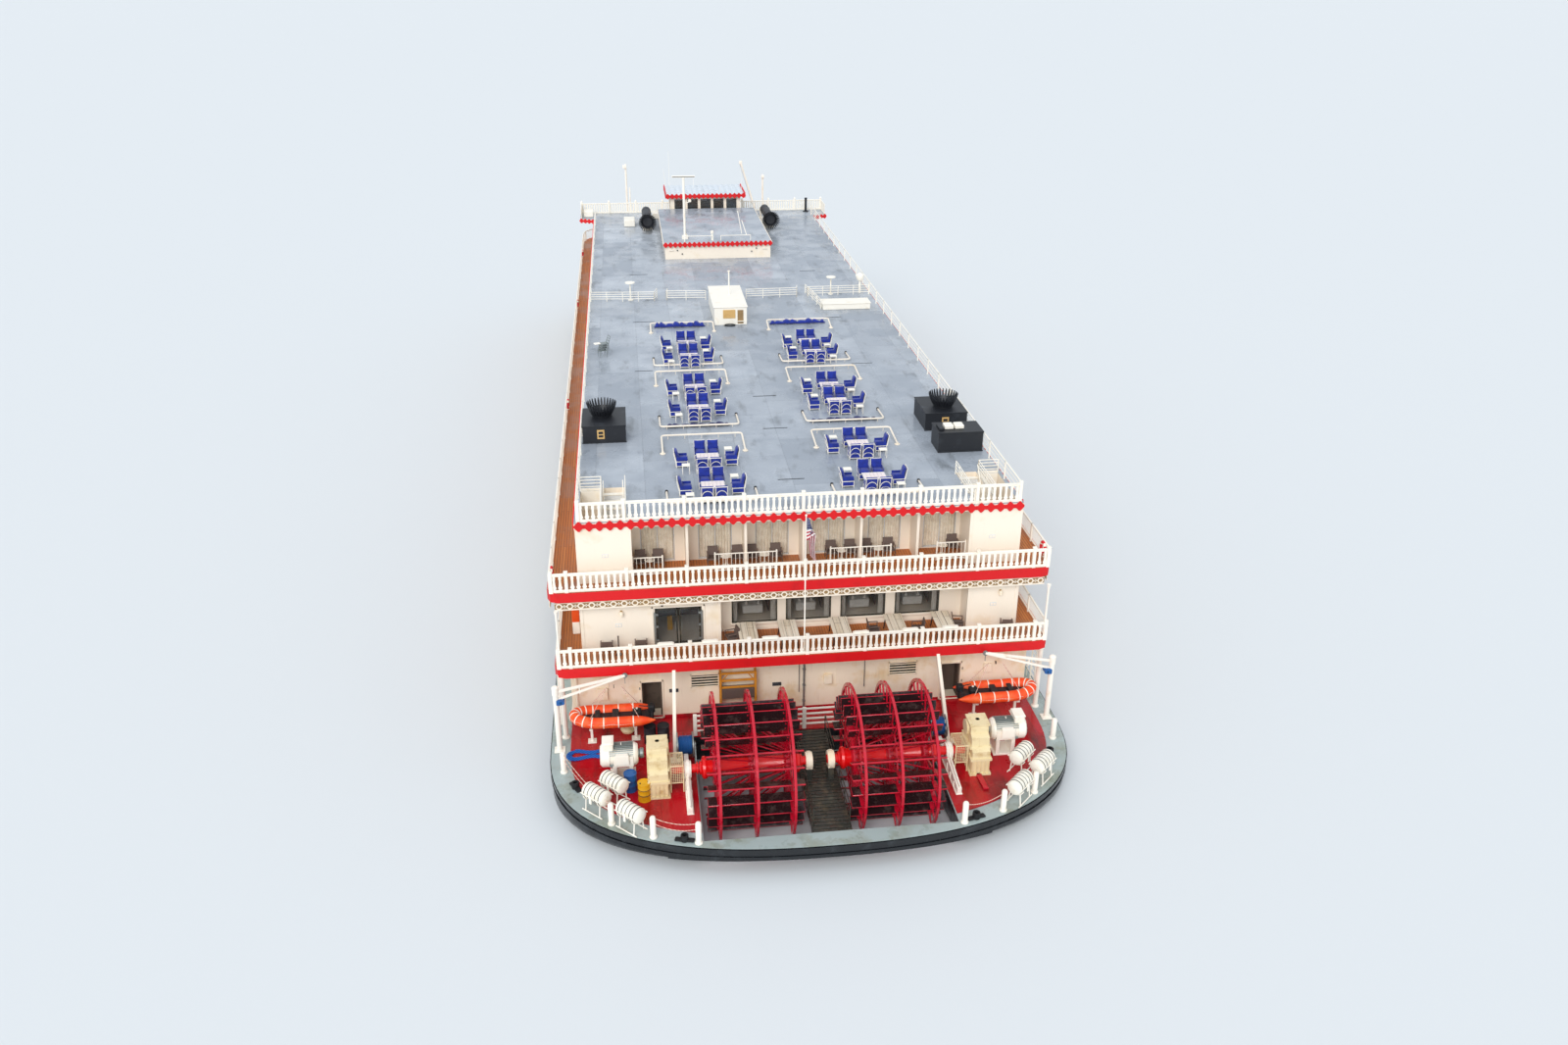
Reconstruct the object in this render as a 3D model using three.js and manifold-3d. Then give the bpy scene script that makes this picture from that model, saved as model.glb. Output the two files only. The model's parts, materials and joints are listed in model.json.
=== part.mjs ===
// Stern-wheel river steamer, a one-to-ten scale model.
//
// Every size below is a metre of the full-size boat: x to starboard, y forward
// along the hull with 0 at the aft edge of the third deck, z up from the flat
// bottom. The outer group turns these metres into millimetres of the model and
// puts the middle of the length at the origin.

import * as THREE from 'three'
import { mergeVertices } from 'three/addons/utils/BufferGeometryUtils.js'
import Module from 'manifold-3d'

const wasm = await Module()
wasm.setup()

// Driving sizes

const MODEL_MM_PER_M = 100
const SEAT = 0.003            // gap between two pieces that lie on each other

const STERN_Y = -9.95
const BOW_Y = 87.05
const HULL_HALF = 12.2
const KEEL_Z = 0
const MAIN_Z = 3.8
const SECOND_Z = 7.7
const THIRD_Z = 11.1
const SUN_Z = 14.18
const FASCIA = 0.38           // depth of the red edge band of the upper decks
const PLATING = 0.06          // thickness of the main deck's covering

const SECOND_DECK = { half: 11.74, aft: -1.05, fore: 79.5 }
const THIRD_DECK = { half: 11.9, aft: 0, fore: 78 }
const SUN_DECK = { half: 10.52, aft: 0.87, fore: 72.4, brow: 69, browHalf: 11.85 }
const MAIN_HOUSE = { half: 11.15, aft: 0.25, fore: 76 }
const HOUSE_HALF = 10.5       // passenger houses of the second and third deck
const WALL = 0.14

const RAIL_HEIGHT = 0.98
const RAIL_THICK = 0.08
const RAIL_INSET = 0.1
const RAIL_BAR = 0.09

const WHEEL_WELL = { half: 5.5, aft: -9, fore: -1.45 }
const WALKWAY_HALF = 0.85
const WHEEL = {
  x: 3.12, y: -5.1, z: 4.7, radius: 3.35, hoopDepth: 0.16, hoopWidth: 0.12, hoopPitch: 1.6,
  boards: 24, hoopSides: 24, boardHalf: 2.1, boardOuter: 2.8, boardInner: 2.2, boardThick: 0.07,
  armWide: 0.12, drum: 0.42, shaft: 0.2,
}
const SHAFT_END = { inner: 0.32, outer: 6.72 }
const RUNNING_GAP = 0.006     // between a shaft and its bearing, all round
const STERN_COLUMN = { x: 11.5, y: -0.75, radius: 0.12 }

// Finishes

const finish = (color, roughness = 0.5, metalness = 0) =>
  new THREE.MeshStandardMaterial({ color, roughness, metalness })

const BLACK_HULL = finish(0x1e2226, 0.45)
const DECK_RED = finish(0xb0101f, 0.55)
const WHEEL_RED = finish(0xb81830, 0.45)
const CREAM = finish(0xf3e6d3, 0.55)
const WHITE = finish(0xf5efe6, 0.4)
const ROOF_GREY = finish(0xa9b4be, 0.6)
const PLANK_BROWN = finish(0xa8683a, 0.6)
const CASING_BLACK = finish(0x22242a, 0.5)
const BOAT_ORANGE = finish(0xf0521e, 0.6)
const GEAR_CREAM = finish(0xebddb0, 0.5)
const GLASS = finish(0x20282e, 0.1)
const STEEL = finish(0x8f979c, 0.4, 0.6)
const ROPE_BLUE = finish(0x2a62b8, 0.8)

// Solids from three.js shapes, joined and cut. Corners are rounded to a fine
// binary grid, an eighth of a millimetre on the full-size boat, so that faces
// meant to lie in one plane do so exactly in 32-bit numbers.

const GRID = 8192
function toSolid(geometry) {
  geometry.deleteAttribute('normal')
  geometry.deleteAttribute('uv')
  const corners = geometry.attributes.position.array
  corners.forEach((value, i) => { corners[i] = Math.round(value * GRID) / GRID })
  const merged = mergeVertices(geometry, 1e-5)
  return new wasm.Manifold(new wasm.Mesh({
    numProp: 3,
    vertProperties: new Float32Array(merged.attributes.position.array),
    triVerts: new Uint32Array(merged.index.array),
  }))
}

function toGeometry(solid) {
  const mesh = solid.getMesh()
  const geometry = new THREE.BufferGeometry()
  geometry.setAttribute('position', new THREE.BufferAttribute(mesh.vertProperties, 3))
  geometry.setIndex(new THREE.BufferAttribute(mesh.triVerts, 1))
  geometry.computeVertexNormals()
  return geometry
}

const fuse = solids => solids.reduce((whole, next) => whole.add(next))
const carve = (solid, tools) => tools.reduce((whole, tool) => whole.subtract(tool), solid)

// A box from its lowest to its highest corner on each axis.
function block(x0, x1, y0, y1, z0, z1) {
  const box = new THREE.BoxGeometry(x1 - x0, y1 - y0, z1 - z0)
  box.translate((x0 + x1) / 2, (y0 + y1) / 2, (z0 + z1) / 2)
  return toSolid(box)
}

function extruded(outline, depth, curveSegments = 8) {
  return new THREE.ExtrudeGeometry(outline, { depth, bevelEnabled: false, curveSegments })
}

// A plan outline in x and y, stood up from z0 to z1.
function plate(outline, z0, z1) {
  return toSolid(extruded(outline, z1 - z0).translate(0, 0, z0))
}

// A side outline in y and z, carried along x.
function sideProfile(outline, x0, x1) {
  const turn = new THREE.Matrix4().makeBasis(
    new THREE.Vector3(0, 1, 0), new THREE.Vector3(0, 0, 1), new THREE.Vector3(1, 0, 0))
  return toSolid(extruded(outline, x1 - x0).applyMatrix4(turn).translate(x0, 0, 0))
}

// A front outline in x and z, carried along y.
function frontProfile(outline, y0, y1) {
  const turn = new THREE.Matrix4().makeBasis(
    new THREE.Vector3(1, 0, 0), new THREE.Vector3(0, 0, 1), new THREE.Vector3(0, -1, 0))
  return toSolid(extruded(outline, y1 - y0).applyMatrix4(turn).translate(0, y1, 0))
}

const polygon = points => new THREE.Shape(points.map(([u, v]) => new THREE.Vector2(u, v)))

// A round bar between two points.
function bar(from, to, radius, sides = 8) {
  const a = new THREE.Vector3(...from)
  const b = new THREE.Vector3(...to)
  const along = b.clone().sub(a)
  const turn = new THREE.Quaternion().setFromUnitVectors(
    new THREE.Vector3(0, 1, 0), along.clone().normalize())
  const rod = new THREE.CylinderGeometry(radius, radius, along.length(), sides)
  rod.applyQuaternion(turn).translate(...a.add(b).multiplyScalar(0.5).toArray())
  return toSolid(rod)
}

// A profile of radius and height turned about z. It starts and ends on the axis.
function turned(profile, sides = 24) {
  const points = profile.map(([r, h]) => new THREE.Vector2(r, h))
  return toSolid(new THREE.LatheGeometry(points, sides).rotateX(Math.PI / 2))
}

const alongX = solid => solid.rotate([0, 90, 0])

// A straight length of rail seen from the side: a toe bar, a top bar and posts,
// with every nth post carried on as a column where columnTop is given. The
// openings between the posts are returned as boxes of low and high corners.
function railPattern(start, end, base, bayLength, column = { every: 0, top: 0 }) {
  const bays = Math.max(1, Math.round((end - start) / bayLength))
  const pitch = (end - start - RAIL_BAR) / bays
  const top = base + RAIL_HEIGHT
  const outline = [[start, base], [end, base]]
  for (let post = bays; post >= 0; post -= 1) {
    const left = start + post * pitch
    const isColumn = column.every > 0 && post % column.every === 0
    const height = isColumn ? column.top : top
    outline.push([left + RAIL_BAR, top], [left + RAIL_BAR, height], [left, height], [left, top])
  }
  const openings = Array.from({ length: bays }, (_, bay) => [
    start + bay * pitch + RAIL_BAR, start + (bay + 1) * pitch, base + RAIL_BAR, top - RAIL_BAR])
  return { outline: polygon(withoutRepeats(outline)), openings }
}

// A rail that runs along the hull, between x0 and x1.
function railAlong({ outline, openings }, x0, x1) {
  return carve(sideProfile(outline, x0, x1), openings.map(([y0, y1, z0, z1]) =>
    block(x0 - 0.1, x1 + 0.1, y0, y1, z0, z1)))
}

// A rail that runs across the hull, between y0 and y1.
function railAcross({ outline, openings }, y0, y1) {
  return carve(frontProfile(outline, y0, y1), openings.map(([x0, x1, z0, z1]) =>
    block(x0, x1, y0 - 0.1, y1 + 0.1, z0, z1)))
}

// An outline without repeated corners and without corners on a straight line.
function withoutRepeats(points) {
  const apart = points.filter((p, i) => {
    const q = points[(i + points.length - 1) % points.length]
    return Math.hypot(p[0] - q[0], p[1] - q[1]) > 1e-6
  })
  return apart.filter((p, i) => {
    const before = apart[(i + apart.length - 1) % apart.length]
    const after = apart[(i + 1) % apart.length]
    const cross = (p[0] - before[0]) * (after[1] - p[1]) - (p[1] - before[1]) * (after[0] - p[0])
    return Math.abs(cross) > 1e-7
  })
}

// The scene graph

const model = new THREE.Group()
model.scale.setScalar(MODEL_MM_PER_M)
model.position.set(0, -MODEL_MM_PER_M * (STERN_Y + BOW_Y) / 2, 0)

function piece(name, solid, material, parent = model) {
  const mesh = new THREE.Mesh(toGeometry(solid), material)
  mesh.name = name
  parent.add(mesh)
  return mesh
}

const SIDES = [['port', -1], ['starboard', 1]]

// Hull

// Plan of the hull: straight sides closed by a power curve at each end,
// (x / half)^n + (t / run)^n = 1, set in by a margin all round.
function hullPlan(margin) {
  const half = HULL_HALF - margin
  const ends = [
    { from: -1.8, tip: STERN_Y + margin, power: 2.5, steps: 9 },
    { from: 71, tip: BOW_Y - margin, power: 2.15, steps: 9 },
  ]
  const quarter = ({ from, tip, power, steps }) => Array.from({ length: steps + 1 }, (_, i) => {
    const turn = (i / steps) * Math.PI / 2
    return [half * Math.cos(turn) ** (2 / power), from + (tip - from) * Math.sin(turn) ** (2 / power)]
  })
  const mirrored = points => points.map(([x, y]) => [-x, y]).reverse()
  const [stern, bow] = ends.map(quarter)
  return polygon(withoutRepeats([
    ...[...stern].reverse(), ...bow, ...mirrored(bow), ...mirrored([...stern].reverse())]))
}

const hullSide = polygon([
  [STERN_Y - 1, 3.2], [STERN_Y, 3.2], [9, KEEL_Z], [72, KEEL_Z], [79, 0.7], [84, 2], [BOW_Y, 3.2],
  [BOW_Y + 1, 3.2], [BOW_Y + 1, MAIN_Z], [STERN_Y - 1, MAIN_Z],
])
const wellTool = (z0, z1) => block(
  -WHEEL_WELL.half, WHEEL_WELL.half, WHEEL_WELL.aft, WHEEL_WELL.fore, z0, z1)

const RUDDER = { x: 8.85, y: -3, stock: 0.12, bottom: 0.3, top: 1.4, fore: 0.55, aft: 1.5, thick: 0.14 }

const BOLLARDS = [   // x, y of the rope posts round the stern
  [11.5, -3.5], [9.35, -7.42], [7.6, -8.5], [5.72, -9.1],
]

function hull() {
  const body = plate(hullPlan(0), KEEL_Z - 1, MAIN_Z + 1)
    .intersect(sideProfile(hullSide, -HULL_HALF - 1, HULL_HALF + 1))
  const stockHoles = SIDES.map(([, side]) => bar(
    [side * RUDDER.x, RUDDER.y, RUDDER.top], [side * RUDDER.x, RUDDER.y, MAIN_Z - 0.3],
    RUDDER.stock + RUNNING_GAP, 16))
  const posts = SIDES.flatMap(([, side]) => BOLLARDS.map(([x, y]) =>
    bar([side * x, y, MAIN_Z - 0.1], [side * x, y, MAIN_Z + 1.1], 0.13, 8)))
  return fuse([carve(body, [wellTool(KEEL_Z - 1, MAIN_Z + 1), ...stockHoles]), ...posts])
}
piece('hull', hull(), BLACK_HULL)

function mainDeck() {
  const cover = plate(hullPlan(0.95), MAIN_Z + SEAT, MAIN_Z + PLATING)
  return carve(cover, [block(-WHEEL_WELL.half - 0.05, WHEEL_WELL.half + 0.05,
    STERN_Y, WHEEL_WELL.fore, MAIN_Z, MAIN_Z + 1)])
}
piece('main_deck', mainDeck(), DECK_RED)

// Walkway between the wheels, with the two inner bearings on it

const BEARING = { inner: 0.5, outer: 5.95, thick: 0.3, half: 0.32, top: WHEEL.z + 0.42 }

function bearingBore(x0, x1) {
  return bar([x0, WHEEL.y, WHEEL.z], [x1, WHEEL.y, WHEEL.z], WHEEL.shaft + RUNNING_GAP, 24)
}

function walkway() {
  const deck = block(-WALKWAY_HALF, WALKWAY_HALF, WHEEL_WELL.aft + SEAT, WHEEL_WELL.fore - SEAT,
    MAIN_Z - 0.35, MAIN_Z)
  const blocks = SIDES.map(([, side]) => carve(
    block(side * BEARING.inner - BEARING.thick / 2, side * BEARING.inner + BEARING.thick / 2,
      WHEEL.y - BEARING.half, WHEEL.y + BEARING.half, MAIN_Z - 0.1, BEARING.top),
    [bearingBore(side * BEARING.inner - 0.2, side * BEARING.inner + 0.2)]))
  return fuse([deck, ...blocks])
}
piece('wheel_walkway', walkway(), STEEL)

// Paddle wheels, each built about its own shaft and set in its well. Every board
// is carried by one arm of each of the three frames, and the arms end in a hoop.

const shaftLine = (x0, x1, radius) => bar([x0, 0, 0], [x1, 0, 0], radius, 24)

function paddleWheel() {
  const { radius, hoopDepth, hoopWidth, hoopPitch, hoopSides, boards } = WHEEL
  const hoopAt = x => {
    const outer = alongX(turned([[0, -hoopWidth / 2], [radius, -hoopWidth / 2], [radius, hoopWidth / 2],
      [0, hoopWidth / 2]], hoopSides))
    const inner = alongX(turned([[0, -hoopWidth], [radius - hoopDepth, -hoopWidth],
      [radius - hoopDepth, hoopWidth], [0, hoopWidth]], hoopSides))
    return outer.subtract(inner).translate([x, 0, 0])
  }
  const armAt = (x, turn) => block(-hoopWidth / 3, hoopWidth / 3, -WHEEL.armWide / 2, WHEEL.armWide / 2,
    0.5, radius - hoopDepth / 2).rotate([turn, 0, 0]).translate([x, 0, 0])
  const hubAt = x => bar([x - 0.09, 0, 0], [x + 0.09, 0, 0], 0.75, 12)
  const frames = [-hoopPitch, 0, hoopPitch].map(x => fuse([hoopAt(x), hubAt(x),
    ...Array.from({ length: boards }, (_, i) => armAt(x, i * 360 / boards))]))
  const board = block(-WHEEL.boardHalf, WHEEL.boardHalf, -WHEEL.boardThick / 2, WHEEL.boardThick / 2,
    WHEEL.boardInner, WHEEL.boardOuter)
  const planks = Array.from({ length: boards }, (_, i) => board.rotate([i * 360 / boards, 0, 0]))
  const drum = bar([-2.25, 0, 0], [2.25, 0, 0], WHEEL.drum, 12)
  return carve(fuse([drum, ...frames, ...planks]), [shaftLine(-2.5, 2.5, WHEEL.shaft + RUNNING_GAP)])
}
for (const [name, side] of SIDES) {
  const ends = [SHAFT_END.inner - WHEEL.x, SHAFT_END.outer - WHEEL.x].map(x => side * x)
  const turning = new THREE.Group()
  turning.position.set(side * WHEEL.x, WHEEL.y, WHEEL.z)
  model.add(turning)
  piece(`paddle_wheel_${name}`, paddleWheel(), WHEEL_RED, turning)
  piece(`paddle_shaft_${name}`, shaftLine(Math.min(...ends), Math.max(...ends), WHEEL.shaft),
    WHEEL_RED, turning)
}

// Outer bearings, gear cases and motors on the side decks

const DECK_TOP = MAIN_Z + PLATING + SEAT
const bearingSide = polygon([
  [-7.3, DECK_TOP], [-3.4, DECK_TOP], [-3.4, 4.35], [WHEEL.y + BEARING.half, 4.5],
  [WHEEL.y + BEARING.half, BEARING.top], [WHEEL.y - BEARING.half, BEARING.top], [-7.3, 4.25],
])
const gearSide = polygon([
  [-6.05, DECK_TOP], [-4.15, DECK_TOP], [-4.15, 5.1], [-4.3, 5.1], [-4.3, 5.65], [-4.5, 5.65],
  [-4.5, 6.2], [-5.45, 6.2], [-5.45, 5.75], [-5.75, 5.75], [-5.75, 5.2], [-6.05, 5.2],
])
const GEAR = { inner: 6.75, outer: 7.75 }
const MOTOR = { inner: 8.1, outer: 9.8, y: -4.15, z: 5.05, radius: 0.56 }

for (const [name, side] of SIDES) {
  const span = (a, b) => [Math.min(side * a, side * b), Math.max(side * a, side * b)]
  const [b0, b1] = span(BEARING.outer - 0.18, BEARING.outer + 0.18)
  piece(`shaft_bearing_${name}`,
    carve(sideProfile(bearingSide, b0, b1), [bearingBore(b0 - 0.1, b1 + 0.1)]), WHITE)
  const [g0, g1] = span(GEAR.inner + SEAT, GEAR.outer)
  piece(`gear_case_${name}`, sideProfile(gearSide, g0, g1), GEAR_CREAM)
  const [m0, m1] = span(MOTOR.inner, MOTOR.outer)
  const [c0, c1] = span(GEAR.outer + SEAT, MOTOR.inner + 0.1)
  piece(`drive_motor_${name}`, fuse([
    bar([m0, MOTOR.y, MOTOR.z], [m1, MOTOR.y, MOTOR.z], MOTOR.radius, 20),
    bar([c0, MOTOR.y, MOTOR.z], [c1, MOTOR.y, MOTOR.z], 0.14, 12),
    block(m0 + 0.2, m1 - 0.2, MOTOR.y - 0.5, MOTOR.y + 0.5, DECK_TOP, MOTOR.z - 0.3),
  ]), WHITE)
}

// Rudders under the raked stern, their stocks in the hull

for (const [name, side] of SIDES) {
  const blade = block(-RUDDER.thick / 2, RUDDER.thick / 2, -RUDDER.aft, RUDDER.fore,
    RUDDER.bottom - RUDDER.top, 0)
  const stock = bar([0, 0, -0.3], [0, 0, MAIN_Z - 0.3 - 0.05 - RUDDER.top], RUDDER.stock, 16)
  const rudder = piece(`rudder_${name}`, blade.add(stock), BLACK_HULL)
  rudder.position.set(side * RUDDER.x, RUDDER.y, RUDDER.top)
}

// Main house on the main deck

const mainHouseTop = SECOND_Z - FASCIA - SEAT
function mainHouse() {
  const { half, aft, fore } = MAIN_HOUSE
  const body = block(-half, half, aft, fore, DECK_TOP, mainHouseTop)
  const doorways = SIDES.map(([, side]) => block(side * 7.35 - 0.48, side * 7.35 + 0.48,
    aft - 1, aft + 0.8, DECK_TOP + 0.1, DECK_TOP + 2.1))
  return carve(body, doorways)
}
piece('main_house', mainHouse(), CREAM)

// Decks with their red edge bands

// The starboard half of a deck's rounded bow, from its straight side to the stem.
const BOW_RUN = 5
function bowCurve({ half, fore }, steps) {
  return Array.from({ length: steps + 1 }, (_, i) => {
    const turn = (i / steps) * Math.PI / 2
    return [half * Math.cos(turn) ** 0.8, fore - BOW_RUN + BOW_RUN * Math.sin(turn) ** 0.8]
  })
}
function deckPlan(deck, corner = 0.5) {
  const { half, aft } = deck
  const bow = bowCurve(deck, 8)
  const stern = [[half - corner, aft], [half - corner * 0.3, aft + corner * 0.3], [half, aft + corner]]
  const right = [...stern, ...bow]
  const left = right.map(([x, y]) => [-x, y]).reverse()
  return polygon(withoutRepeats([...right, ...left]))
}
// The second deck stands on a round column at each quarter of the hull.
piece('second_deck', fuse([plate(deckPlan(SECOND_DECK), SECOND_Z - FASCIA, SECOND_Z),
  ...SIDES.map(([, side]) => bar([side * STERN_COLUMN.x, STERN_COLUMN.y, MAIN_Z + SEAT],
    [side * STERN_COLUMN.x, STERN_COLUMN.y, SECOND_Z - FASCIA / 2], STERN_COLUMN.radius, 12))]), PLANK_BROWN)
piece('third_deck', plate(deckPlan(THIRD_DECK), THIRD_Z - FASCIA, THIRD_Z), PLANK_BROWN)

// Second deck: a hollow saloon aft, cabins forward of it

const SALOON = { fore: 12, recessY: 1.65, leftY: 0.5, leftX: -3.94, rightX: 8, top: THIRD_Z - FASCIA - SEAT }
const SALOON_WINDOWS = [-2.23, 0.41, 3.1, 5.8]    // centres across the recess wall
const WINDOW = { half: 1.1, sill: 0.45, head: 1.65 }
const SALOON_DOOR = { x0: -7.05, x1: -4.85, height: 2.0, leafGap: 0.05, thick: 0.06 }

function saloonPlan(inset) {
  const a = SALOON.leftY + inset
  const b = SALOON.recessY + inset
  return polygon([
    [-HOUSE_HALF + inset, a], [SALOON.leftX - inset, a], [SALOON.leftX - inset, b],
    [SALOON.rightX + inset, b], [SALOON.rightX + inset, a], [HOUSE_HALF - inset, a],
    [HOUSE_HALF - inset, SALOON.fore - inset], [-HOUSE_HALF + inset, SALOON.fore - inset],
  ])
}
function saloon() {
  const floor = SECOND_Z + SEAT
  const windows = SALOON_WINDOWS.map(x => block(x - WINDOW.half, x + WINDOW.half,
    SALOON.recessY - 0.5, SALOON.recessY + 0.5, floor + WINDOW.sill, floor + WINDOW.head))
  const door = block(SALOON_DOOR.x0, SALOON_DOOR.x1, SALOON.leftY - 0.5, SALOON.leftY + 0.5,
    floor + 0.1, floor + 0.1 + SALOON_DOOR.height)
  return carve(plate(saloonPlan(0), floor, SALOON.top),
    [plate(saloonPlan(WALL), floor + 0.1, SALOON.top - 0.1), ...windows, door])
}
piece('saloon', saloon(), CREAM)
piece('saloon_glazing', block(-3.6, 7.2, SALOON.recessY + WALL + SEAT, SALOON.recessY + WALL + 0.06,
  SECOND_Z + 0.1 + 0.02, SECOND_Z + WINDOW.head + 0.15), GLASS)
piece('second_deck_cabins', block(-HOUSE_HALF, HOUSE_HALF, SALOON.fore + SEAT, 75,
  SECOND_Z + SEAT, SALOON.top), CREAM)

// Each glass leaf hangs on a hinge barrel that stands just aft of the wall face.
const HINGE = { radius: 0.055, y: SALOON.leftY - 0.055 - SEAT, strap: 0.12 }
const leafWidth = (SALOON_DOOR.x1 - SALOON_DOOR.x0) / 2 - 1.5 * SALOON_DOOR.leafGap
function saloonDoor(side) {
  const { leafGap, thick, height } = SALOON_DOOR
  const span = (a, b) => [Math.min(side * a, side * b), Math.max(side * a, side * b)]
  const face = SALOON.leftY + 0.01 - HINGE.y
  const leaf = block(...span(leafGap, leafGap + leafWidth), face, face + thick, 0, height - 0.06)
  const barrel = bar([0, 0, 0.1], [0, 0, height - 0.16], HINGE.radius, 12)
  const strap = block(...span(0.02, HINGE.strap), -0.02, face + thick / 2, 0.1, height - 0.16)
  return fuse([leaf, barrel, strap])
}
for (const [name, hinge, side] of [['port', SALOON_DOOR.x0, 1], ['starboard', SALOON_DOOR.x1, -1]]) {
  const door = piece(`saloon_door_${name}`, saloonDoor(side), GLASS)
  door.position.set(hinge, HINGE.y, SECOND_Z + SEAT + 0.1 + 0.03)
}

// Third deck: balcony cabins aft, a solid house forward, two stair pockets

const CABINS = { backY: 2.8, blockY: 0.9, blockX: 8.03, top: SUN_Z - 0.3 - SEAT }
const CABIN_DOORS = [-6.75, -4, -1.25, 1.5, 4.25, 7]
const CABIN_FINS = [-5.4, -2.65, 0.1, 2.85, 5.6]
// A stair climbs forward in each pocket, beside an open well with a side doorway.
const STAIRS = { inner: 8.2, outer: 9.25, aft: 1.1, fore: 4.85, landing: 0.6, steps: 12 }
const STAIR_WELL = { inner: 9.33, outer: 10.3, fore: 4.57 }
const STAIR_DOOR = { aft: 2.2, fore: 3.1, height: 2.05 }

const cabinPlan = polygon([
  [-HOUSE_HALF, CABINS.blockY], [-CABINS.blockX, CABINS.blockY], [-CABINS.blockX, CABINS.backY],
  [CABINS.blockX, CABINS.backY], [CABINS.blockX, CABINS.blockY], [HOUSE_HALF, CABINS.blockY],
  [HOUSE_HALF, 70.5], [-HOUSE_HALF, 70.5],
])
function stairSpace() {
  const rise = (SUN_Z - THIRD_Z) / STAIRS.steps
  const going = (STAIRS.fore - STAIRS.aft - STAIRS.landing) / STAIRS.steps
  const outline = [[STAIRS.aft, SUN_Z + 1], [STAIRS.aft, THIRD_Z + 0.1]]
  for (let i = 1; i <= STAIRS.steps; i += 1) {
    const y = STAIRS.aft + STAIRS.landing + (i - 1) * going
    outline.push([y, THIRD_Z + 0.1 + (i - 1) * rise], [y, THIRD_Z + 0.1 + i * rise])
  }
  outline.push([STAIRS.fore, SUN_Z + 0.1], [STAIRS.fore, SUN_Z + 1])
  return polygon(withoutRepeats(outline))
}
const stairTools = SIDES.flatMap(([, side]) => {
  const span = (a, b) => [Math.min(side * a, side * b), Math.max(side * a, side * b)]
  const floor = THIRD_Z + 0.1
  return [
    sideProfile(stairSpace(), ...span(STAIRS.inner, STAIRS.outer)),
    block(...span(STAIR_WELL.inner, STAIR_WELL.outer), STAIRS.aft, STAIR_WELL.fore, floor, SUN_Z + 1),
    block(...span(STAIRS.outer - 0.1, STAIR_WELL.inner + 0.1), STAIRS.aft, STAIRS.aft + STAIRS.landing,
      floor, SUN_Z + 1),
    block(...span(STAIR_WELL.outer - 0.1, HOUSE_HALF + 0.1), STAIR_DOOR.aft, STAIR_DOOR.fore,
      floor, floor + STAIR_DOOR.height)]
})

function cabins() {
  const body = plate(cabinPlan, THIRD_Z + SEAT, CABINS.top)
  const doorways = CABIN_DOORS.map(x => block(x - 0.81, x + 0.81, CABINS.backY - 0.5, CABINS.backY + 0.12,
    THIRD_Z + 0.06, THIRD_Z + 2.06))
  const fins = CABIN_FINS.map(x => block(x - 0.06, x + 0.06, 1.5, CABINS.backY + 0.1,
    THIRD_Z + SEAT, CABINS.top))
  return fuse([carve(body, [...doorways, ...stairTools]), ...fins])
}
piece('third_deck_cabins', cabins(), CREAM)

// Sun deck with the seating groups that stand on it

const SEAT_GROUPS = [   // x, y of each table
  [-4, 26.8], [-4, 24], [-4, 17.95], [-4, 14.4], [-4, 7.1], [-4, 3.5],
  [3.85, 26.4], [3.85, 24], [3.85, 17.5], [3.85, 14.7], [3.85, 8.1], [3.85, 3.7],
]
const SEATS = [   // x, y from the table's centre, and where the seat faces
  [-0.335, 0.95, 180], [0.335, 0.95, 180], [-0.335, -0.75, 0], [0.335, -0.75, 0],
  [-1.3, 0.15, -90], [1.2, 0.15, 90],
]
const SEAT_HALF = 0.29
const seatSide = polygon([[-0.3, 0], [0.3, 0], [0.3, 0.42], [-0.14, 0.42], [-0.26, 0.85], [-0.36, 0.85]])
const TABLE = { halfX: 0.55, halfY: 0.41, low: 0.45, high: 0.5, leg: 0.1 }

function seatingGroup([x, y]) {
  const seat = sideProfile(seatSide, -SEAT_HALF, SEAT_HALF)
  const seats = SEATS.map(([dx, dy, turn]) =>
    seat.rotate([0, 0, turn]).translate([x + dx, y + dy, SUN_Z - 0.02]))
  const { halfX, halfY, low, high, leg } = TABLE
  const table = [block(x - halfX, x + halfX, y - halfY, y + halfY, SUN_Z + low, SUN_Z + high),
    block(x - leg, x + leg, y - leg, y + leg, SUN_Z - 0.02, SUN_Z + low + 0.02)]
  return [...seats, ...table]
}
const sunPlan = polygon([
  [-SUN_DECK.half, SUN_DECK.aft], [SUN_DECK.half, SUN_DECK.aft], [SUN_DECK.half, SUN_DECK.brow],
  [SUN_DECK.browHalf, SUN_DECK.brow + 0.6], [SUN_DECK.browHalf, SUN_DECK.fore],
  [-SUN_DECK.browHalf, SUN_DECK.fore], [-SUN_DECK.browHalf, SUN_DECK.brow + 0.6],
  [-SUN_DECK.half, SUN_DECK.brow],
])
piece('sun_deck', fuse([carve(plate(sunPlan, SUN_Z - 0.3, SUN_Z), stairTools),
  ...SEAT_GROUPS.flatMap(seatingGroup)]), ROOF_GREY)

// Rails round each upper deck: two long sides joined by the length across the stern

const RAIL_BAY = 2.75
const SIDE_BAY = 5.5
function sideRails(deck, base, fore, column) {
  const pattern = railPattern(deck.aft + RAIL_INSET, fore, base, SIDE_BAY, column)
  const outer = deck.half - RAIL_INSET
  const inner = outer - RAIL_THICK
  return [railAlong(pattern, -outer, -inner), railAlong(pattern, inner, outer)]
}
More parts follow.
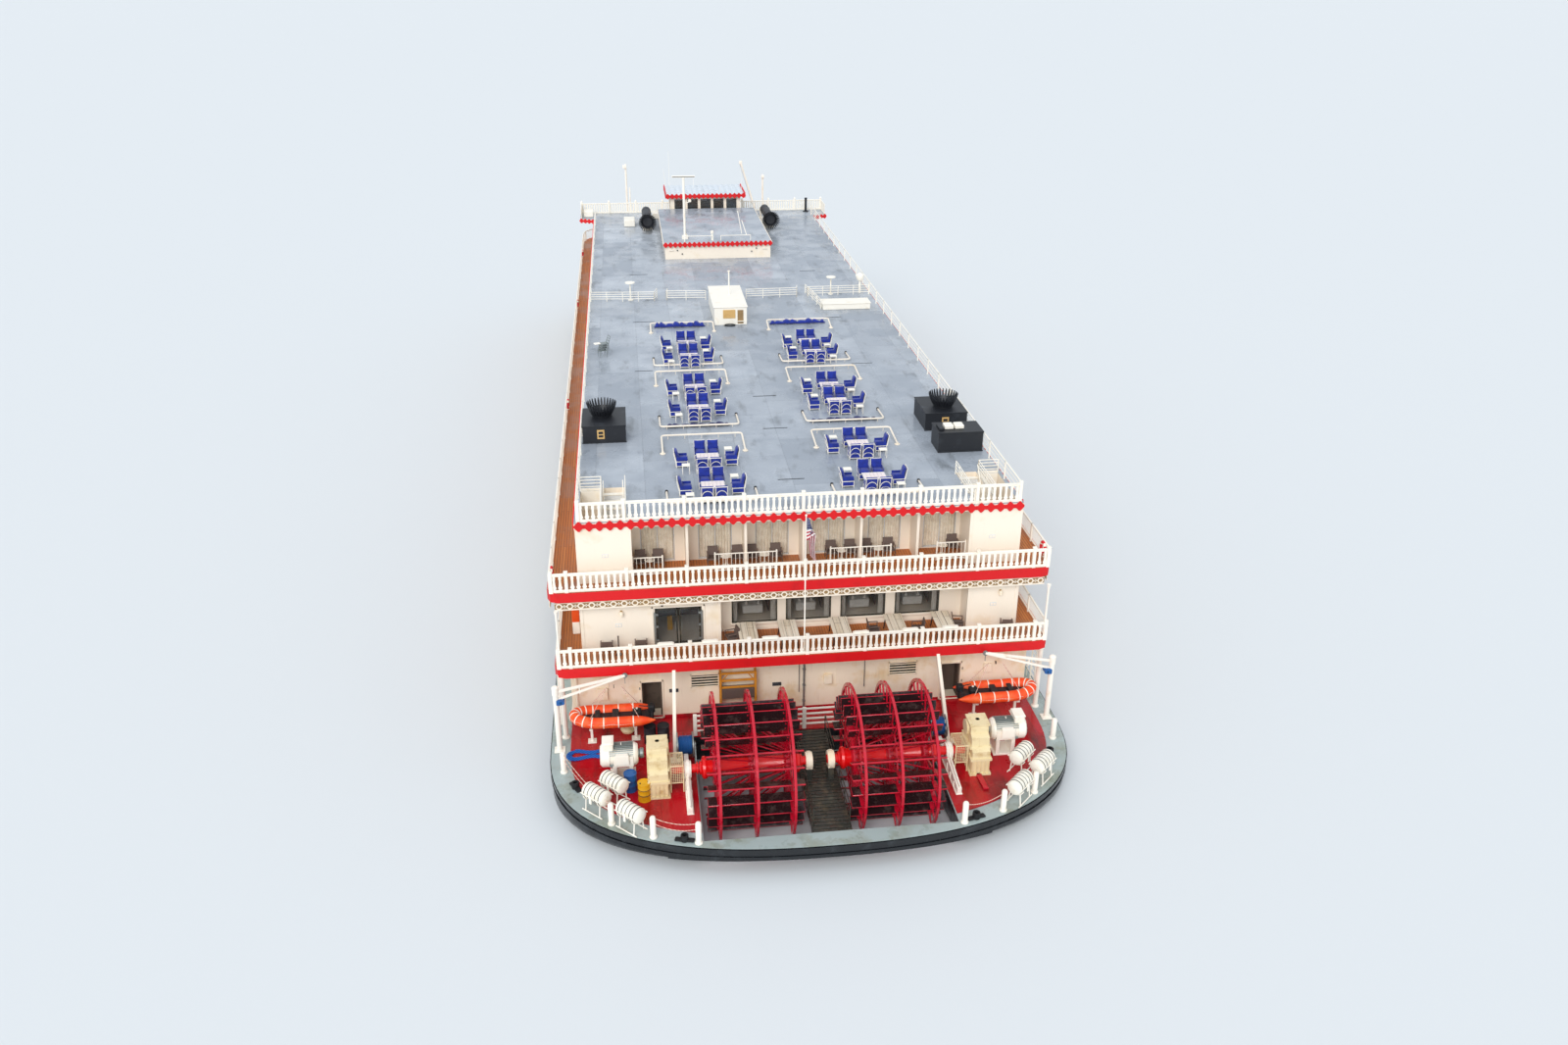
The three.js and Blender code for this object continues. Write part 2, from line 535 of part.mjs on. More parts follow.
// Rails that meet the side rails are drawn a little inside them, so that no two
// faces of the joined solid lie in one plane.
const RAIL_LAP = 0.005
function crossRail(half, base, y) {
  return railAcross(railPattern(RAIL_LAP - half, half - RAIL_LAP, base + RAIL_LAP, RAIL_BAY),
    y + RAIL_LAP, y + RAIL_THICK - RAIL_LAP)
}
const sternRail = (deck, base) => crossRail(deck.half - RAIL_INSET, base, deck.aft + RAIL_INSET)

// The rail round a deck's bow joins the fore ends of its two side rails.
const BOW_RAIL = { steps: 5, lap: 0.05, post: 0.03 }
function bowRail(deck, sideBase, sideEnd) {
  const edge = inset => [[deck.half - inset, sideEnd - BOW_RAIL.lap],
    ...bowCurve({ half: deck.half - inset, fore: deck.fore - inset }, BOW_RAIL.steps)]
  const across = points => [...points, ...points.map(([x, y]) => [-x, y]).reverse()]
  const outline = polygon(withoutRepeats([
    ...across(edge(RAIL_INSET + RAIL_LAP)), ...across(edge(RAIL_INSET + RAIL_THICK - RAIL_LAP)).reverse()]))
  const base = sideBase + RAIL_LAP
  const top = base + RAIL_HEIGHT
  const middle = RAIL_INSET + RAIL_THICK / 2
  const posts = [...across(edge(middle).slice(2, -1)), [0, deck.fore - middle]].map(([x, y]) =>
    bar([x, y, base + RAIL_BAR / 2], [x, y, top - RAIL_BAR / 2], BOW_RAIL.post, 6))
  return fuse([plate(outline, base, base + RAIL_BAR), plate(outline, top - RAIL_BAR, top), ...posts])
}

const secondBase = SECOND_Z + SEAT
const SIDE_RAIL_END = { second: 74, third: 72.8 }
piece('second_deck_rail', fuse([
  ...sideRails(SECOND_DECK, secondBase, SIDE_RAIL_END.second, { every: 1, top: THIRD_Z - FASCIA - SEAT }),
  sternRail(SECOND_DECK, secondBase), bowRail(SECOND_DECK, secondBase, SIDE_RAIL_END.second)]), WHITE)

const thirdBase = THIRD_Z + SEAT
piece('third_deck_rail', fuse([...sideRails(THIRD_DECK, thirdBase, SIDE_RAIL_END.third),
  sternRail(THIRD_DECK, thirdBase), bowRail(THIRD_DECK, thirdBase, SIDE_RAIL_END.third)]), WHITE)

const sunBase = SUN_Z + SEAT
const BROW_RAIL = { half: SUN_DECK.browHalf - RAIL_INSET, aft: SUN_DECK.brow + 0.7 }
const SUN_RAIL_END = SUN_DECK.fore - RAIL_INSET - 2 * RAIL_LAP    // inside the fore rail's outer face
const browSide = railPattern(BROW_RAIL.aft, SUN_RAIL_END, sunBase, RAIL_BAY)
piece('sun_deck_rail', fuse([...sideRails(SUN_DECK, sunBase, SUN_RAIL_END),
  sternRail(SUN_DECK, sunBase), crossRail(BROW_RAIL.half, sunBase, SUN_DECK.fore - RAIL_INSET - RAIL_THICK),
  railAlong(browSide, -BROW_RAIL.half, RAIL_THICK - BROW_RAIL.half),
  railAlong(browSide, BROW_RAIL.half - RAIL_THICK, BROW_RAIL.half)]), WHITE)

// Houses on the sun deck

const ROOF_BASE = SUN_Z + SEAT
const FRONT_HOUSE = { half: 4.4, aft: 52.2, fore: 67, top: SUN_Z + 1.25 }
piece('front_house', block(-FRONT_HOUSE.half, FRONT_HOUSE.half, FRONT_HOUSE.aft, FRONT_HOUSE.fore,
  ROOF_BASE, FRONT_HOUSE.top), CREAM)

const PILOT = { half: 3.3, aft: 67.4, fore: 71.9, sill: 1.1, head: 2.15, top: SUN_Z + 2.4 }
function pilotHouse() {
  const { half, aft, fore } = PILOT
  const body = block(-half, half, aft, fore, ROOF_BASE, PILOT.top)
  const room = block(-half + WALL, half - WALL, aft + WALL, fore - WALL, ROOF_BASE + 0.1, PILOT.top + 1)
  const across = Array.from({ length: 5 }, (_, i) => block(-2.95 + i * 1.22, -2.95 + i * 1.22 + 1.02,
    aft - 1, fore + 1, SUN_Z + PILOT.sill, SUN_Z + PILOT.head))
  const along = Array.from({ length: 3 }, (_, i) => block(-half - 1, half + 1, aft + 0.4 + i * 1.28,
    aft + 0.4 + i * 1.28 + 1.06, SUN_Z + PILOT.sill, SUN_Z + PILOT.head))
  return carve(body, [room, ...across, ...along])
}
piece('pilot_house', pilotHouse(), CREAM)
piece('pilot_house_roof', block(-PILOT.half - 0.4, PILOT.half + 0.4, PILOT.aft - 0.35, PILOT.fore + 0.3,
  PILOT.top + SEAT, PILOT.top + 0.2), ROOF_GREY)

piece('roof_hut', fuse([block(-1.8, 0.45, 32.2, 38, ROOF_BASE, SUN_Z + 1.29),
  bar([-0.5, 35.5, SUN_Z + 1.2], [-0.5, 35.5, SUN_Z + 3], 0.07, 8)]), WHITE)

// Engine casings and their crowned uptakes

const CASINGS = [   // name, x0, x1, y0, y1, height
  ['casing_port', -10.3, -8.05, 10.8, 13.6, 0.97],
  ['casing_starboard', 8, 10.3, 10.7, 13.4, 1],
  ['casing_starboard_aft', 7.95, 10.3, 7.5, 9.05, 1.1],
]
for (const [name, x0, x1, y0, y1, height] of CASINGS) {
  piece(name, block(x0, x1, y0, y1, ROOF_BASE, SUN_Z + height), CASING_BLACK)
}

const CROWN = { rise: 0.85, bowl: 0.5, root: 0.48, tip: 0.78, spikes: 14 }
// A stack's flared crown: a cone of flat tongues that lean outwards.
function crown(base) {
  const { rise, bowl, root, tip, spikes } = CROWN
  const cone = turned([[0, base], [root, base], [tip - 0.1, base + bowl], [0, base + bowl]], 16)
  const tongues = Array.from({ length: spikes }, (_, i) => {
    const tongue = polygon([[root, base + bowl - 0.15], [tip - 0.12, base + bowl - 0.05],
      [tip, base + rise], [tip - 0.06, base + rise], [root, base + bowl - 0.03]])
    return sideProfile(tongue, -0.07, 0.07).rotate([0, 0, i * 360 / spikes])
  })
  return fuse([cone, ...tongues])
}
const AFT_STACKS = [   // name, x, y, top of its casing
  ['aft_stack_port', -9.28, 12.4, SUN_Z + 0.97],
  ['aft_stack_starboard', 9.2, 11.8, SUN_Z + 1],
]
for (const [name, x, y, casingTop] of AFT_STACKS) {
  const stack = piece(name, crown(0), CASING_BLACK)
  stack.position.set(x, y, casingTop + SEAT)
}

// Forward stacks, hinged at the foot and folded down aft

const FOLD = { x: 5.6, y: 68, z: SUN_Z + 1.05, length: 5.2, radius: 0.42, pin: 0.08 }
function foldingStack() {
  const pipe = bar([0, 0, 0.35], [0, 0, FOLD.length], FOLD.radius, 16)
  const lug = block(-0.16, 0.16, -0.22, 0.22, -0.22, 0.5)
  const pin = bar([-0.42, 0, 0], [0.42, 0, 0], FOLD.pin, 12)
  return fuse([pipe, lug, pin, crown(FOLD.length - 0.05)])
}
for (const [name, side] of SIDES) {
  const fold = new THREE.Group()
  fold.position.set(side * FOLD.x, FOLD.y, FOLD.z)
  fold.rotation.x = Math.PI / 2
  model.add(fold)
  piece(`folding_stack_${name}`, foldingStack(), CASING_BLACK, fold)

  const x = side * FOLD.x
  const boreX = bar([x - 1, FOLD.y, FOLD.z], [x + 1, FOLD.y, FOLD.z], FOLD.pin + RUNNING_GAP, 12)
  const cheeks = [-0.33, 0.33].map(dx => carve(block(x + dx - 0.1, x + dx + 0.1,
    FOLD.y - 0.19, FOLD.y + 0.19, ROOF_BASE, FOLD.z + 0.19), [boreX]))
  const base = block(x - 0.43, x + 0.43, 63.8, FOLD.y + 0.4, ROOF_BASE, SUN_Z + 0.2)
  const saddle = block(x - 0.12, x + 0.12, 64, 64.2, SUN_Z + 0.1, FOLD.z - FOLD.radius - SEAT)
  piece(`stack_pedestal_${name}`, fuse([base, saddle, ...cheeks]), WHITE)
}

// Radar mast and its scanner

const RADAR = { x: -2.65, y: 54.1, top: 20.4 }
piece('radar_mast', fuse([
  block(RADAR.x - 0.25, RADAR.x + 0.25, RADAR.y - 0.25, RADAR.y + 0.25,
    FRONT_HOUSE.top + SEAT, FRONT_HOUSE.top + 0.3),
  bar([RADAR.x, RADAR.y, FRONT_HOUSE.top + 0.1], [RADAR.x, RADAR.y, RADAR.top], 0.1, 12)]), WHITE)
const scanner = piece('radar_scanner', fuse([
  bar([0, 0, 0], [0, 0, 0.16], 0.14, 16), block(-0.95, 0.95, -0.09, 0.09, 0.1, 0.26)]), WHITE)
scanner.position.set(RADAR.x, RADAR.y, RADAR.top + SEAT)

// Masts at the fore end of the third deck

for (const [name, x, top] of [['port', -7.32, 18.15], ['starboard', 6.4, 16.95]]) {
  piece(`bow_mast_${name}`, fuse([
    block(x - 0.2, x + 0.2, 76.3, 76.7, THIRD_Z + SEAT, THIRD_Z + 0.3),
    bar([x, 76.5, THIRD_Z + 0.1], [x, 76.5, top], 0.1, 12)]), WHITE)
}

// Landing stage on the foredeck and the boom that lifts it

const FOREDECK_TOP = DECK_TOP
const BOOM = { x: 8.4, y: 81, heel: FOREDECK_TOP + 0.9, tip: [-3.8, 0, 12.7] }
piece('boom_post', fuse([
  block(BOOM.x - 0.4, BOOM.x + 0.4, BOOM.y - 0.4, BOOM.y + 0.4, FOREDECK_TOP, FOREDECK_TOP + 0.3),
  bar([BOOM.x, BOOM.y, FOREDECK_TOP + 0.1], [BOOM.x, BOOM.y, BOOM.heel], 0.22, 16)]), WHITE)
const boom = piece('stage_boom', fuse([bar([0, 0, 0], [0, 0, 0.5], 0.26, 16),
  bar([0, 0, 0.3], BOOM.tip, 0.13, 10)]), WHITE)
boom.position.set(BOOM.x, BOOM.y, BOOM.heel + SEAT)

const STAGE = { x: 2, y: 78.2, z: FOREDECK_TOP + 0.75, length: 7.4, half: 0.75, pin: 0.09 }
function landingStage() {
  const side = railPattern(0.3, STAGE.length, 0, 1.4)
  const floor = block(-STAGE.half, STAGE.half, 0.3, STAGE.length, 0, 0.08)
  const trusses = [-1, 1].map(s => railAlong(side,
    Math.min(s * STAGE.half, s * (STAGE.half - 0.08)), Math.max(s * STAGE.half, s * (STAGE.half - 0.08))))
  const lug = block(-0.3, 0.3, -0.12, 0.4, -0.12, 0.08)
  return fuse([floor, ...trusses, lug, bar([-0.6, 0, 0], [0.6, 0, 0], STAGE.pin, 12)])
}
const stage = piece('landing_stage', landingStage(), WHITE)
stage.position.set(STAGE.x, STAGE.y, STAGE.z)
const stageBore = bar([STAGE.x - 1, STAGE.y, STAGE.z], [STAGE.x + 1, STAGE.y, STAGE.z],
  STAGE.pin + RUNNING_GAP, 12)
piece('stage_bed', fuse([
  block(STAGE.x - 0.65, STAGE.x + 0.65, STAGE.y - 0.3, 84.1, FOREDECK_TOP, FOREDECK_TOP + 0.2),
  block(STAGE.x - 0.8, STAGE.x + 0.8, 83.9, 84.1, FOREDECK_TOP, STAGE.z - SEAT),
  ...[-0.5, 0.5].map(dx => carve(block(STAGE.x + dx - 0.1, STAGE.x + dx + 0.1, STAGE.y - 0.2, STAGE.y + 0.2,
    FOREDECK_TOP + 0.1, STAGE.z + 0.25), [stageBore]))]), WHITE)

// Rescue boats on their cradles, and the davits over them

const RIB = { x: 9.2, y: -1.3, z: 5.2, length: 4.1, half: 0.8, tube: 0.26 }
function rescueBoat() {
  const reach = RIB.length / 2
  const route = new THREE.CatmullRomCurve3([
    [-reach, -RIB.half, 0], [0, -RIB.half, 0], [reach * 0.6, -RIB.half * 0.8, 0.03], [reach, 0, 0.12],
    [reach * 0.6, RIB.half * 0.8, 0.03], [0, RIB.half, 0], [-reach, RIB.half, 0],
  ].map(p => new THREE.Vector3(...p)))
  const section = new THREE.Shape().absarc(0, 0, RIB.tube, 0, Math.PI * 2)
  const tube = toSolid(new THREE.ExtrudeGeometry(section,
    { steps: 20, extrudePath: route, bevelEnabled: false, curveSegments: 4 }))
  const bottom = plate(polygon([[-reach + 0.2, -RIB.half], [0, -RIB.half], [reach * 0.55, -RIB.half * 0.75],
    [reach - 0.1, 0], [reach * 0.55, RIB.half * 0.75], [0, RIB.half], [-reach + 0.2, RIB.half]]), -0.3, -0.05)
  const motor = block(-reach - 0.05, -reach + 0.35, -0.22, 0.22, -0.2, 0.6)
  return fuse([tube, bottom, motor])
}
const DAVIT = { x: 11.75, y: -1.75, height: 7, tip: [3.18, 0.5] }
for (const [name, side] of SIDES) {
  const outboard = new THREE.Group()
  outboard.position.set(side * RIB.x, RIB.y, RIB.z)
  outboard.rotation.z = side > 0 ? 0 : Math.PI
  model.add(outboard)
  piece(`rescue_boat_${name}`, rescueBoat(), BOAT_ORANGE, outboard)

  const legs = [-0.9, 0.9].map(dx => block(side * RIB.x + dx - 0.06, side * RIB.x + dx + 0.06,
    RIB.y - 0.5, RIB.y + 0.5, DECK_TOP, RIB.z - 0.3 - SEAT))
  const tie = block(side * RIB.x - 0.95, side * RIB.x + 0.95, RIB.y - 0.06, RIB.y + 0.06,
    DECK_TOP, DECK_TOP + 0.12)
  const x = side * DAVIT.x
  const foot = block(Math.min(side * RIB.x, x), Math.max(side * RIB.x, x), DAVIT.y - 0.06, DAVIT.y + 0.06,
    DECK_TOP, DECK_TOP + 0.12)
  const post = bar([x, DAVIT.y, DECK_TOP], [x, DAVIT.y, DAVIT.height - 0.15], 0.13, 12)
  piece(`boat_cradle_${name}`, fuse([...legs, tie, foot, post]), WHITE)
  const arm = piece(`davit_arm_${name}`, fuse([bar([0, 0, 0], [0, 0, 0.3], 0.16, 12),
    bar([0, 0, 0.15], [-side * DAVIT.tip[0], DAVIT.tip[1], 0.15], 0.07, 8)]), WHITE)
  arm.position.set(x, DAVIT.y, DAVIT.height - 0.15 + SEAT)
}

// Liferaft canisters on their racks

// A canister lies along the hull's edge, its axis turned 45 degrees to the keel.
const RAFTS = [[9.2, -5.75], [9.95, -6.5], [8.5, -7.85]]    // x, y of each canister
const CANISTER = { half: 0.66, radius: 0.36, z: 4.75 }
for (const [name, side] of SIDES) {
  const reach = CANISTER.half / Math.SQRT2
  const canisters = RAFTS.map(([x, y]) => bar([side * (x + reach), y + reach, CANISTER.z],
    [side * (x - reach), y - reach, CANISTER.z], CANISTER.radius, 12))
  const legs = RAFTS.flatMap(([x, y]) => [-0.3, 0.3].map(t => block(
    side * (x + t) - 0.05, side * (x + t) + 0.05, y + t - 0.05, y + t + 0.05, DECK_TOP, CANISTER.z - 0.2)))
  const ties = RAFTS.slice(1).map(([x, y], i) => bar([side * x, y, DECK_TOP + 0.12],
    [side * RAFTS[i][0], RAFTS[i][1], DECK_TOP + 0.12], 0.06, 6))
  const feet = RAFTS.map(([x, y]) => bar([side * (x + 0.34), y + 0.34, DECK_TOP + 0.12],
    [side * (x - 0.34), y - 0.34, DECK_TOP + 0.12], 0.06, 6))
  piece(`liferaft_rack_${name}`, fuse([...canisters, ...legs, ...ties, ...feet]), WHITE)
}

// A mooring rope lies flaked down on the port quarter. The outer shape of all its
// turns is one low solid with round ends.

const FLAKED_ROPE = { outer: -11.5, inner: -9.1, y: -2.4, half: 0.46, height: 0.14 }
function flakedRope() {
  const { outer, inner, y, half, height } = FLAKED_ROPE
  const roundEnd = (x, start) => Array.from({ length: 7 }, (_, i) => {
    const turn = start + i * Math.PI / 6
    return [x + half * Math.cos(turn), y + half * Math.sin(turn)]
  })
  const outline = [...roundEnd(inner - half, -Math.PI / 2), ...roundEnd(outer + half, Math.PI / 2)]
  return plate(polygon(outline), DECK_TOP + SEAT, DECK_TOP + SEAT + height)
}
piece('mooring_rope', flakedRope(), ROPE_BLUE)

export default model
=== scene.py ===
"""River steamer with twin stern wheels: the look of a one-to-ten model.

Shapes are worked out in metres of the full-size boat: x to starboard, y forward from the
aft edge of the third deck, z up from the flat bottom. METRE and MID_Y carry them into the
model's own frame when a piece is made, so pattern sizes in the finishes are millimetres of
the model.
"""

from __future__ import annotations

import json
import logging
import math
import sys
from dataclasses import dataclass
from enum import Enum
from typing import Any, Callable, Iterable, Sequence

import bpy
import numpy as np
from mathutils import Euler, Matrix

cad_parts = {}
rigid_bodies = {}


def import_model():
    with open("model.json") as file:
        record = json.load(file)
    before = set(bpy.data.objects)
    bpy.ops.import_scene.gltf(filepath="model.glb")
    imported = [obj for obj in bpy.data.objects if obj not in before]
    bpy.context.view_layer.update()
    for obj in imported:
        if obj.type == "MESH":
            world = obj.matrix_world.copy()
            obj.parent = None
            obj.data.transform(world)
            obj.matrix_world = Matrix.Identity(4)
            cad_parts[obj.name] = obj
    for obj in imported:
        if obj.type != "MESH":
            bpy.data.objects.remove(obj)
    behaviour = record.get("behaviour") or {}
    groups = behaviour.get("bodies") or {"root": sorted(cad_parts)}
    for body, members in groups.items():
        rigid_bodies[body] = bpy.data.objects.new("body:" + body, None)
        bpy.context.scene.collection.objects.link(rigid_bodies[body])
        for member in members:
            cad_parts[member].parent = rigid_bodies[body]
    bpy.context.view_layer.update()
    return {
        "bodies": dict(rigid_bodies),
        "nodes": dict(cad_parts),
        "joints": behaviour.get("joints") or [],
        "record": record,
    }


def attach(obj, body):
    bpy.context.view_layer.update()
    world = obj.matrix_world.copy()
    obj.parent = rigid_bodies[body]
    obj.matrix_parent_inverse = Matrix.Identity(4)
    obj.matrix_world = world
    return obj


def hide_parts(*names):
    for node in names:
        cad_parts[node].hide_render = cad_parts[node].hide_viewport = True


log = logging.getLogger("steamer")

METRE = 0.1  # one metre of the full-size boat in metres of the model
MID_Y = 38.55  # station of the full-size boat that stands at the model's origin

# Levels and outlines of the full-size boat, in metres
WATER_Z, MAIN_Z, SECOND_Z, THIRD_Z, SUN_Z = 2.5, 3.8, 7.7, 11.1, 14.18
DECK_TOP = MAIN_Z + 0.063  # top of the red covering of the main deck
FASCIA = 0.38  # depth of an upper deck's edge
LIFT = 0.003  # what stands on a deck keeps this far clear of it
STERN_Y, BOW_Y, HULL_HALF = -9.95, 87.05, 12.2
HOUSE_HALF, THIRD_HALF = 10.5, 11.9
SECOND_AFT = -1.05  # aft edge of the second deck
RAIL_INSET = 0.14  # from a deck's edge to the middle of its rail
RAIL_HEIGHT = 0.98
SIDES = (-1, 1)  # port and starboard


class Body(str, Enum):
    """The bodies of the frame that the pieces ride on."""

    HULL = "hull"
    PORT_WHEEL = "port_wheel"
    STARBOARD_WHEEL = "starboard_wheel"
    SCANNER = "scanner"
    PORT_STACK = "port_stack"
    STARBOARD_STACK = "starboard_stack"
    PORT_DAVIT = "port_davit"
    STARBOARD_DAVIT = "starboard_davit"
    BOOM = "boom"
    STAGE = "stage"
    PORT_DOOR = "port_door"
    STARBOARD_DOOR = "starboard_door"


def side_name(side: int) -> str:
    """Port for -1 and starboard for 1."""
    return "port" if side < 0 else "starboard"


# Shapes


@dataclass(frozen=True)
class Solid:
    """Corners in full-size metres and blocks of faces.

    Each block is an array of faces with one number of corners, and the mark of its finish.
    """

    corners: np.ndarray
    blocks: tuple[tuple[np.ndarray, int], ...]

    def marked(self, mark: int) -> Solid:
        """The same shape with every face in one finish."""
        return Solid(self.corners, tuple((faces, mark) for faces, _ in self.blocks))

    def marked_where(self, mark: int, choose: Callable[[np.ndarray, np.ndarray], np.ndarray]) -> Solid:
        """Gives some faces another finish.

        Args:
            mark: the finish's index.
            choose: takes the faces' middles and unit normals and says which ones change.

        Returns:
            The shape with its blocks split in two.
        """
        blocks = []
        for faces, old in self.blocks:
            ring = self.corners[faces]
            turn = np.cross(ring - ring[:, :1], np.roll(ring, -1, axis=1) - ring[:, :1]).sum(axis=1)
            normal = turn / np.maximum(np.linalg.norm(turn, axis=1, keepdims=True), 1e-12)
            chosen = choose(ring.mean(axis=1), normal)
            blocks += [(faces[~chosen], old), (faces[chosen], mark)]
        return Solid(self.corners, tuple(block for block in blocks if len(block[0])))

    def moved(self, x: float = 0.0, y: float = 0.0, z: float = 0.0) -> Solid:
        """The shape shifted along the axes."""
        return Solid(self.corners + (x, y, z), self.blocks)

    def turned(self, degrees: float, axis: str = "Z") -> Solid:
        """The shape turned about an axis through the origin."""
        spin = np.array(Matrix.Rotation(math.radians(degrees), 3, axis))
        return Solid(self.corners @ spin.T, self.blocks)

    def mirrored(self) -> Solid:
        """The shape on the other side of the keel, its faces turned back outwards."""
        blocks = tuple((faces[:, ::-1], mark) for faces, mark in self.blocks)
        return Solid(self.corners * (-1, 1, 1), blocks)

    def on(self, side: int) -> Solid:
        """The shape itself for starboard, which is 1, and its mirror image for port."""
        return self if side > 0 else self.mirrored()

    def doubled(self) -> Solid:
        """The shape together with its mirror image."""
        return joined([self, self.mirrored()])

    def copies(self, places: np.ndarray, turns: np.ndarray | None = None, axis: str = "Z") -> Solid:
        """Many copies of the shape as one.

        Args:
            places: one offset a copy, n by 3.
            turns: an angle in degrees for each copy, applied before its offset.
            axis: the axis of those turns.

        Returns:
            The joined copies. Copy k's corners are R_k p + place_k.
        """
        places = np.atleast_2d(np.asarray(places, float))
        count, size = len(places), len(self.corners)
        if turns is None:
            corners = np.broadcast_to(self.corners, (count, size, 3))
        else:
            spins = np.array([Matrix.Rotation(math.radians(a), 3, axis) for a in turns])
            corners = np.einsum("nij,mj->nmi", spins, self.corners)
        corners = (corners + places[:, None]).reshape(-1, 3)
        step = (np.arange(count) * size)[:, None, None]
        blocks = tuple(
            ((faces[None] + step).reshape(-1, faces.shape[1]), mark) for faces, mark in self.blocks
        )
        return Solid(corners, blocks)


def joined(parts: Iterable[Solid]) -> Solid:
    """One shape that holds all of these."""
    corners, blocks, count = [], [], 0
    for part in parts:
        corners.append(part.corners)
        blocks += [(faces + count, mark) for faces, mark in part.blocks]
        count += len(part.corners)
    return Solid(np.concatenate(corners), tuple(blocks))


def loft(rings: np.ndarray, looped: bool = False, mark: int = 0) -> Solid:
    """A closed skin over rings of equal count.

    Corner j of ring i meets corner j + 1 and corner j of ring i + 1. Rings run anticlockwise
    about the way they proceed.

    Args:
        rings: rings by corners by 3.
        looped: the last ring joins the first; otherwise both ends are capped.
        mark: the finish's index.

    Returns:
        The closed shape.
    """
    count, size = rings.shape[:2]
    index = np.arange(count * size).reshape(count, size)
    here, there = (index, np.roll(index, -1, axis=0)) if looped else (index[:-1], index[1:])
    quads = np.stack([here, np.roll(here, -1, axis=1), np.roll(there, -1, axis=1), there], axis=-1)
    blocks = [(quads.reshape(-1, 4), mark)]
    if not looped:
        blocks += [(index[:1, ::-1], mark), (index[-1:], mark)]
    return Solid(rings.reshape(-1, 3), tuple(blocks))


def circle(radius: float, sides: int, start: float = 0.0) -> np.ndarray:
    """Points of an anticlockwise circle, radius (cos a, sin a)."""
    a = start + np.arange(sides) * 2 * math.pi / sides
    return radius * np.stack([np.cos(a), np.sin(a)], axis=-1)


def rectangle(u0: float, u1: float, v0: float, v1: float, cut: float = 0.0) -> np.ndarray:
    """An anticlockwise rectangle, its corners cut off where cut is given."""
    if not cut:
        return np.array([(u0, v0), (u1, v0), (u1, v1), (u0, v1)], float)
    return np.array([(u0 + cut, v0), (u1 - cut, v0), (u1, v0 + cut), (u1, v1 - cut),
                     (u1 - cut, v1), (u0 + cut, v1), (u0, v1 - cut), (u0, v0 + cut)], float)


def prism(outline: np.ndarray, low: float, high: float, axis: str = "z", mark: int = 0) -> Solid:
    """An anticlockwise outline carried straight along an axis.

    The outline is in (x, y) for z, in (y, z) for x and in (x, z) for y.
    """
    outline = np.asarray(outline, float)
    if axis == "y":
        outline = outline[::-1]
    order = {"z": (0, 1, 2), "x": (2, 0, 1), "y": (0, 2, 1)}[axis]
    flat = np.repeat(outline[None], 2, axis=0)
    heights = np.broadcast_to(np.array([low, high])[:, None, None], (2, len(outline), 1))
    stacked = np.concatenate([flat, heights], axis=-1)
    return loft(stacked[..., list(order)], mark=mark)


def box(x0: float, x1: float, y0: float, y1: float, z0: float, z1: float,
        cut: float = 0.0, mark: int = 0) -> Solid:
    """A box from its lowest to its highest corner, every edge cut off by a small bevel."""
    if not cut:
        return prism(rectangle(x0, x1, y0, y1), z0, z1, mark=mark)
    full = rectangle(x0, x1, y0, y1, cut)
    middle = np.array([(x0 + x1) / 2, (y0 + y1) / 2])
    half = np.array([(x1 - x0) / 2, (y1 - y0) / 2])
    inset = middle + (full - middle) * (half - cut) / half
    levels = [(inset, z0), (full, z0 + cut), (full, z1 - cut), (inset, z1)]
    rings = np.array([raised(ring, z) for ring, z in levels])
    return loft(rings, mark=mark)


def boxes(lows: np.ndarray, highs: np.ndarray, mark: int = 0) -> Solid:
    """Many plain boxes from arrays of their lowest and highest corners."""
    lows, highs = np.atleast_2d(lows), np.atleast_2d(highs)
    unit = box(0, 1, 0, 1, 0, 1, mark=mark)
    whole = unit.copies(np.zeros((len(lows), 3)))
    spans = np.repeat(highs - lows, len(unit.corners), axis=0)
    return Solid(whole.corners * spans + np.repeat(lows, len(unit.corners), axis=0), whole.blocks)


def frames_along(path: np.ndarray) -> tuple[np.ndarray, np.ndarray]:
    """Two unit vectors square to a path at each of its points, and to each other."""
    along = np.gradient(path, axis=0)
    along /= np.linalg.norm(along, axis=1, keepdims=True)
    reference = np.eye(3)[np.argmin(np.abs(along).max(axis=0))]
    side = np.cross(along, reference)
    side /= np.linalg.norm(side, axis=1, keepdims=True)
    return side, np.cross(along, side)


def carried(section: np.ndarray, path: Sequence | np.ndarray, looped: bool = False,
            mark: int = 0) -> Solid:
    """A flat section carried along a path: point + u * side + v * up.

    Args:
        section: anticlockwise points (u, v), or one such set for each point of the path.
        path: the points it passes through.
        looped: the path closes on itself.
        mark: the finish's index.

    Returns:
        The closed shape.
    """
    path = np.asarray(path, float)
    wrapped = np.concatenate([path[-2:], path, path[:2]]) if looped else path
    side, up = frames_along(wrapped)
    if looped:
        side, up = side[2:-2], up[2:-2]
    section = np.asarray(section, float)
    if section.ndim == 2:
        section = np.broadcast_to(section, (len(path), *section.shape))
    rings = path[:, None] + section[..., :1] * side[:, None] + section[..., 1:] * up[:, None]
    return loft(rings, looped=looped, mark=mark)


def tube(path: Sequence | np.ndarray, radius: float, sides: int = 8, looped: bool = False,
         mark: int = 0) -> Solid:
    """A round bar along a path."""
    return carried(circle(radius, sides), path, looped, mark)


def rods(starts: np.ndarray, ends: np.ndarray, radius: float, sides: int = 6, mark: int = 0) -> Solid:
    """Many straight round bars from arrays of their ends."""
    starts, ends = np.atleast_2d(starts).astype(float), np.atleast_2d(ends).astype(float)
    return joined(tube([a, b], radius, sides, mark=mark) for a, b in zip(starts, ends))


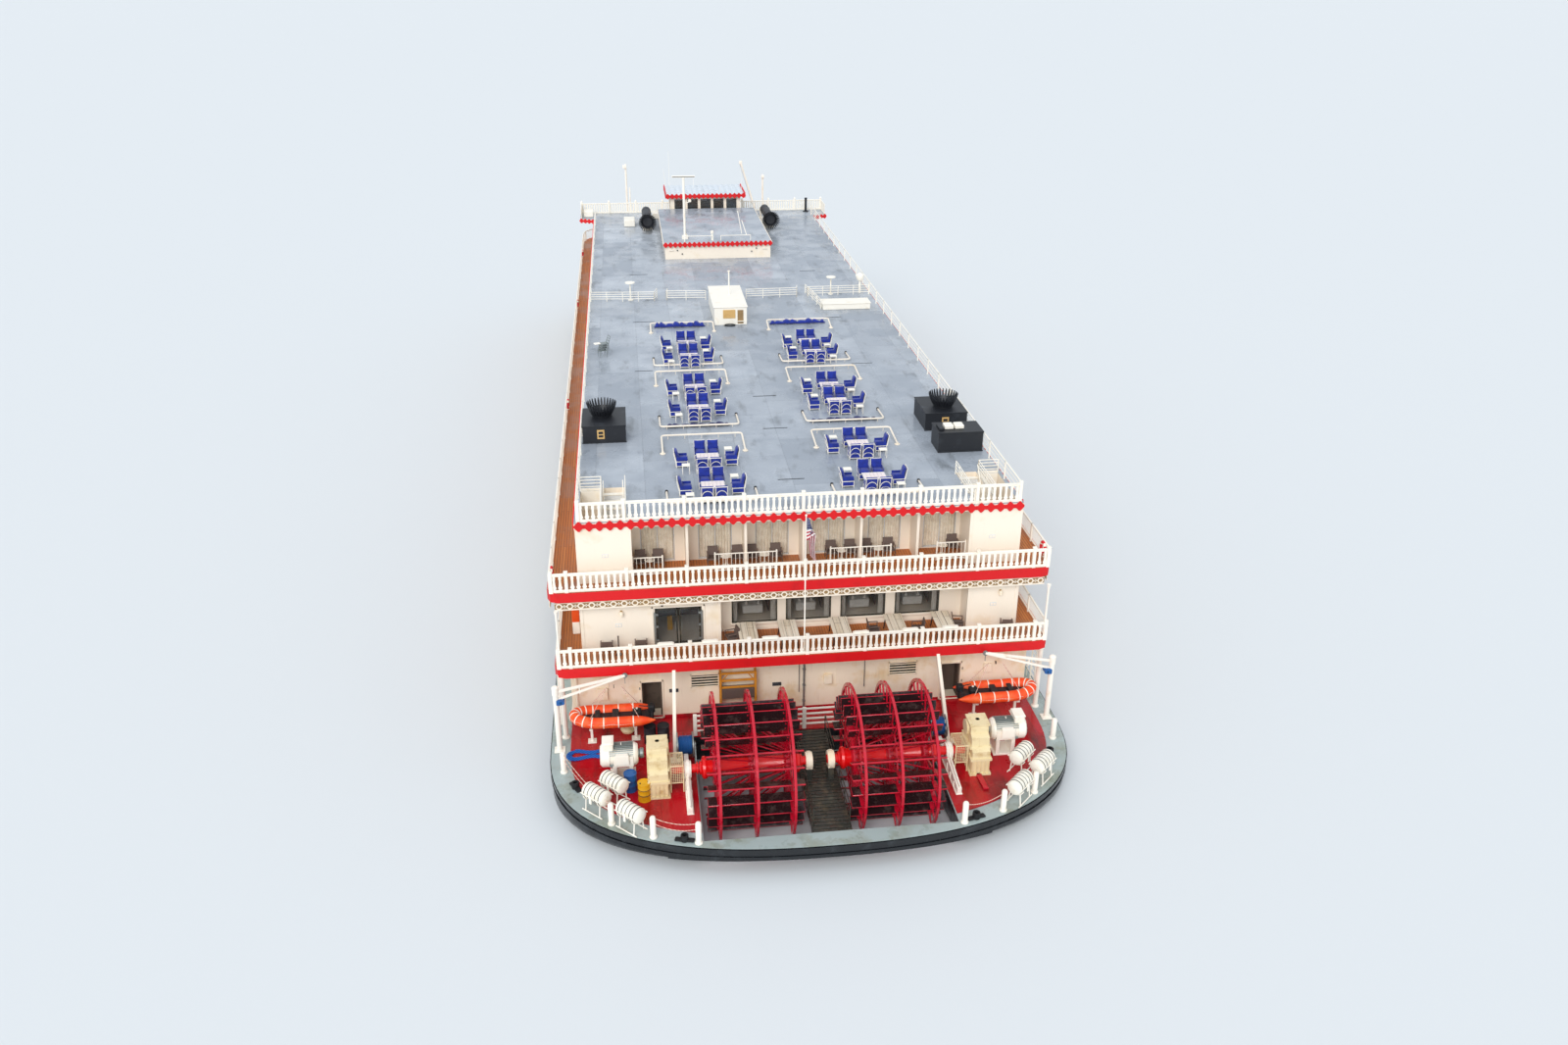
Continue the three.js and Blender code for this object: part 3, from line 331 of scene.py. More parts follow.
def turned_profile(profile: Sequence | np.ndarray, sides: int = 24, axis: str = "z",
                   mark: int = 0) -> Solid:
    """A profile of radius and height turned about z: (r cos a, r sin a, h), ends capped flat.

    For axis x the height runs along x, and for y along y.
    """
    profile = np.asarray(profile, float)
    spin = circle(1.0, sides)
    rings = np.concatenate([
        profile[:, None, :1] * spin[None],
        np.broadcast_to(profile[:, None, 1:], (len(profile), sides, 1)),
    ], axis=-1)
    order = {"z": [0, 1, 2], "x": [2, 0, 1], "y": [1, 2, 0]}[axis]
    return loft(rings[..., order], mark=mark)


def ring_about_x(inner: float, outer: float, x0: float, x1: float, sides: int, mark: int = 0) -> Solid:
    """A flat hoop about the x axis: the section (x, r) goes round as (x, r cos a, r sin a)."""
    section = rectangle(x0, x1, inner, outer)
    a = np.arange(sides) * 2 * math.pi / sides
    rings = np.stack([
        np.broadcast_to(section[:, 0], (sides, 4)),
        section[None, :, 1] * np.cos(a)[:, None],
        section[None, :, 1] * np.sin(a)[:, None],
    ], axis=-1)
    return loft(rings, looped=True, mark=mark)


def spread(start: float, end: float, pitch: float) -> np.ndarray:
    """Places from start to end, as near the pitch as fills the length evenly."""
    return np.linspace(start, end, max(2, round((end - start) / pitch) + 1))


def spots(x: np.ndarray | float, y: np.ndarray | float, z: np.ndarray | float) -> np.ndarray:
    """Points in rows of x, y and z, where a plain number goes for all of them."""
    return np.stack(np.broadcast_arrays(x, y, z), axis=-1).astype(float)


def raised(plan: np.ndarray, z: float) -> np.ndarray:
    """The points of a plan, all at one height."""
    return np.column_stack([plan, np.full(len(plan), z)])


def grid_faces(index: np.ndarray) -> np.ndarray:
    """The four corner numbers of each cell in a grid of corner numbers."""
    return np.stack([index[:-1, :-1], index[1:, :-1], index[1:, 1:], index[:-1, 1:]], axis=-1)


# Finishes


def linear(colour: str) -> tuple[float, float, float, float]:
    """An sRGB hex colour as linear light: ((c + 0.055) / 1.055) ** 2.4, or c / 12.92 when dark."""
    parts = [int(colour[i:i + 2], 16) / 255 for i in (1, 3, 5)]
    light = [c / 12.92 if c <= 0.04045 else ((c + 0.055) / 1.055) ** 2.4 for c in parts]
    return (*light, 1.0)


MIX = ("ShaderNodeMix", {"data_type": "RGBA"})  # inputs 0, 6 and 7: mask, under and over
TIMES = ("ShaderNodeMath", {"operation": "MULTIPLY"})  # inputs 0 and 1
NOISE_SCALE = 1000.0  # scale of a noise whose grain is a millimetre
WAVE_SCALE = 314.0  # scale of a wave whose bands are a millimetre apart
LAPPED_MM = (610.0, 240.0)  # length and width of a steel deck plate on the model
RUST = "#8A5A30"
# painted reflection: the grey of the sky that a dark pane reflects
PANE_SKY_REFLECTION = "#4C5459"  # what a dark pane shows of the sky


class Graph:
    """The node tree of one material, with its shader and the place on the piece."""

    def __init__(self, name: str) -> None:
        """Starts a material of that name."""
        self.material = bpy.data.materials.new(name)
        self.material.use_nodes = True
        self.tree = self.material.node_tree
        self.shader = self.tree.nodes["Principled BSDF"]
        self.place = self.add("ShaderNodeTexCoord").outputs["Object"]

    def add(self, kind: str, settings: dict[str, Any] | None = None,
            inputs: dict[str | int, Any] | None = None) -> bpy.types.Node:
        """Adds a node, sets its properties and fills or links its inputs."""
        node = self.tree.nodes.new(kind)
        for key, value in (settings or {}).items():
            setattr(node, key, value)
        self.fill(node, inputs or {})
        return node

    def fill(self, node: bpy.types.Node, inputs: dict[str | int, Any]) -> None:
        """Links the sockets among these inputs and sets the plain values."""
        for key, value in inputs.items():
            if isinstance(value, bpy.types.NodeSocket):
                self.tree.links.new(value, node.inputs[key])
            else:
                node.inputs[key].default_value = value

    def cloud(self, size_mm: float, low: float, high: float, detail: float = 4.0,
              stretch: tuple[float, float, float] = (1.0, 1.0, 1.0)) -> bpy.types.NodeSocket:
        """A cloudy mask from 0 to 1.

        Args:
            size_mm: grain of the cloud in millimetres of the model.
            low: noise value where the mask starts.
            high: noise value where it is full.
            detail: octaves of finer noise.
            stretch: how much closer the grain lies along each axis.

        Returns:
            The mask's socket.
        """
        moved = self.add("ShaderNodeMapping", None, {"Vector": self.place, "Scale": stretch})
        noise = self.add("ShaderNodeTexNoise", None,
                         {"Vector": moved.outputs[0], "Scale": NOISE_SCALE / size_mm, "Detail": detail,
                          "Roughness": 0.6})
        return self.add("ShaderNodeMapRange", None, {
            "Value": noise.outputs[0], "From Min": low, "From Max": high}).outputs[0]

    def relief(self, height: bpy.types.NodeSocket, depth_mm: float,
               under: bpy.types.NodeSocket | None = None) -> bpy.types.NodeSocket:
        """A bump of that depth in millimetres of the model, over another bump where given."""
        inputs: dict[str | int, Any] = {"Height": height, "Distance": depth_mm / 1000, "Strength": 1.0}
        if under is not None:
            inputs["Normal"] = under
        return self.add("ShaderNodeBump", None, inputs).outputs[0]

    def finished(self, inputs: dict[str | int, Any]) -> bpy.types.Material:
        """Sets the shader's sockets and returns the material."""
        self.fill(self.shader, inputs)
        return self.material


@dataclass(frozen=True)
class Enamel:
    """Alkyd enamel on steel, rolled or sprayed: soft gloss, cloudy tone, runs below edges."""

    name: str
    colour: str
    faded: str  # colour where weather or spray has reached
    roughness: float = 0.42
    fade_mm: float = 90.0
    fading: float = 0.5  # the higher, the more of the surface is faded
    streaks: float = 0.0  # strength of rust runs down upright faces
    peel_mm: float = 0.03  # depth of the roller's orange peel
    metallic: float = 0.0
    wet: float = 0.0  # share of the surface that holds a film of water

    def material(self) -> bpy.types.Material:
        """Cloudy fading over the colour, rust runs, and patches of wet gloss."""
        graph = Graph(self.name)
        fade = graph.cloud(self.fade_mm, 0.72 - 0.4 * self.fading, 0.86 - 0.2 * self.fading)
        tone = graph.add(*MIX, {0: fade, 6: linear(self.colour), 7: linear(self.faded)}).outputs[2]
        if self.streaks:
            runs = graph.cloud(6.0, 0.62, 0.95, 3.0, (1.0, 1.0, 0.06))
            damped = graph.add(*TIMES, {0: runs, 1: self.streaks}).outputs[0]
            tone = graph.add(*MIX, {0: damped, 6: tone, 7: linear(RUST)}).outputs[2]
        gloss = graph.cloud(60.0, 0.75 - 0.5 * self.wet, 0.8 - 0.4 * self.wet, 3.0)
        rough = graph.add("ShaderNodeMapRange", None,
                          {"Value": gloss, "To Min": self.roughness,
                           "To Max": self.roughness * (0.25 if self.wet else 0.7)})
        peel = graph.cloud(2.5, 0.3, 0.7, 2.0)
        return graph.finished({
            "Base Color": tone, "Roughness": rough.outputs[0], "Metallic": self.metallic, "IOR": 1.5,
            "Normal": graph.relief(peel, self.peel_mm)})


@dataclass(frozen=True)
class DeckCoating:
    """Thick grit-filled deck paint over welded plates: lap seams, patches, standing water."""

    name: str
    colour: str
    patched: str  # colour of repainted rectangles
    worn: str  # colour of scuffs and dirt
    plate_mm: tuple[float, float] = LAPPED_MM  # along y and across
    water: float = 0.5  # share under a film of water
    roughness: float = 0.55
    wear: float = 0.55  # strength of the scuffs, which also grow and spread with it
    seam_dirt: float = 0.35  # how much darker the lap seams are

    def material(self) -> bpy.types.Material:
        """Plates differ a little in tone, seams stand proud, and low spots shine."""
        graph = Graph(self.name)
        swap = graph.add("ShaderNodeMapping", None,
                         {"Vector": graph.place, "Rotation": (0, 0, math.pi / 2)})
        length, width = (size / 1000 for size in self.plate_mm)
        plates = graph.add("ShaderNodeTexBrick", {"offset": 0.37, "squash": 1.0}, {
            "Vector": swap.outputs[0], "Color1": (0.0, 0.0, 0.0, 1.0), "Color2": (1.0, 1.0, 1.0, 1.0),
            "Mortar": (0.5, 0.5, 0.5, 1.0), "Scale": 1.0, "Brick Width": length, "Row Height": width,
            "Mortar Size": 0.0012, "Mortar Smooth": 0.6, "Bias": 0.0})
        cloud = graph.cloud(260.0, 0.3, 0.7, 6.0)
        both = graph.add(*TIMES, {0: plates.outputs[0], 1: cloud}).outputs[0]
        tone = graph.add(*MIX, {0: both, 6: linear(self.colour), 7: linear(self.patched)}).outputs[2]
        scuff_mm = 70.0 + 90.0 * (self.wear - 0.55)
        scuff = graph.cloud(scuff_mm, 0.72 - 0.24 * self.wear, 0.74, 8.0, (1.0, 0.35, 1.0))
        faint = graph.add(*TIMES, {0: scuff, 1: self.wear}).outputs[0]
        tone = graph.add(*MIX, {0: faint, 6: tone, 7: linear(self.worn)}).outputs[2]
        seam = graph.add(*TIMES, {0: plates.outputs[1], 1: self.seam_dirt}).outputs[0]
        tone = graph.add(*MIX, {0: seam, 6: tone, 7: linear(self.worn)}).outputs[2]
        pool = graph.cloud(190.0, 0.62 - 0.3 * self.water, 0.7 - 0.25 * self.water, 5.0)
        rough = graph.add("ShaderNodeMapRange", None, {
            "Value": pool, "To Min": self.roughness, "To Max": 0.16}).outputs[0]
        grit = graph.cloud(1.6, 0.35, 0.75, 2.0)
        bump = graph.relief(grit, 0.05, graph.relief(plates.outputs[1], 0.5))
        return graph.finished({"Base Color": tone, "Roughness": rough, "IOR": 1.45, "Normal": bump})


@dataclass(frozen=True)
class Planking:
    """Composite deck boards along the hull, rain-dark in places, each board its own brown."""

    name: str
    colour: str
    other: str
    wet: str
    board_mm: float = 13.0
    length_mm: float = 420.0

    def material(self) -> bpy.types.Material:
        """Boards as long bricks with grooved joints, grain along each board."""
        graph = Graph(self.name)
        turned = graph.add("ShaderNodeMapping", None,
                           {"Vector": graph.place, "Rotation": (0, 0, math.pi / 2)})
        boards = graph.add("ShaderNodeTexBrick", {"offset": 0.43},
                           {"Vector": turned.outputs[0], "Color1": linear(self.colour),
                            "Color2": linear(self.other), "Mortar": linear("#4A2C18"), "Scale": 1.0,
                            "Brick Width": self.length_mm / 1000, "Row Height": self.board_mm / 1000,
                            "Mortar Size": 0.0009, "Mortar Smooth": 0.3, "Bias": 0.1})
        damp = graph.cloud(240.0, 0.45, 0.62, 4.0)
        dark = graph.add(*TIMES, {0: damp, 1: 0.6}).outputs[0]
        tone = graph.add(*MIX, {0: dark, 6: boards.outputs[0], 7: linear(self.wet)}).outputs[2]
        rough = graph.add("ShaderNodeMapRange", None,
                          {"Value": damp, "To Min": 0.6, "To Max": 0.3}).outputs[0]
        grain = graph.cloud(3.0, 0.3, 0.7, 3.0, (1.0, 0.05, 1.0))
        bump = graph.relief(grain, 0.04, graph.relief(boards.outputs[1], -0.5))
        return graph.finished({"Base Color": tone, "Roughness": rough, "IOR": 1.48, "Normal": bump})


@dataclass(frozen=True)
class Canvas:
    """Woven acrylic canvas: matt threads over and under, a little sheen at the edges."""

    name: str
    colour: str
    shade: str
    thread_mm: float = 1.2  # far coarser than real thread, so that the weave still shows
    see_through: float = 0.0

    def material(self) -> bpy.types.Material:
        """Two sets of threads as sine bands across each other."""
        graph = Graph(self.name)
        bands = [graph.add("ShaderNodeTexWave", {"bands_direction": way}, {
            "Vector": graph.place, "Scale": WAVE_SCALE / self.thread_mm, "Distortion": 0.4}).outputs[1]
            for way in ("X", "DIAGONAL")]
        weave = graph.add(*TIMES, {0: bands[0], 1: bands[1]}).outputs[0]
        # painted shade: cloudy patches of the shade colour stand for shade in the cloth's folds
        fold = graph.cloud(25.0, 0.35, 0.7, 3.0)
        painted_fold_shade = graph.add(*TIMES, {0: fold, 1: 0.7}).outputs[0]
        tone = graph.add(*MIX, {0: painted_fold_shade, 6: linear(self.colour), 7: linear(self.shade)}).outputs[2]
        return graph.finished({
            "Base Color": tone, "Roughness": 0.85, "Sheen Weight": 0.25, "Sheen Roughness": 0.5,
            "Alpha": 1.0 - self.see_through, "Normal": graph.relief(weave, 0.08)})


@dataclass(frozen=True)
class Glass:
    """Tinted float glass: a dark pane with a sharp reflection, dulled a little by rain marks."""

    name: str
    colour: str
    clearness: float = 0.0  # share of the light that passes

    def material(self) -> bpy.types.Material:
        """A glossy dark pane, see-through where curtains hang behind it."""
        graph = Graph(self.name)
        marks = graph.cloud(30.0, 0.55, 0.8, 5.0, (1.0, 1.0, 0.3))
        rough = graph.add("ShaderNodeMapRange", None,
                          {"Value": marks, "To Min": 0.04, "To Max": 0.18}).outputs[0]
        # painted reflection: cloudy patches of the sky's grey mixed into the pane's colour
        depth = graph.cloud(160.0, 0.35, 0.65, 2.0)
        tone = graph.add(*MIX, {0: depth, 6: linear(self.colour), 7: linear(PANE_SKY_REFLECTION)}).outputs[2]
        return graph.finished({
            "Base Color": tone, "Roughness": rough, "IOR": 1.52, "Alpha": 1.0 - self.clearness,
            "Coat Weight": 0.3, "Coat Roughness": 0.03})


@dataclass(frozen=True)
class CoatedFabric:
    """Neoprene-coated fabric of an inflated tube: matt, slightly crazed, chalky with age."""

    name: str
    colour: str
    chalk: str

    def material(self) -> bpy.types.Material:
        """Fine crazing as bump and chalky clouds over the colour."""
        graph = Graph(self.name)
        chalk = graph.cloud(45.0, 0.45, 0.8, 5.0)
        tone = graph.add(*MIX, {0: chalk, 6: linear(self.colour), 7: linear(self.chalk)}).outputs[2]
        craze = graph.add("ShaderNodeTexVoronoi", {"feature": "DISTANCE_TO_EDGE"}, {
            "Vector": graph.place, "Scale": 260.0}).outputs[0]
        return graph.finished({"Base Color": tone, "Roughness": 0.6, "IOR": 1.5,
                               "Normal": graph.relief(craze, 0.12)})


@dataclass(frozen=True)
class Striped:
    """Stripes across one axis, such as a rope's lay or the weave of a chair."""

    name: str
    one: str
    other: str
    pitch_mm: float
    axis: str = "Z"
    roughness: float = 0.8

    def material(self) -> bpy.types.Material:
        """A sine wave along the axis, cut sharp in the middle."""
        graph = Graph(self.name)
        wave = graph.add("ShaderNodeTexWave", {"bands_direction": self.axis, "wave_profile": "SIN"}, {
            "Vector": graph.place, "Scale": WAVE_SCALE / self.pitch_mm, "Distortion": 0.0}).outputs[1]
        cut = graph.add("ShaderNodeMapRange", None,
                        {"Value": wave, "From Min": 0.45, "From Max": 0.55}).outputs[0]
        tone = graph.add(*MIX, {0: cut, 6: linear(self.one), 7: linear(self.other)}).outputs[2]
        return graph.finished({"Base Color": tone, "Roughness": self.roughness,
                               "Normal": graph.relief(wave, 0.3)})


HULL_BLACK = Enamel("gloss_black_hull_enamel", "#16191D", "#33383C", 0.28, wet=0.5)
WATERWAY = Enamel("grey_waterway_enamel", "#A3B0AD", "#8C917F", 0.45, 120.0, 0.6, wet=0.5)
DECK_RED = DeckCoating("red_deck_paint", "#B00C1A", "#CC1626", "#4E1A16", (300.0, 120.0), 0.75, 0.5, 0.9)
WHEEL_RED = Enamel("red_wheel_enamel", "#C0142C", "#85101F", 0.3, 50.0, 0.45, wet=0.7)
HUB_RED = Enamel("bright_red_hub_enamel", "#E01012", "#B80E14", 0.25, wet=0.6)
BOARD_DARK = Enamel("wet_weathered_board_paint", "#2A1A1C", "#5A4A46", 0.35, 40.0, 0.5, 0.3, 0.2, wet=0.8)
STEEL_DARK = Enamel("wet_dark_steel_grating", "#35352F", "#5C5240", 0.4, 40.0, 0.5, wet=0.6)
CREAM = Enamel("cream_house_enamel", "#F6E9D6", "#EAD6B6", 0.42, 160.0, 0.35, 0.16)
RUSTY_CREAM = Enamel("stained_cream_house_enamel", "#FAEBD2", "#EBCF9F", 0.42, 90.0, 0.5, 0.4)
WHITE = Enamel("white_rail_enamel", "#F9F2E4", "#EEDFC4", 0.35, 60.0, 0.35, 0.08)
FASCIA_RED = Enamel("red_edge_band_enamel", "#D6000A", "#C2000A", 0.6)
ROOF = DeckCoating("blue_grey_deck_paint", "#989FA8", "#BFC5CC", "#63676A", LAPPED_MM, 0.6, 0.5, 0.7)
ROOF_PALE = DeckCoating("pale_corrugated_roof_paint", "#D3DAE0", "#E6EAEC", "#8A949C", (2000.0, 2000.0), 0.4)
PLATE_TAN = Enamel("blank_tan_plate", "#D8B070", "#B98F50", 0.4)
PLANKS = Planking("brown_composite_boards", "#C87A3E", "#B86A32", "#96592C")
CASING = Enamel("black_heat_paint", "#1D1F24", "#34383E", 0.5, 60.0, 0.4)
GEAR = Enamel("cream_machine_enamel", "#E8D6AA", "#C9AC74", 0.4, 40.0, 0.5, 0.4)
BLUE_STEEL = Enamel("blue_drum_enamel", "#1C5A9C", "#17406E", 0.4)
YELLOW = Enamel("yellow_drum_enamel", "#E2A814", "#B8860E", 0.4)
ORANGE_STEEL = Enamel("orange_primer_frame", "#D8902E", "#B8701E", 0.5, 40.0, 0.5)
GALVANISED = Enamel("galvanised_steel", "#9AA19F", "#7C827F", 0.42, 12.0, 0.5, metallic=0.7)
PALE_ALLOY = Enamel("powder_coated_aluminium", "#D9DADA", "#BFC3C6", 0.4, 30.0)
RUBBER = Enamel("black_moulded_rubber", "#131416", "#26282B", 0.7, 30.0)
SEAT_BLUE = Canvas("royal_blue_canvas", "#0F2C98", "#0A1C66")
CANVAS_NAVY = Canvas("navy_furled_canvas", "#0B1A5C", "#071038")
CURTAIN = Canvas("sheer_curtain_net", "#FFF3DE", "#E0CDAF", 1.5)
LINEN = Canvas("white_table_linen", "#F6F0E6", "#DCD2C2")
BOAT_ORANGE = CoatedFabric("orange_coated_tube_fabric", "#F2480E", "#F77A3C")
RAFT_WHITE = Enamel("white_moulded_glass_fibre", "#F4EEDF", "#E4DAC2", 0.4, 30.0)
WICKER = Striped("brown_woven_resin", "#76635A", "#54453E", 3.0, "Z", 0.6)
ROPE_BLUE = Striped("blue_laid_rope", "#1668C4", "#0E4A92", 7.0, "DIAGONAL")
ROPE_PALE = Striped("pale_laid_guard_rope", "#E8C9B8", "#C99A88", 6.0, "DIAGONAL")
TABLE_TILE = Enamel("pale_stone_table_tile", "#F1E2DE", "#E2CFC9", 0.35, 20.0)
SLAT_WOOD = Planking("bleached_teak_slats", "#EFE3D0", "#E4D5BD", "#CDBB9E", 30.0, 190.0)
DARK_GLASS = Glass("dark_tinted_window_glass", "#14181B")
CLEAR_GLASS = Glass("clear_door_glass", "#2A3033", 0.72)
CABIN_GLASS = Glass("cabin_door_glass", "#B4BABA", 0.94)
SALOON_GLASS = Glass("saloon_window_glass", "#20262A", 0.82)
# painted shade: a dim tan for the shade behind the lace rings; the deck hut's door takes it too
SHADED_TAN = Enamel("painted_shade_tan", "#9A7C52", "#7C6240", 0.6)
BRASS = Enamel("blank_gilt_plate", "#C9A24A", "#A8823A", 0.35, metallic=0.8)
# painted shade: a dim brown for rooms seen through doorways and glass, on their walls, floors, desks and
# crates
ROOM_SHADE = Enamel("painted_room_shade", "#5B4E42", "#3C342C", 0.7)

DRESSED: dict[Any, bpy.types.Material] = {}


def dressing(finish: Any) -> bpy.types.Material:
    """The material of a finish, made once."""
    if finish not in DRESSED:
        DRESSED[finish] = finish.material()
    return DRESSED[finish]


# Pieces


def placed(corners: np.ndarray) -> np.ndarray:
    """Full-size metres carried into the model's frame: METRE (p - (0, MID_Y, 0))."""
    return (corners - (0.0, MID_Y, 0.0)) * METRE


def make(name: str, solid: Solid, finishes: Sequence[Any], body: Body = Body.HULL,
         stands_for: Sequence[str] = (), crease: float = 34.0) -> bpy.types.Object:
    """Makes a shape an object at the origin and puts it on its body.

    Args:
        name: the piece's name.
        solid: its shape in full-size metres.
        finishes: one for each mark in the shape.
        body: the body it rides on.
        stands_for: nodes of the frame that it replaces.
        crease: edges sharper than this angle in degrees stay sharp.

    Returns:
        The new object.
    """
    mesh = bpy.data.meshes.new(name)
    corners = placed(solid.corners)
    loops = np.concatenate([faces.ravel() for faces, _ in solid.blocks])
    sizes = np.concatenate([np.full(len(faces), faces.shape[1]) for faces, _ in solid.blocks])
    marks = np.concatenate([np.full(len(faces), mark) for faces, mark in solid.blocks])
    mesh.vertices.add(len(corners))
    mesh.vertices.foreach_set("co", corners.ravel())
    mesh.loops.add(len(loops))
    mesh.loops.foreach_set("vertex_index", loops)
    mesh.polygons.add(len(sizes))
    mesh.polygons.foreach_set("loop_start", np.cumsum(sizes) - sizes)
    mesh.polygons.foreach_set("material_index", marks)
    mesh.update(calc_edges=True)
    mesh.validate()
    mesh.polygons.foreach_set("use_smooth", np.ones(len(mesh.polygons), bool))
    mesh.set_sharp_from_angle(angle=math.radians(crease))
    for finish in finishes:
        mesh.materials.append(dressing(finish))
    piece = bpy.data.objects.new(name, mesh)
    bpy.context.scene.collection.objects.link(piece)
    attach(piece, body.value)
    if stands_for:
        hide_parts(*stands_for)
    log.info("%s: %d faces on %s", name, len(mesh.polygons), body.value)
    return piece


def dress(frame: dict[str, Any], node: str, finish: Any) -> None:
    """Gives a node of the frame a finish."""
    piece = frame["nodes"][node]
    piece.data.materials.clear()
    piece.data.materials.append(dressing(finish))


def flanged_bolts(centres: np.ndarray, radius: float, height: float, axis: str = "z",
                  mark: int = 0) -> Solid:
    """Hexagon bolt heads on their washers, one at each centre."""
    profile = [(radius * 1.5, 0), (radius * 1.5, height * 0.3), (radius, height * 0.3),
               (radius, height)]
    return turned_profile(profile, 6, axis, mark).copies(centres)


@dataclass(frozen=True)
class Studio:
    """Camera at the photograph's place, overcast light and a pale floor at the waterline."""

    camera_place: tuple[float, float, float] = (-0.7486, -8.8702, 3.7937)
    camera_turn: tuple[float, float, float] = (-7.335, 64.832, 0.362)  # heading, pitch, roll in degrees
    lens_mm: float = 28.2
    sensor_mm: float = 36.0
    floor_half: float = 400.0
    floor_colour: str = "#D9DCDD"
    sky_colour: str = "#E9F0F8"
    sky_strength: float = 0.98
    sun_strength: float = 1.82
    sun_spread: float = 35.0  # degrees across, as wide as a bright patch of cloud
    sun_turn: tuple[float, float] = (56.0, -22.0)  # tilt from upright and heading, degrees
    far_clip: float = 2000.0

    def build(self) -> None:
        """Makes the camera, the lights and the floor."""
        scene = bpy.context.scene
        scene.view_settings.view_transform = "Standard"
        heading, pitch, roll = (math.radians(a) for a in self.camera_turn)
        turn = (Matrix.Rotation(heading, 4, "Z") @ Matrix.Rotation(pitch, 4, "X")
                @ Matrix.Rotation(roll, 4, "Z"))
        data = bpy.data.cameras.new("camera")
        data.lens, data.sensor_width, data.clip_end = self.lens_mm, self.sensor_mm, self.far_clip
        camera = bpy.data.objects.new("camera", data)
        camera.matrix_world = Matrix.Translation(self.camera_place) @ turn
        scene.collection.objects.link(camera)
        scene.camera = camera

        world = bpy.data.worlds.new("overcast")
        world.use_nodes = True
        sky = world.node_tree.nodes["Background"]
        sky.inputs["Color"].default_value = linear(self.sky_colour)
        sky.inputs["Strength"].default_value = self.sky_strength
        scene.world = world
        sun = bpy.data.lights.new("bright_cloud", "SUN")
        sun.energy, sun.angle = self.sun_strength, math.radians(self.sun_spread)
        lamp = bpy.data.objects.new("bright_cloud", sun)
        tilt, lamp_heading = (math.radians(a) for a in self.sun_turn)
        lamp.rotation_euler = Euler((tilt, 0, lamp_heading))
        scene.collection.objects.link(lamp)

        level, half = WATER_Z * METRE, self.floor_half
        mesh = bpy.data.meshes.new("floor")
        mesh.from_pydata([(-half, -half, level), (half, -half, level), (half, half, level),
                          (-half, half, level)], [], [(0, 1, 2, 3)])
        graph = Graph("pale_floor")
        mesh.materials.append(graph.finished({"Base Color": linear(self.floor_colour),
                                              "Roughness": 0.75}))
        floor = bpy.data.objects.new("floor", mesh)
        scene.collection.objects.link(floor)


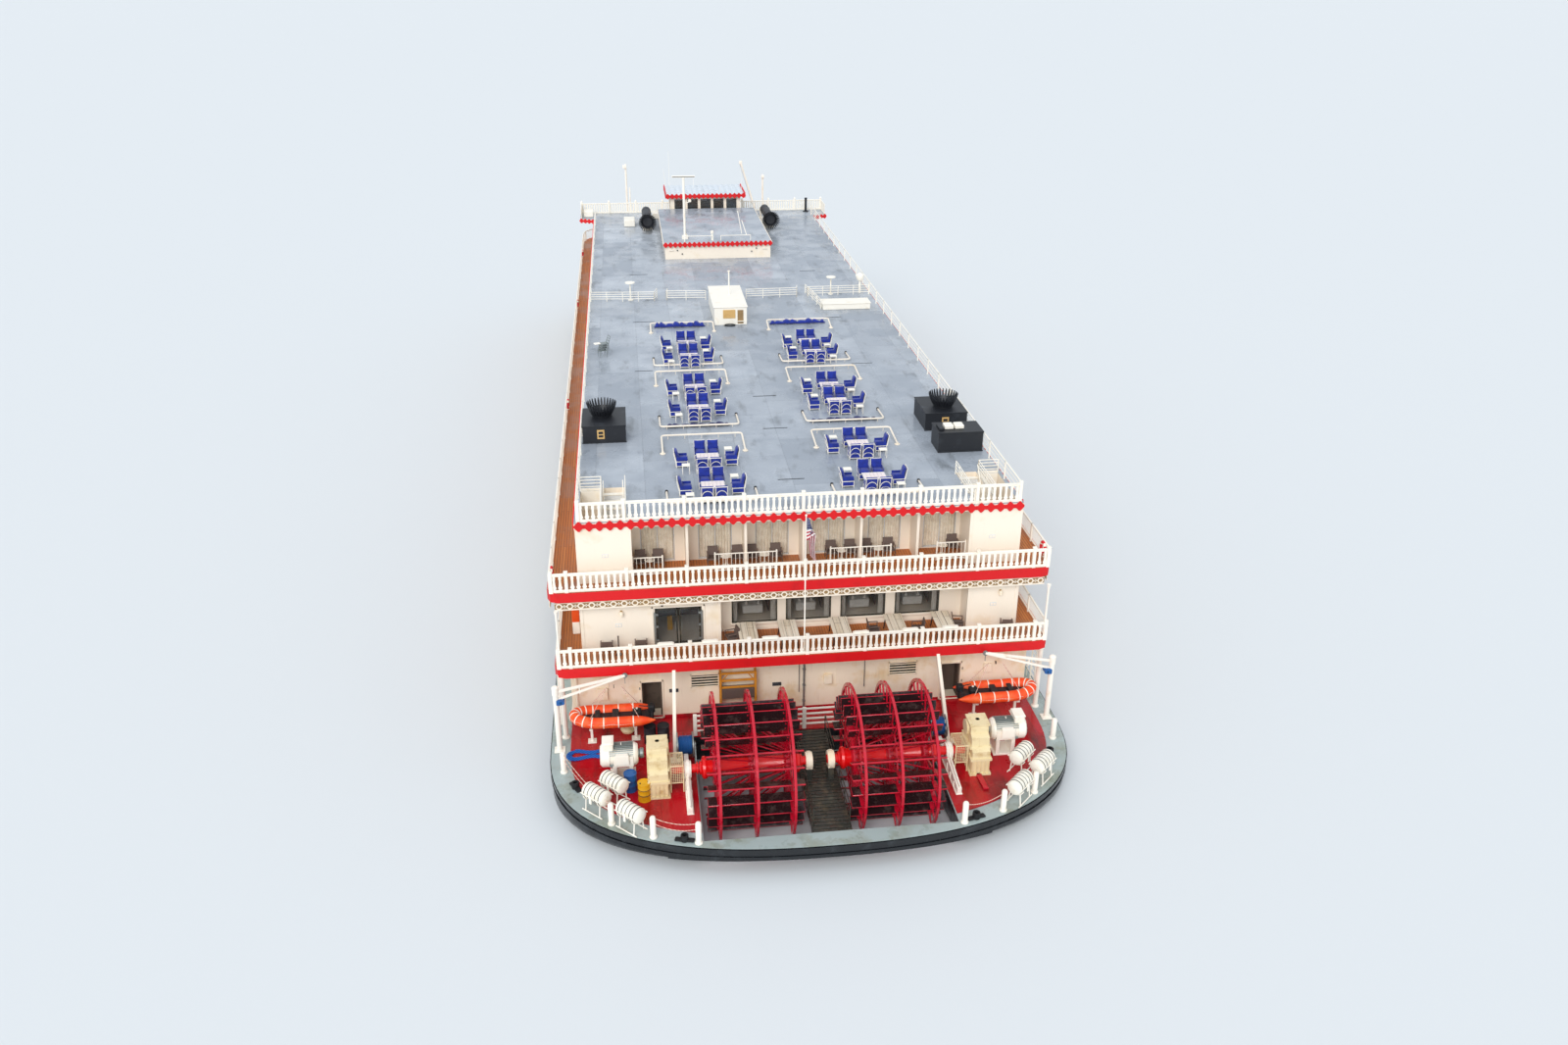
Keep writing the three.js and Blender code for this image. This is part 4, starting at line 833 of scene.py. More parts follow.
@dataclass(frozen=True)
class Hull:
    """Black flat-bottomed hull with its grey waterway, red deck, bollards and fairleads."""

    well_half: float = 5.5
    well_aft: float = -9.0
    well_fore: float = -1.45
    stern: tuple[float, float, float] = (-1.8, STERN_Y, 2.5)  # start of the curve, its tip, its power
    bow: tuple[float, float, float] = (71.0, BOW_Y, 2.15)
    skin: float = 0.05  # the rubbing strakes stand this far out of the plating
    bilge: float = 0.5
    deck_margin: float = 0.95
    keel_line: tuple[tuple[float, ...], tuple[float, ...]] = (
        (-9.95, 9, 72, 79, 84, 87.05), (3.2, 0, 0, 0.7, 2, 3.2))

    def quarter(self, margin: float, end: tuple[float, float, float], turns: np.ndarray) -> np.ndarray:
        """Curve of one end: (half cos(t) ** (2 / n), from + run sin(t) ** (2 / n))."""
        start, tip, power = end
        run = tip - math.copysign(margin, tip - start) - start
        x = (HULL_HALF - margin) * np.cos(turns) ** (2 / power)
        return np.column_stack([x, start + run * np.sin(turns) ** (2 / power)])

    def outline(self, margin: float, steps: int = 28) -> np.ndarray:
        """The hull's plan set in by a margin, anticlockwise from the stern's middle."""
        turns = np.linspace(0, math.pi / 2, steps)
        stern = self.quarter(margin, self.stern, turns)[::-1]
        right = np.concatenate([stern, self.quarter(margin, self.bow, turns)])
        return np.concatenate([right, (right * (-1, 1))[::-1][1:-1]])

    def section(self, half: np.ndarray, y: np.ndarray, inner: float | None) -> np.ndarray:
        """Rings of the hull across the keel: deck edge, side, round bilge, bottom.

        Args:
            half: half width at each station.
            y: the stations.
            inner: where the ring's inner side stands, or None where it runs to the other side.

        Returns:
            Rings of corners, anticlockwise about +y.
        """
        keel = np.interp(y, *self.keel_line)
        bend = np.minimum(self.bilge, np.minimum((MAIN_Z - keel) * 0.4, half * 0.4))[:, None]
        a = np.linspace(0, math.pi / 2, 5)[None]
        x = half[:, None] - bend * (1 - np.cos(a))
        z = keel[:, None] + bend * (1 - np.sin(a))
        top = np.full((len(y), 1), MAIN_Z)
        if inner is None:
            xs = np.concatenate([-half[:, None], half[:, None], x, -x[:, ::-1]], axis=1)
            zs = np.concatenate([top, top, z, z[:, ::-1]], axis=1)
        else:
            edge = np.full((len(y), 1), inner)
            xs = np.concatenate([edge, half[:, None], x, edge], axis=1)
            zs = np.concatenate([top, top, z, keel[:, None]], axis=1)
        return np.stack([xs, np.broadcast_to(y[:, None], xs.shape), zs], axis=-1)

    def shell(self) -> Solid:
        """Fore body, the two arms beside the wheels and the bridge behind them."""
        margin = self.skin
        bow = self.quarter(margin, self.bow, np.linspace(0, math.pi / 2 - 0.01, 30))
        straight = np.array([self.well_fore, 0, 3, 9, 20, 30, 40, 50, 60, 66])
        y = np.concatenate([straight, bow[:, 1]])
        half = np.concatenate([np.full(len(straight), HULL_HALF - margin), bow[:, 0]])
        fore = loft(self.section(half, y, None))
        start, tip, power = self.stern
        end_turn = math.asin(((self.well_aft - start) / (tip + margin - start)) ** (power / 2))
        arm = self.quarter(margin, self.stern, np.linspace(end_turn, 0, 16))
        arm = np.concatenate([arm, [[HULL_HALF - margin, self.well_fore]]])
        right = loft(self.section(arm[:, 0], arm[:, 1], self.well_half))
        curve = self.quarter(margin, self.stern, np.linspace(end_turn, math.pi / 2, 20))
        curve = np.concatenate([(curve * (-1, 1)), curve[::-1][1:]])
        x, y = curve[:, :1], curve[:, 1:]
        inner = np.full_like(y, self.well_aft)
        ys = np.concatenate([y, inner, inner, y], axis=1)
        zs = np.concatenate([np.interp(y, *self.keel_line), np.interp(inner, *self.keel_line),
                             np.full_like(y, MAIN_Z), np.full_like(y, MAIN_Z)], axis=1)
        bridge = loft(np.stack([np.broadcast_to(x, ys.shape), ys, zs], axis=-1))
        return joined([fore, right.doubled(), bridge])

    def build(self) -> None:
        """Shell, strakes, rim, bollards and fairleads as one piece, the red deck as another."""
        shell = self.shell().marked_where(1, lambda middle, normal: normal[:, 2] > 0.9)
        half_round = np.array([(0.05, -0.09), (0.05, 0.09), (0.0, 0.08), (-0.045, 0.045),
                               (-0.06, 0.0), (-0.045, -0.045), (0.0, -0.08)])[::-1]
        strakes = [carried(half_round, raised(self.outline(0.06), z), looped=True) for z in (3.68, 3.3)]
        rim = carried(rectangle(-0.05, 0.05, -0.01, 0.08), raised(self.outline(0.14), MAIN_Z),
                      looped=True, mark=1)
        posts = turned_profile([(0.17, 0), (0.17, 0.06), (0.13, 0.08), (0.13, 1.02), (0.1, 1.08),
                                (0.02, 1.1)], 14, mark=2)
        right = np.array([(11.5, -3.5, MAIN_Z), (9.35, -7.42, MAIN_Z), (7.6, -8.5, MAIN_Z),
                          (5.72, -9.1, MAIN_Z)])
        bollards = [posts.copies(right * (side, 1, 1)) for side in SIDES]
        chock = joined([ring_about_x(0.1, 0.17, -0.28, 0.28, 12, mark=3).turned(90, "Y").moved(z=0.02),
                        box(-0.42, 0.42, -0.13, 0.13, 0, 0.09, 0.03, mark=3)])
        fairleads = [chock.turned(side * angle).moved(side * x, y, MAIN_Z) for side in SIDES
                     for x, y, angle in ((10.95, -4.7, 62), (6.3, -8.85, 14))]
        make("hull_shell", joined([shell, *strakes, rim, *bollards, *fairleads]),
             [HULL_BLACK, WATERWAY, WHITE, RUBBER], stands_for=["hull"])

        edge = self.outline(self.deck_margin)
        inside = self.well_half + 0.05
        stern_y = np.interp(inside, *self.quarter(self.deck_margin, self.stern,
                                                  np.linspace(math.pi / 2, 0, 60)).T)
        keep = ~((np.abs(edge[:, 0]) < inside) & (edge[:, 1] < 0))
        first = int(np.argmax(keep))
        right_on = edge[first:][keep[first:]]
        plan = np.concatenate([[(inside, self.well_fore), (inside, stern_y)], right_on,
                               [(-inside, stern_y), (-inside, self.well_fore)]])
        cover = prism(plan, MAIN_Z + LIFT, DECK_TOP - LIFT)
        make("main_deck_cover", cover, [DECK_RED], stands_for=["main_deck"])


@dataclass(frozen=True)
class PaddleWheel:
    """Red stern wheel: three hooped frames, twenty-four dark boards, a drum and its shaft."""

    x: float = 3.12
    y: float = -5.1
    z: float = 4.7
    radius: float = 3.35
    hoop_depth: float = 0.15
    hoop_width: float = 0.12
    frames: tuple[float, ...] = (-1.6, 0.0, 1.6)
    boards: int = 24
    board_half: float = 2.1
    board_inner: float = 2.2
    board_outer: float = 2.8
    drum: float = 0.42
    shaft: float = 0.2
    shaft_ends: tuple[float, float] = (0.32, 6.72)

    def spokes(self, part: Solid) -> Solid:
        """The part repeated at every board's angle about the shaft."""
        turns = np.arange(self.boards) * 360 / self.boards
        return part.copies(np.zeros((self.boards, 3)), turns, "X")

    def board(self) -> Solid:
        """One dark board with red edges, its battens and the bolts through each arm."""
        half, thick = self.board_half, 0.035
        flat = box(-half, half, -thick, thick, self.board_inner, self.board_outer, 0.012)
        dark = flat.marked_where(1, lambda middle, normal: np.abs(normal[:, 1]) > 0.9)
        battens = [box(x - 0.1, x + 0.1, 0.035, 0.075, self.board_inner + 0.05, self.board_outer - 0.05)
                   for x in self.frames]
        heads = np.array([(x + dx, -0.035, r) for x in self.frames for dx in (-0.13, 0.13)
                          for r in (self.board_inner + 0.15, self.board_outer - 0.15)])
        bolts = turned_profile([(0.035, -0.035), (0.035, 0)], 6, "y").copies(heads)
        return joined([dark, *battens, bolts])

    def wheel(self) -> Solid:
        """Hoops, rings, arms, hubs, drum and boards about the shaft's middle."""
        parts = [self.spokes(self.board())]
        for x in self.frames:
            side = self.hoop_width / 2
            parts.append(ring_about_x(self.radius - self.hoop_depth, self.radius, x - side, x + side, 96))
            parts.append(ring_about_x(self.board_inner - 0.12, self.board_inner, x - 0.03, x + 0.03, 72))
            arm = box(x - 0.04, x + 0.04, -0.06, 0.06, 0.6, self.radius - 0.05, 0.01)
            parts.append(self.spokes(arm))
            hub = [(self.drum, -0.14), (0.62, -0.12), (0.8, -0.09), (0.8, 0.09), (0.62, 0.12),
                   (self.drum, 0.14)]
            parts.append(turned_profile(hub, 36, "x").moved(x=x))
            a = np.arange(12) * math.pi / 6
            ring = spots(x + 0.09, 0.7 * np.cos(a), 0.7 * np.sin(a))
            parts.append(flanged_bolts(ring, 0.035, 0.05, "x"))
        for x0, x1 in zip(self.frames, self.frames[1:]):
            parts.append(self.spokes(tube([(x0, 0, 0.8), (x1, 0, self.board_inner - 0.1)], 0.035, 5)))
        flare = [(self.shaft + 0.02, -2.32), (0.3, -2.3), (0.3, -2.24), (0.5, -2.16), (0.52, -2.05),
                 (self.drum, -1.9), (self.drum, 1.9), (0.52, 2.05), (0.5, 2.16), (0.3, 2.24),
                 (0.3, 2.3), (self.shaft + 0.02, 2.32)]
        parts.append(turned_profile(flare, 36, "x").marked(2))
        return joined(parts)

    def build(self) -> None:
        """Both wheels and their shafts, each on its own body."""
        wheel = self.wheel()
        inner, outer = (end - self.x for end in self.shaft_ends)
        axle = turned_profile([(self.shaft, inner), (self.shaft, 2.35), (self.shaft + 0.08, 2.37),
                               (self.shaft + 0.08, 2.43), (self.shaft, 2.45),
                               (self.shaft, outer - 0.02), (self.shaft - 0.03, outer)],
                              28, "x")
        for side, body in ((-1, Body.PORT_WHEEL), (1, Body.STARBOARD_WHEEL)):
            name = side_name(side)
            make(f"stern_wheel_{name}", wheel.on(side).moved(side * self.x, self.y, self.z),
                 [WHEEL_RED, BOARD_DARK, HUB_RED], body, [f"paddle_wheel_{name}"])
            make(f"wheel_axle_{name}", axle.on(side).moved(side * self.x, self.y, self.z),
                 [HUB_RED], body, [f"paddle_shaft_{name}"])


@dataclass(frozen=True)
class MooringRope:
    """Blue mooring rope that lies flaked down on the port quarter deck.

    It is wound in long flat turns, one inside the other and a diameter apart. Each turn is two
    runs joined by half circles, and the runs of both sides draw together halfway along.
    """

    radius: float = 0.03
    outer: float = -11.47  # ends of the outermost turn across the boat
    inner: float = -9.13
    middle: float = -2.4  # station of the line halfway between the runs
    half: float = 0.43  # half width of the outermost turn
    pitch: float = 0.067
    turns: int = 4
    pinch: float = 0.16  # how far the runs draw in

    def route(self) -> np.ndarray:
        """Centre line from the outer end to the inner one.

        Turn k has the half width w_k = half - pitch k, which falls evenly along the turn. A point
        at t of its run lies at w + pinch (cos(2 pi t) - 1) / 2 from the middle line.
        """
        west, east = self.outer + self.half, self.inner - self.half
        run, bend = np.linspace(0, 1, 9), np.radians(np.linspace(-90, 90, 9))[1:-1]
        drawn = self.pinch * (1 - np.cos(2 * np.pi * run)) / 2 - 0.018 * np.sin(2 * np.pi * run)
        points = []
        for turn in range(self.turns):
            widths = self.half - self.pitch * (turn + np.arange(32) / 32)
            points += zip(west + (east - west) * run, widths[:9] - drawn)
            points += zip(east + widths[9:16] * np.cos(bend), -widths[9:16] * np.sin(bend))
            points += zip(east + (west - east) * run, drawn[::-1] - widths[16:25])
            points += zip(west - widths[25:] * np.cos(bend), widths[25:] * np.sin(bend))
        plan = np.array(points) + (0.0, self.middle)
        return raised(plan, DECK_TOP + LIFT + self.radius)

    def build(self) -> None:
        """The rope as one piece."""
        route = self.route()
        rope = make("mooring_rope_flakes", tube(route, self.radius, 10), [ROPE_BLUE],
                    stands_for=["mooring_rope"], crease=60)


@dataclass(frozen=True)
class GuardRopes:
    """Slack ropes from post to post where the quarters have no rail."""

    radius: float = 0.016
    post: float = 0.105  # from a post's axis to the rope's eye at its side

    def route(self, start: np.ndarray, end: np.ndarray, drop: float) -> np.ndarray:
        """A hanging curve, drop lower halfway: z - 4 drop t (1 - t), held just off each post."""
        along = (end - start) / np.linalg.norm(end - start)
        t = np.linspace(0, 1, 25)[:, None]
        line = (start + along * self.post) * (1 - t) + (end - along * self.post) * t
        return line - (0, 0, 1) * (4 * drop * t * (1 - t))

    def build(self) -> None:
        """Two ropes in each port gap and one in the starboard gap."""
        spans = {  # x, y of the two posts, the height and the drop
            "port_gap_upper": ((-7.6, -8.5), (-5.72, -9.1), 4.8, 0.15),
            "port_gap_lower": ((-7.6, -8.5), (-5.72, -9.1), 4.5, 0.17),
            "port_side_upper": ((-11.5, -3.5), (-9.35, -7.42), 4.8, 0.24),
            "port_side_lower": ((-11.5, -3.5), (-9.35, -7.42), 4.5, 0.24),
            "starboard_gap": ((7.6, -8.5), (5.72, -9.1), 4.72, 0.17),
        }
        for name, (first, second, height, drop) in spans.items():
            route = self.route(np.array([*first, height]), np.array([*second, height]), drop)
            rope = make(f"guard_rope_{name}", tube(route, self.radius, 8), [ROPE_PALE], crease=60)


@dataclass(frozen=True)
class Walkway:
    """Wet steel walkway between the wheels, its rails and the two inner shaft bearings."""

    half: float = 0.85
    aft: float = -8.99
    fore: float = -1.46
    shaft_y: float = -5.1
    shaft_z: float = 4.7
    bearing_x: float = 0.5
    bearing_half: float = 0.15
    slat_pitch: float = 0.24
    rail_height: float = 0.95
    rail_x: float = 0.79

    def bearing(self) -> Solid:
        """A pillow block: splayed dark foot, cream housing with its cap, bolts and bore."""
        low, high = self.bearing_x - self.bearing_half, self.bearing_x + self.bearing_half
        foot = prism(np.array([(-0.32, MAIN_Z - 0.01), (0.32, MAIN_Z - 0.01), (0.2, 4.42),
                               (-0.2, 4.42)]) + (self.shaft_y, 0),
                     low + 0.02, high - 0.02, "x")
        housing = ring_about_x(0.215, 0.38, low, high, 28, mark=1).moved(y=self.shaft_y, z=self.shaft_z)
        cap = ring_about_x(0.215, 0.42, low + 0.07, high - 0.07, 28, mark=1)
        cap = cap.moved(y=self.shaft_y, z=self.shaft_z)
        base = box(low, high, self.shaft_y - 0.32, self.shaft_y + 0.32, 4.4, 4.49, 0.015, mark=1)
        heads = np.array([(self.bearing_x, self.shaft_y + dy, 4.49) for dy in (-0.27, 0.27)])
        return joined([foot, housing, cap, base, flanged_bolts(heads, 0.04, 0.06, mark=1)])

    def rail(self) -> Solid:
        """Dark pipe rails in two lengths, clear of the shaft between them."""
        parts = []
        for start, end in ((-8.6, -5.9), (-4.3, self.fore - 0.25)):
            parts += [tube([(self.rail_x, start, MAIN_Z + h), (self.rail_x, end, MAIN_Z + h)], 0.022, 6)
                      for h in (self.rail_height, self.rail_height / 2)]
            y = spread(start, end, 1.15)
            feet = spots(self.rail_x, y, MAIN_Z - 0.02)
            parts.append(rods(feet, feet + (0, 0, self.rail_height + 0.02), 0.026))
        return joined(parts)

    def build(self) -> None:
        """Beams under slats, with rails and bearings on both sides."""
        y = spread(self.aft + 0.08, self.fore - 0.08, self.slat_pitch)
        slats = box(-self.half + 0.04, self.half - 0.04, -0.09, 0.09, MAIN_Z - 0.06, MAIN_Z, 0.012)
        slats = slats.copies(spots(0.0, y, 0.0))
        beams = [box(x0, x1, self.aft, self.fore, MAIN_Z - 0.35, top, 0.01)
                 for x0, x1, top in ((-0.85, -0.78, MAIN_Z - 0.005), (0.78, 0.85, MAIN_Z - 0.005),
                                     (-0.2, 0.2, MAIN_Z - 0.065))]
        plate = box(-0.78, 0.78, self.aft, self.fore, MAIN_Z - 0.12, MAIN_Z - 0.05)
        right = joined([self.bearing(), self.rail()])
        make("wheel_walkway_slats", joined([slats, *beams, plate, right.doubled()]),
             [STEEL_DARK, RUSTY_CREAM], stands_for=["wheel_walkway"])


@dataclass(frozen=True)
class DriveGear:
    """Outer shaft bearing, mesh guard, stepped gear case and motor on each side deck."""

    shaft_y: float = -5.1
    shaft_z: float = 4.7
    bearing_x: tuple[float, float] = (5.8, 6.1)
    gear_x: tuple[float, float] = (6.76, 7.74)
    motor_x: tuple[float, float] = (8.1, 9.8)
    motor_y: float = -4.15
    motor_z: float = 5.05
    motor_radius: float = 0.5

    def bearing(self) -> Solid:
        """White welded pedestal that slopes down aft, with a capped bearing for the shaft."""
        x0, x1 = self.bearing_x
        y, z = self.shaft_y, self.shaft_z
        web = np.array([(-7.28, DECK_TOP), (-3.42, DECK_TOP), (-3.42, 4.3), (y + 0.3, 4.47),
                        (y - 0.3, 4.47), (-7.28, 4.2)])
        parts = [prism(web, x0 + 0.05, x1 - 0.05, "x"),
                 ring_about_x(0.215, 0.36, x0, x1, 28).moved(y=y, z=z),
                 ring_about_x(0.215, 0.42, x0 + 0.08, x1 - 0.08, 28).moved(y=y, z=z),
                 box(x0, x1, y - 0.32, y + 0.32, 4.43, 4.52, 0.012),
                 box(x0, x1, -7.3, -3.4, DECK_TOP, DECK_TOP + 0.05, 0.01)]
        sloped = [((x0 + x1) / 2, -7.25, 4.2), ((x0 + x1) / 2, y - 0.36, 4.475)]
        parts.append(carried(rectangle(-0.15, 0.15, -0.02, 0.02), sloped))
        ribs = np.array([(-6.7, 0.3), (-6.1, 0.38), (-5.5, 0.44), (-4.7, 0.44), (-4.1, 0.42)])
        lows = spots(x0, ribs[:, 0], DECK_TOP)
        parts.append(boxes(lows, lows + spots(x1 - x0, 0.03, ribs[:, 1])))
        heads = np.array([((x0 + x1) / 2, y + dy, 4.52) for dy in (-0.27, 0.27)])
        parts.append(flanged_bolts(heads, 0.045, 0.06))
        return joined(parts)

    def guard(self) -> Solid:
        """Cage of angle bars and mesh over the shaft between its bearing and the gear case."""
        x0, x1, y0, y1, z0, z1 = 6.16, 6.72, -5.62, -4.62, DECK_TOP + 0.5, 5.25
        corner = [(x0, y0), (x1, y0), (x1, y1), (x0, y1)]
        bars = [tube([(x, y, DECK_TOP), (x, y, z1)], 0.03, 5) for x, y in corner]
        rims = [tube([(x, y, z) for x, y in corner], 0.03, 5, looped=True) for z in (z0, z1)]
        step = 0.085
        x, y, z = (np.arange(a + step, b - 0.02, step) for a, b in ((x0, x1), (y0, y1), (z0, z1)))
        wire = 0.008
        up = [rods(spots(x, side, z0), spots(x, side, z1), wire, 4) for side in (y0, y1)]
        along = [rods(spots(x0, side, z), spots(x1, side, z), wire, 4) for side in (y0, y1)]
        top = [rods(spots(x, y0, z1), spots(x, y1, z1), wire, 4),
               rods(spots(x0, y, z1), spots(x1, y, z1), wire, 4)]
        return joined([*bars, *rims, *up, *along, *top])

    def gear_case(self) -> Solid:
        """Split cream casting that steps up to the input shaft, with flanges, ribs and bolts."""
        x0, x1 = self.gear_x
        base = [(-6.05, DECK_TOP), (-4.15, DECK_TOP), (-4.15, DECK_TOP + 0.1), (-6.05, DECK_TOP + 0.1)]
        body = [(-5.98, DECK_TOP + 0.1), (-4.22, DECK_TOP + 0.1), (-4.22, 5.02), (-4.36, 5.1),
                (-4.36, 5.58), (-4.56, 5.68), (-4.56, 6.02), (-4.68, 6.14), (-5.32, 6.14),
                (-5.43, 6.02), (-5.43, 5.76), (-5.7, 5.66), (-5.7, 5.22), (-5.98, 5.1)]
        seam = [(-6.05, 4.64), (-4.15, 4.64), (-4.15, 4.76), (-6.05, 4.76)]
        upper = [(-5.75, 5.1), (-4.3, 5.1), (-4.3, 5.2), (-5.75, 5.2)]
        lid = [(-5.45, 6.12), (-4.5, 6.12), (-4.5, 6.2), (-5.45, 6.2)]
        parts = [prism(np.array(part), a, b, "x")
                 for part, a, b in ((base, x0, x1), (body, x0 + 0.08, x1 - 0.08), (seam, x0, x1),
                                    (upper, x0, x1), (lid, x0 + 0.03, x1 - 0.03))]
        y = np.array([-5.9, -5.55, -4.65, -4.3])
        for x in (x0 + 0.05, x1 - 0.05):
            parts.append(flanged_bolts(spots(x, y, 4.76), 0.03, 0.05))
        ribs = spread(x0 + 0.12, x1 - 0.12, 0.2)
        lows = spots(ribs - 0.015, -6.04, DECK_TOP + 0.1)
        parts.append(boxes(lows, lows + (0.03, 1.85, 0.68)))
        boss = turned_profile([(0.36, x0 - 0.01), (0.36, x0 + 0.1), (0.3, x0 + 0.1)], 28, "x")
        parts.append(boss.moved(y=self.motor_y - 0.62, z=self.motor_z + 0.65))
        cover = turned_profile([(0.34, x1 - 0.1), (0.34, x1 - 0.02), (0.24, x1), (0.02, x1)], 28, "x")
        parts += [cover.moved(y=self.shaft_y, z=self.shaft_z - 0.1), cover.moved(y=-4.95, z=5.7),
                  turned_profile([(0.1, 6.18), (0.1, 6.2)], 12).moved((x0 + x1) / 2, -4.95)]
        return joined(parts)

    def motor(self) -> Solid:
        """Finned frame with end bells, fan cowl, terminal box, lifting eye, feet and coupling."""
        x0, x1 = self.motor_x
        y, z, r = self.motor_y, self.motor_z, self.motor_radius
        profile = [(0.3, x0), (0.42, x0 + 0.02), (0.5, x0 + 0.12), (0.52, x0 + 0.16), (0.52, x0 + 0.22),
                   (0.47, x0 + 0.22), (0.47, x1 - 0.42), (0.53, x1 - 0.42), (0.53, x1 - 0.1),
                   (0.44, x1 - 0.02), (0.3, x1)]
        parts = [turned_profile(profile, 36, "x").moved(y=y, z=z)]
        a = np.deg2rad(np.concatenate([np.arange(-60, 61, 10), np.arange(120, 241, 10)]) + 90)
        fin = box(x0 + 0.22, x1 - 0.42, -0.014, 0.014, 0.46, r + 0.06, mark=1)
        parts.append(fin.copies(np.tile([(0, y, z)], (len(a), 1)), np.degrees(a) - 90, "X"))
        a = np.arange(16) * math.pi / 8
        grille = spots(x1, 0.25 * np.cos(a) + y, 0.25 * np.sin(a) + z)
        outward = spots(-0.012, 0.17 * np.cos(a), 0.17 * np.sin(a))
        parts.append(rods(grille - (0.01, 0, 0), grille + outward, 0.012, 4))
        parts += [box(x0 + 0.15, x1 - 0.4, y - 0.5, y + 0.5, DECK_TOP, DECK_TOP + 0.1, 0.01),
                  box(x0 + 0.25, x0 + 0.42, y - 0.48, y + 0.48, DECK_TOP + 0.1, z - 0.3, 0.01),
                  box(x1 - 0.72, x1 - 0.55, y - 0.48, y + 0.48, DECK_TOP + 0.1, z - 0.3, 0.01),
                  box(x0 + 0.45, x0 + 1.0, y - 0.66, y - 0.4, z - 0.1, z + 0.34, 0.02),
                  box(x0 + 0.42, x0 + 1.03, y - 0.68, y - 0.64, z - 0.12, z + 0.36, 0.01),
                  box(x1 - 0.6, x1 - 0.14, y - 0.34, y + 0.34, z + 0.3, z + 0.82, 0.03),
                  box(x1 - 0.63, x1 - 0.11, y - 0.37, y + 0.37, z + 0.76, z + 0.8, 0.01),
                  box(x0 + 0.22, x1 - 0.6, y - 0.56, y - 0.5, z - 0.3, z + 0.2, 0.01),
                  ring_about_x(0.05, 0.08, -0.015, 0.015, 14).moved(x0 + 0.75, y, z + 0.53),
                  turned_profile([(0.2, x0 - 0.25), (0.24, x0 - 0.2), (0.24, x0 - 0.08),
                                  (0.18, x0 - 0.04), (0.18, x0 + 0.02)], 20, "x", 1).moved(y=y, z=z)]
        return joined(parts)

    def build(self) -> None:
        """Both sides; the guard rides on the hull as the pedestal does."""
        for side in SIDES:
            name = side_name(side)
            make(f"bearing_pedestal_{name}", joined([self.bearing(), self.guard().marked(1)]).on(side),
                 [WHITE, GEAR], stands_for=[f"shaft_bearing_{name}"])
            make(f"reduction_gear_{name}", self.gear_case().on(side), [GEAR],
                 stands_for=[f"gear_case_{name}"])
            make(f"wheel_motor_{name}", self.motor().on(side), [WHITE, GALVANISED],
                 stands_for=[f"drive_motor_{name}"])


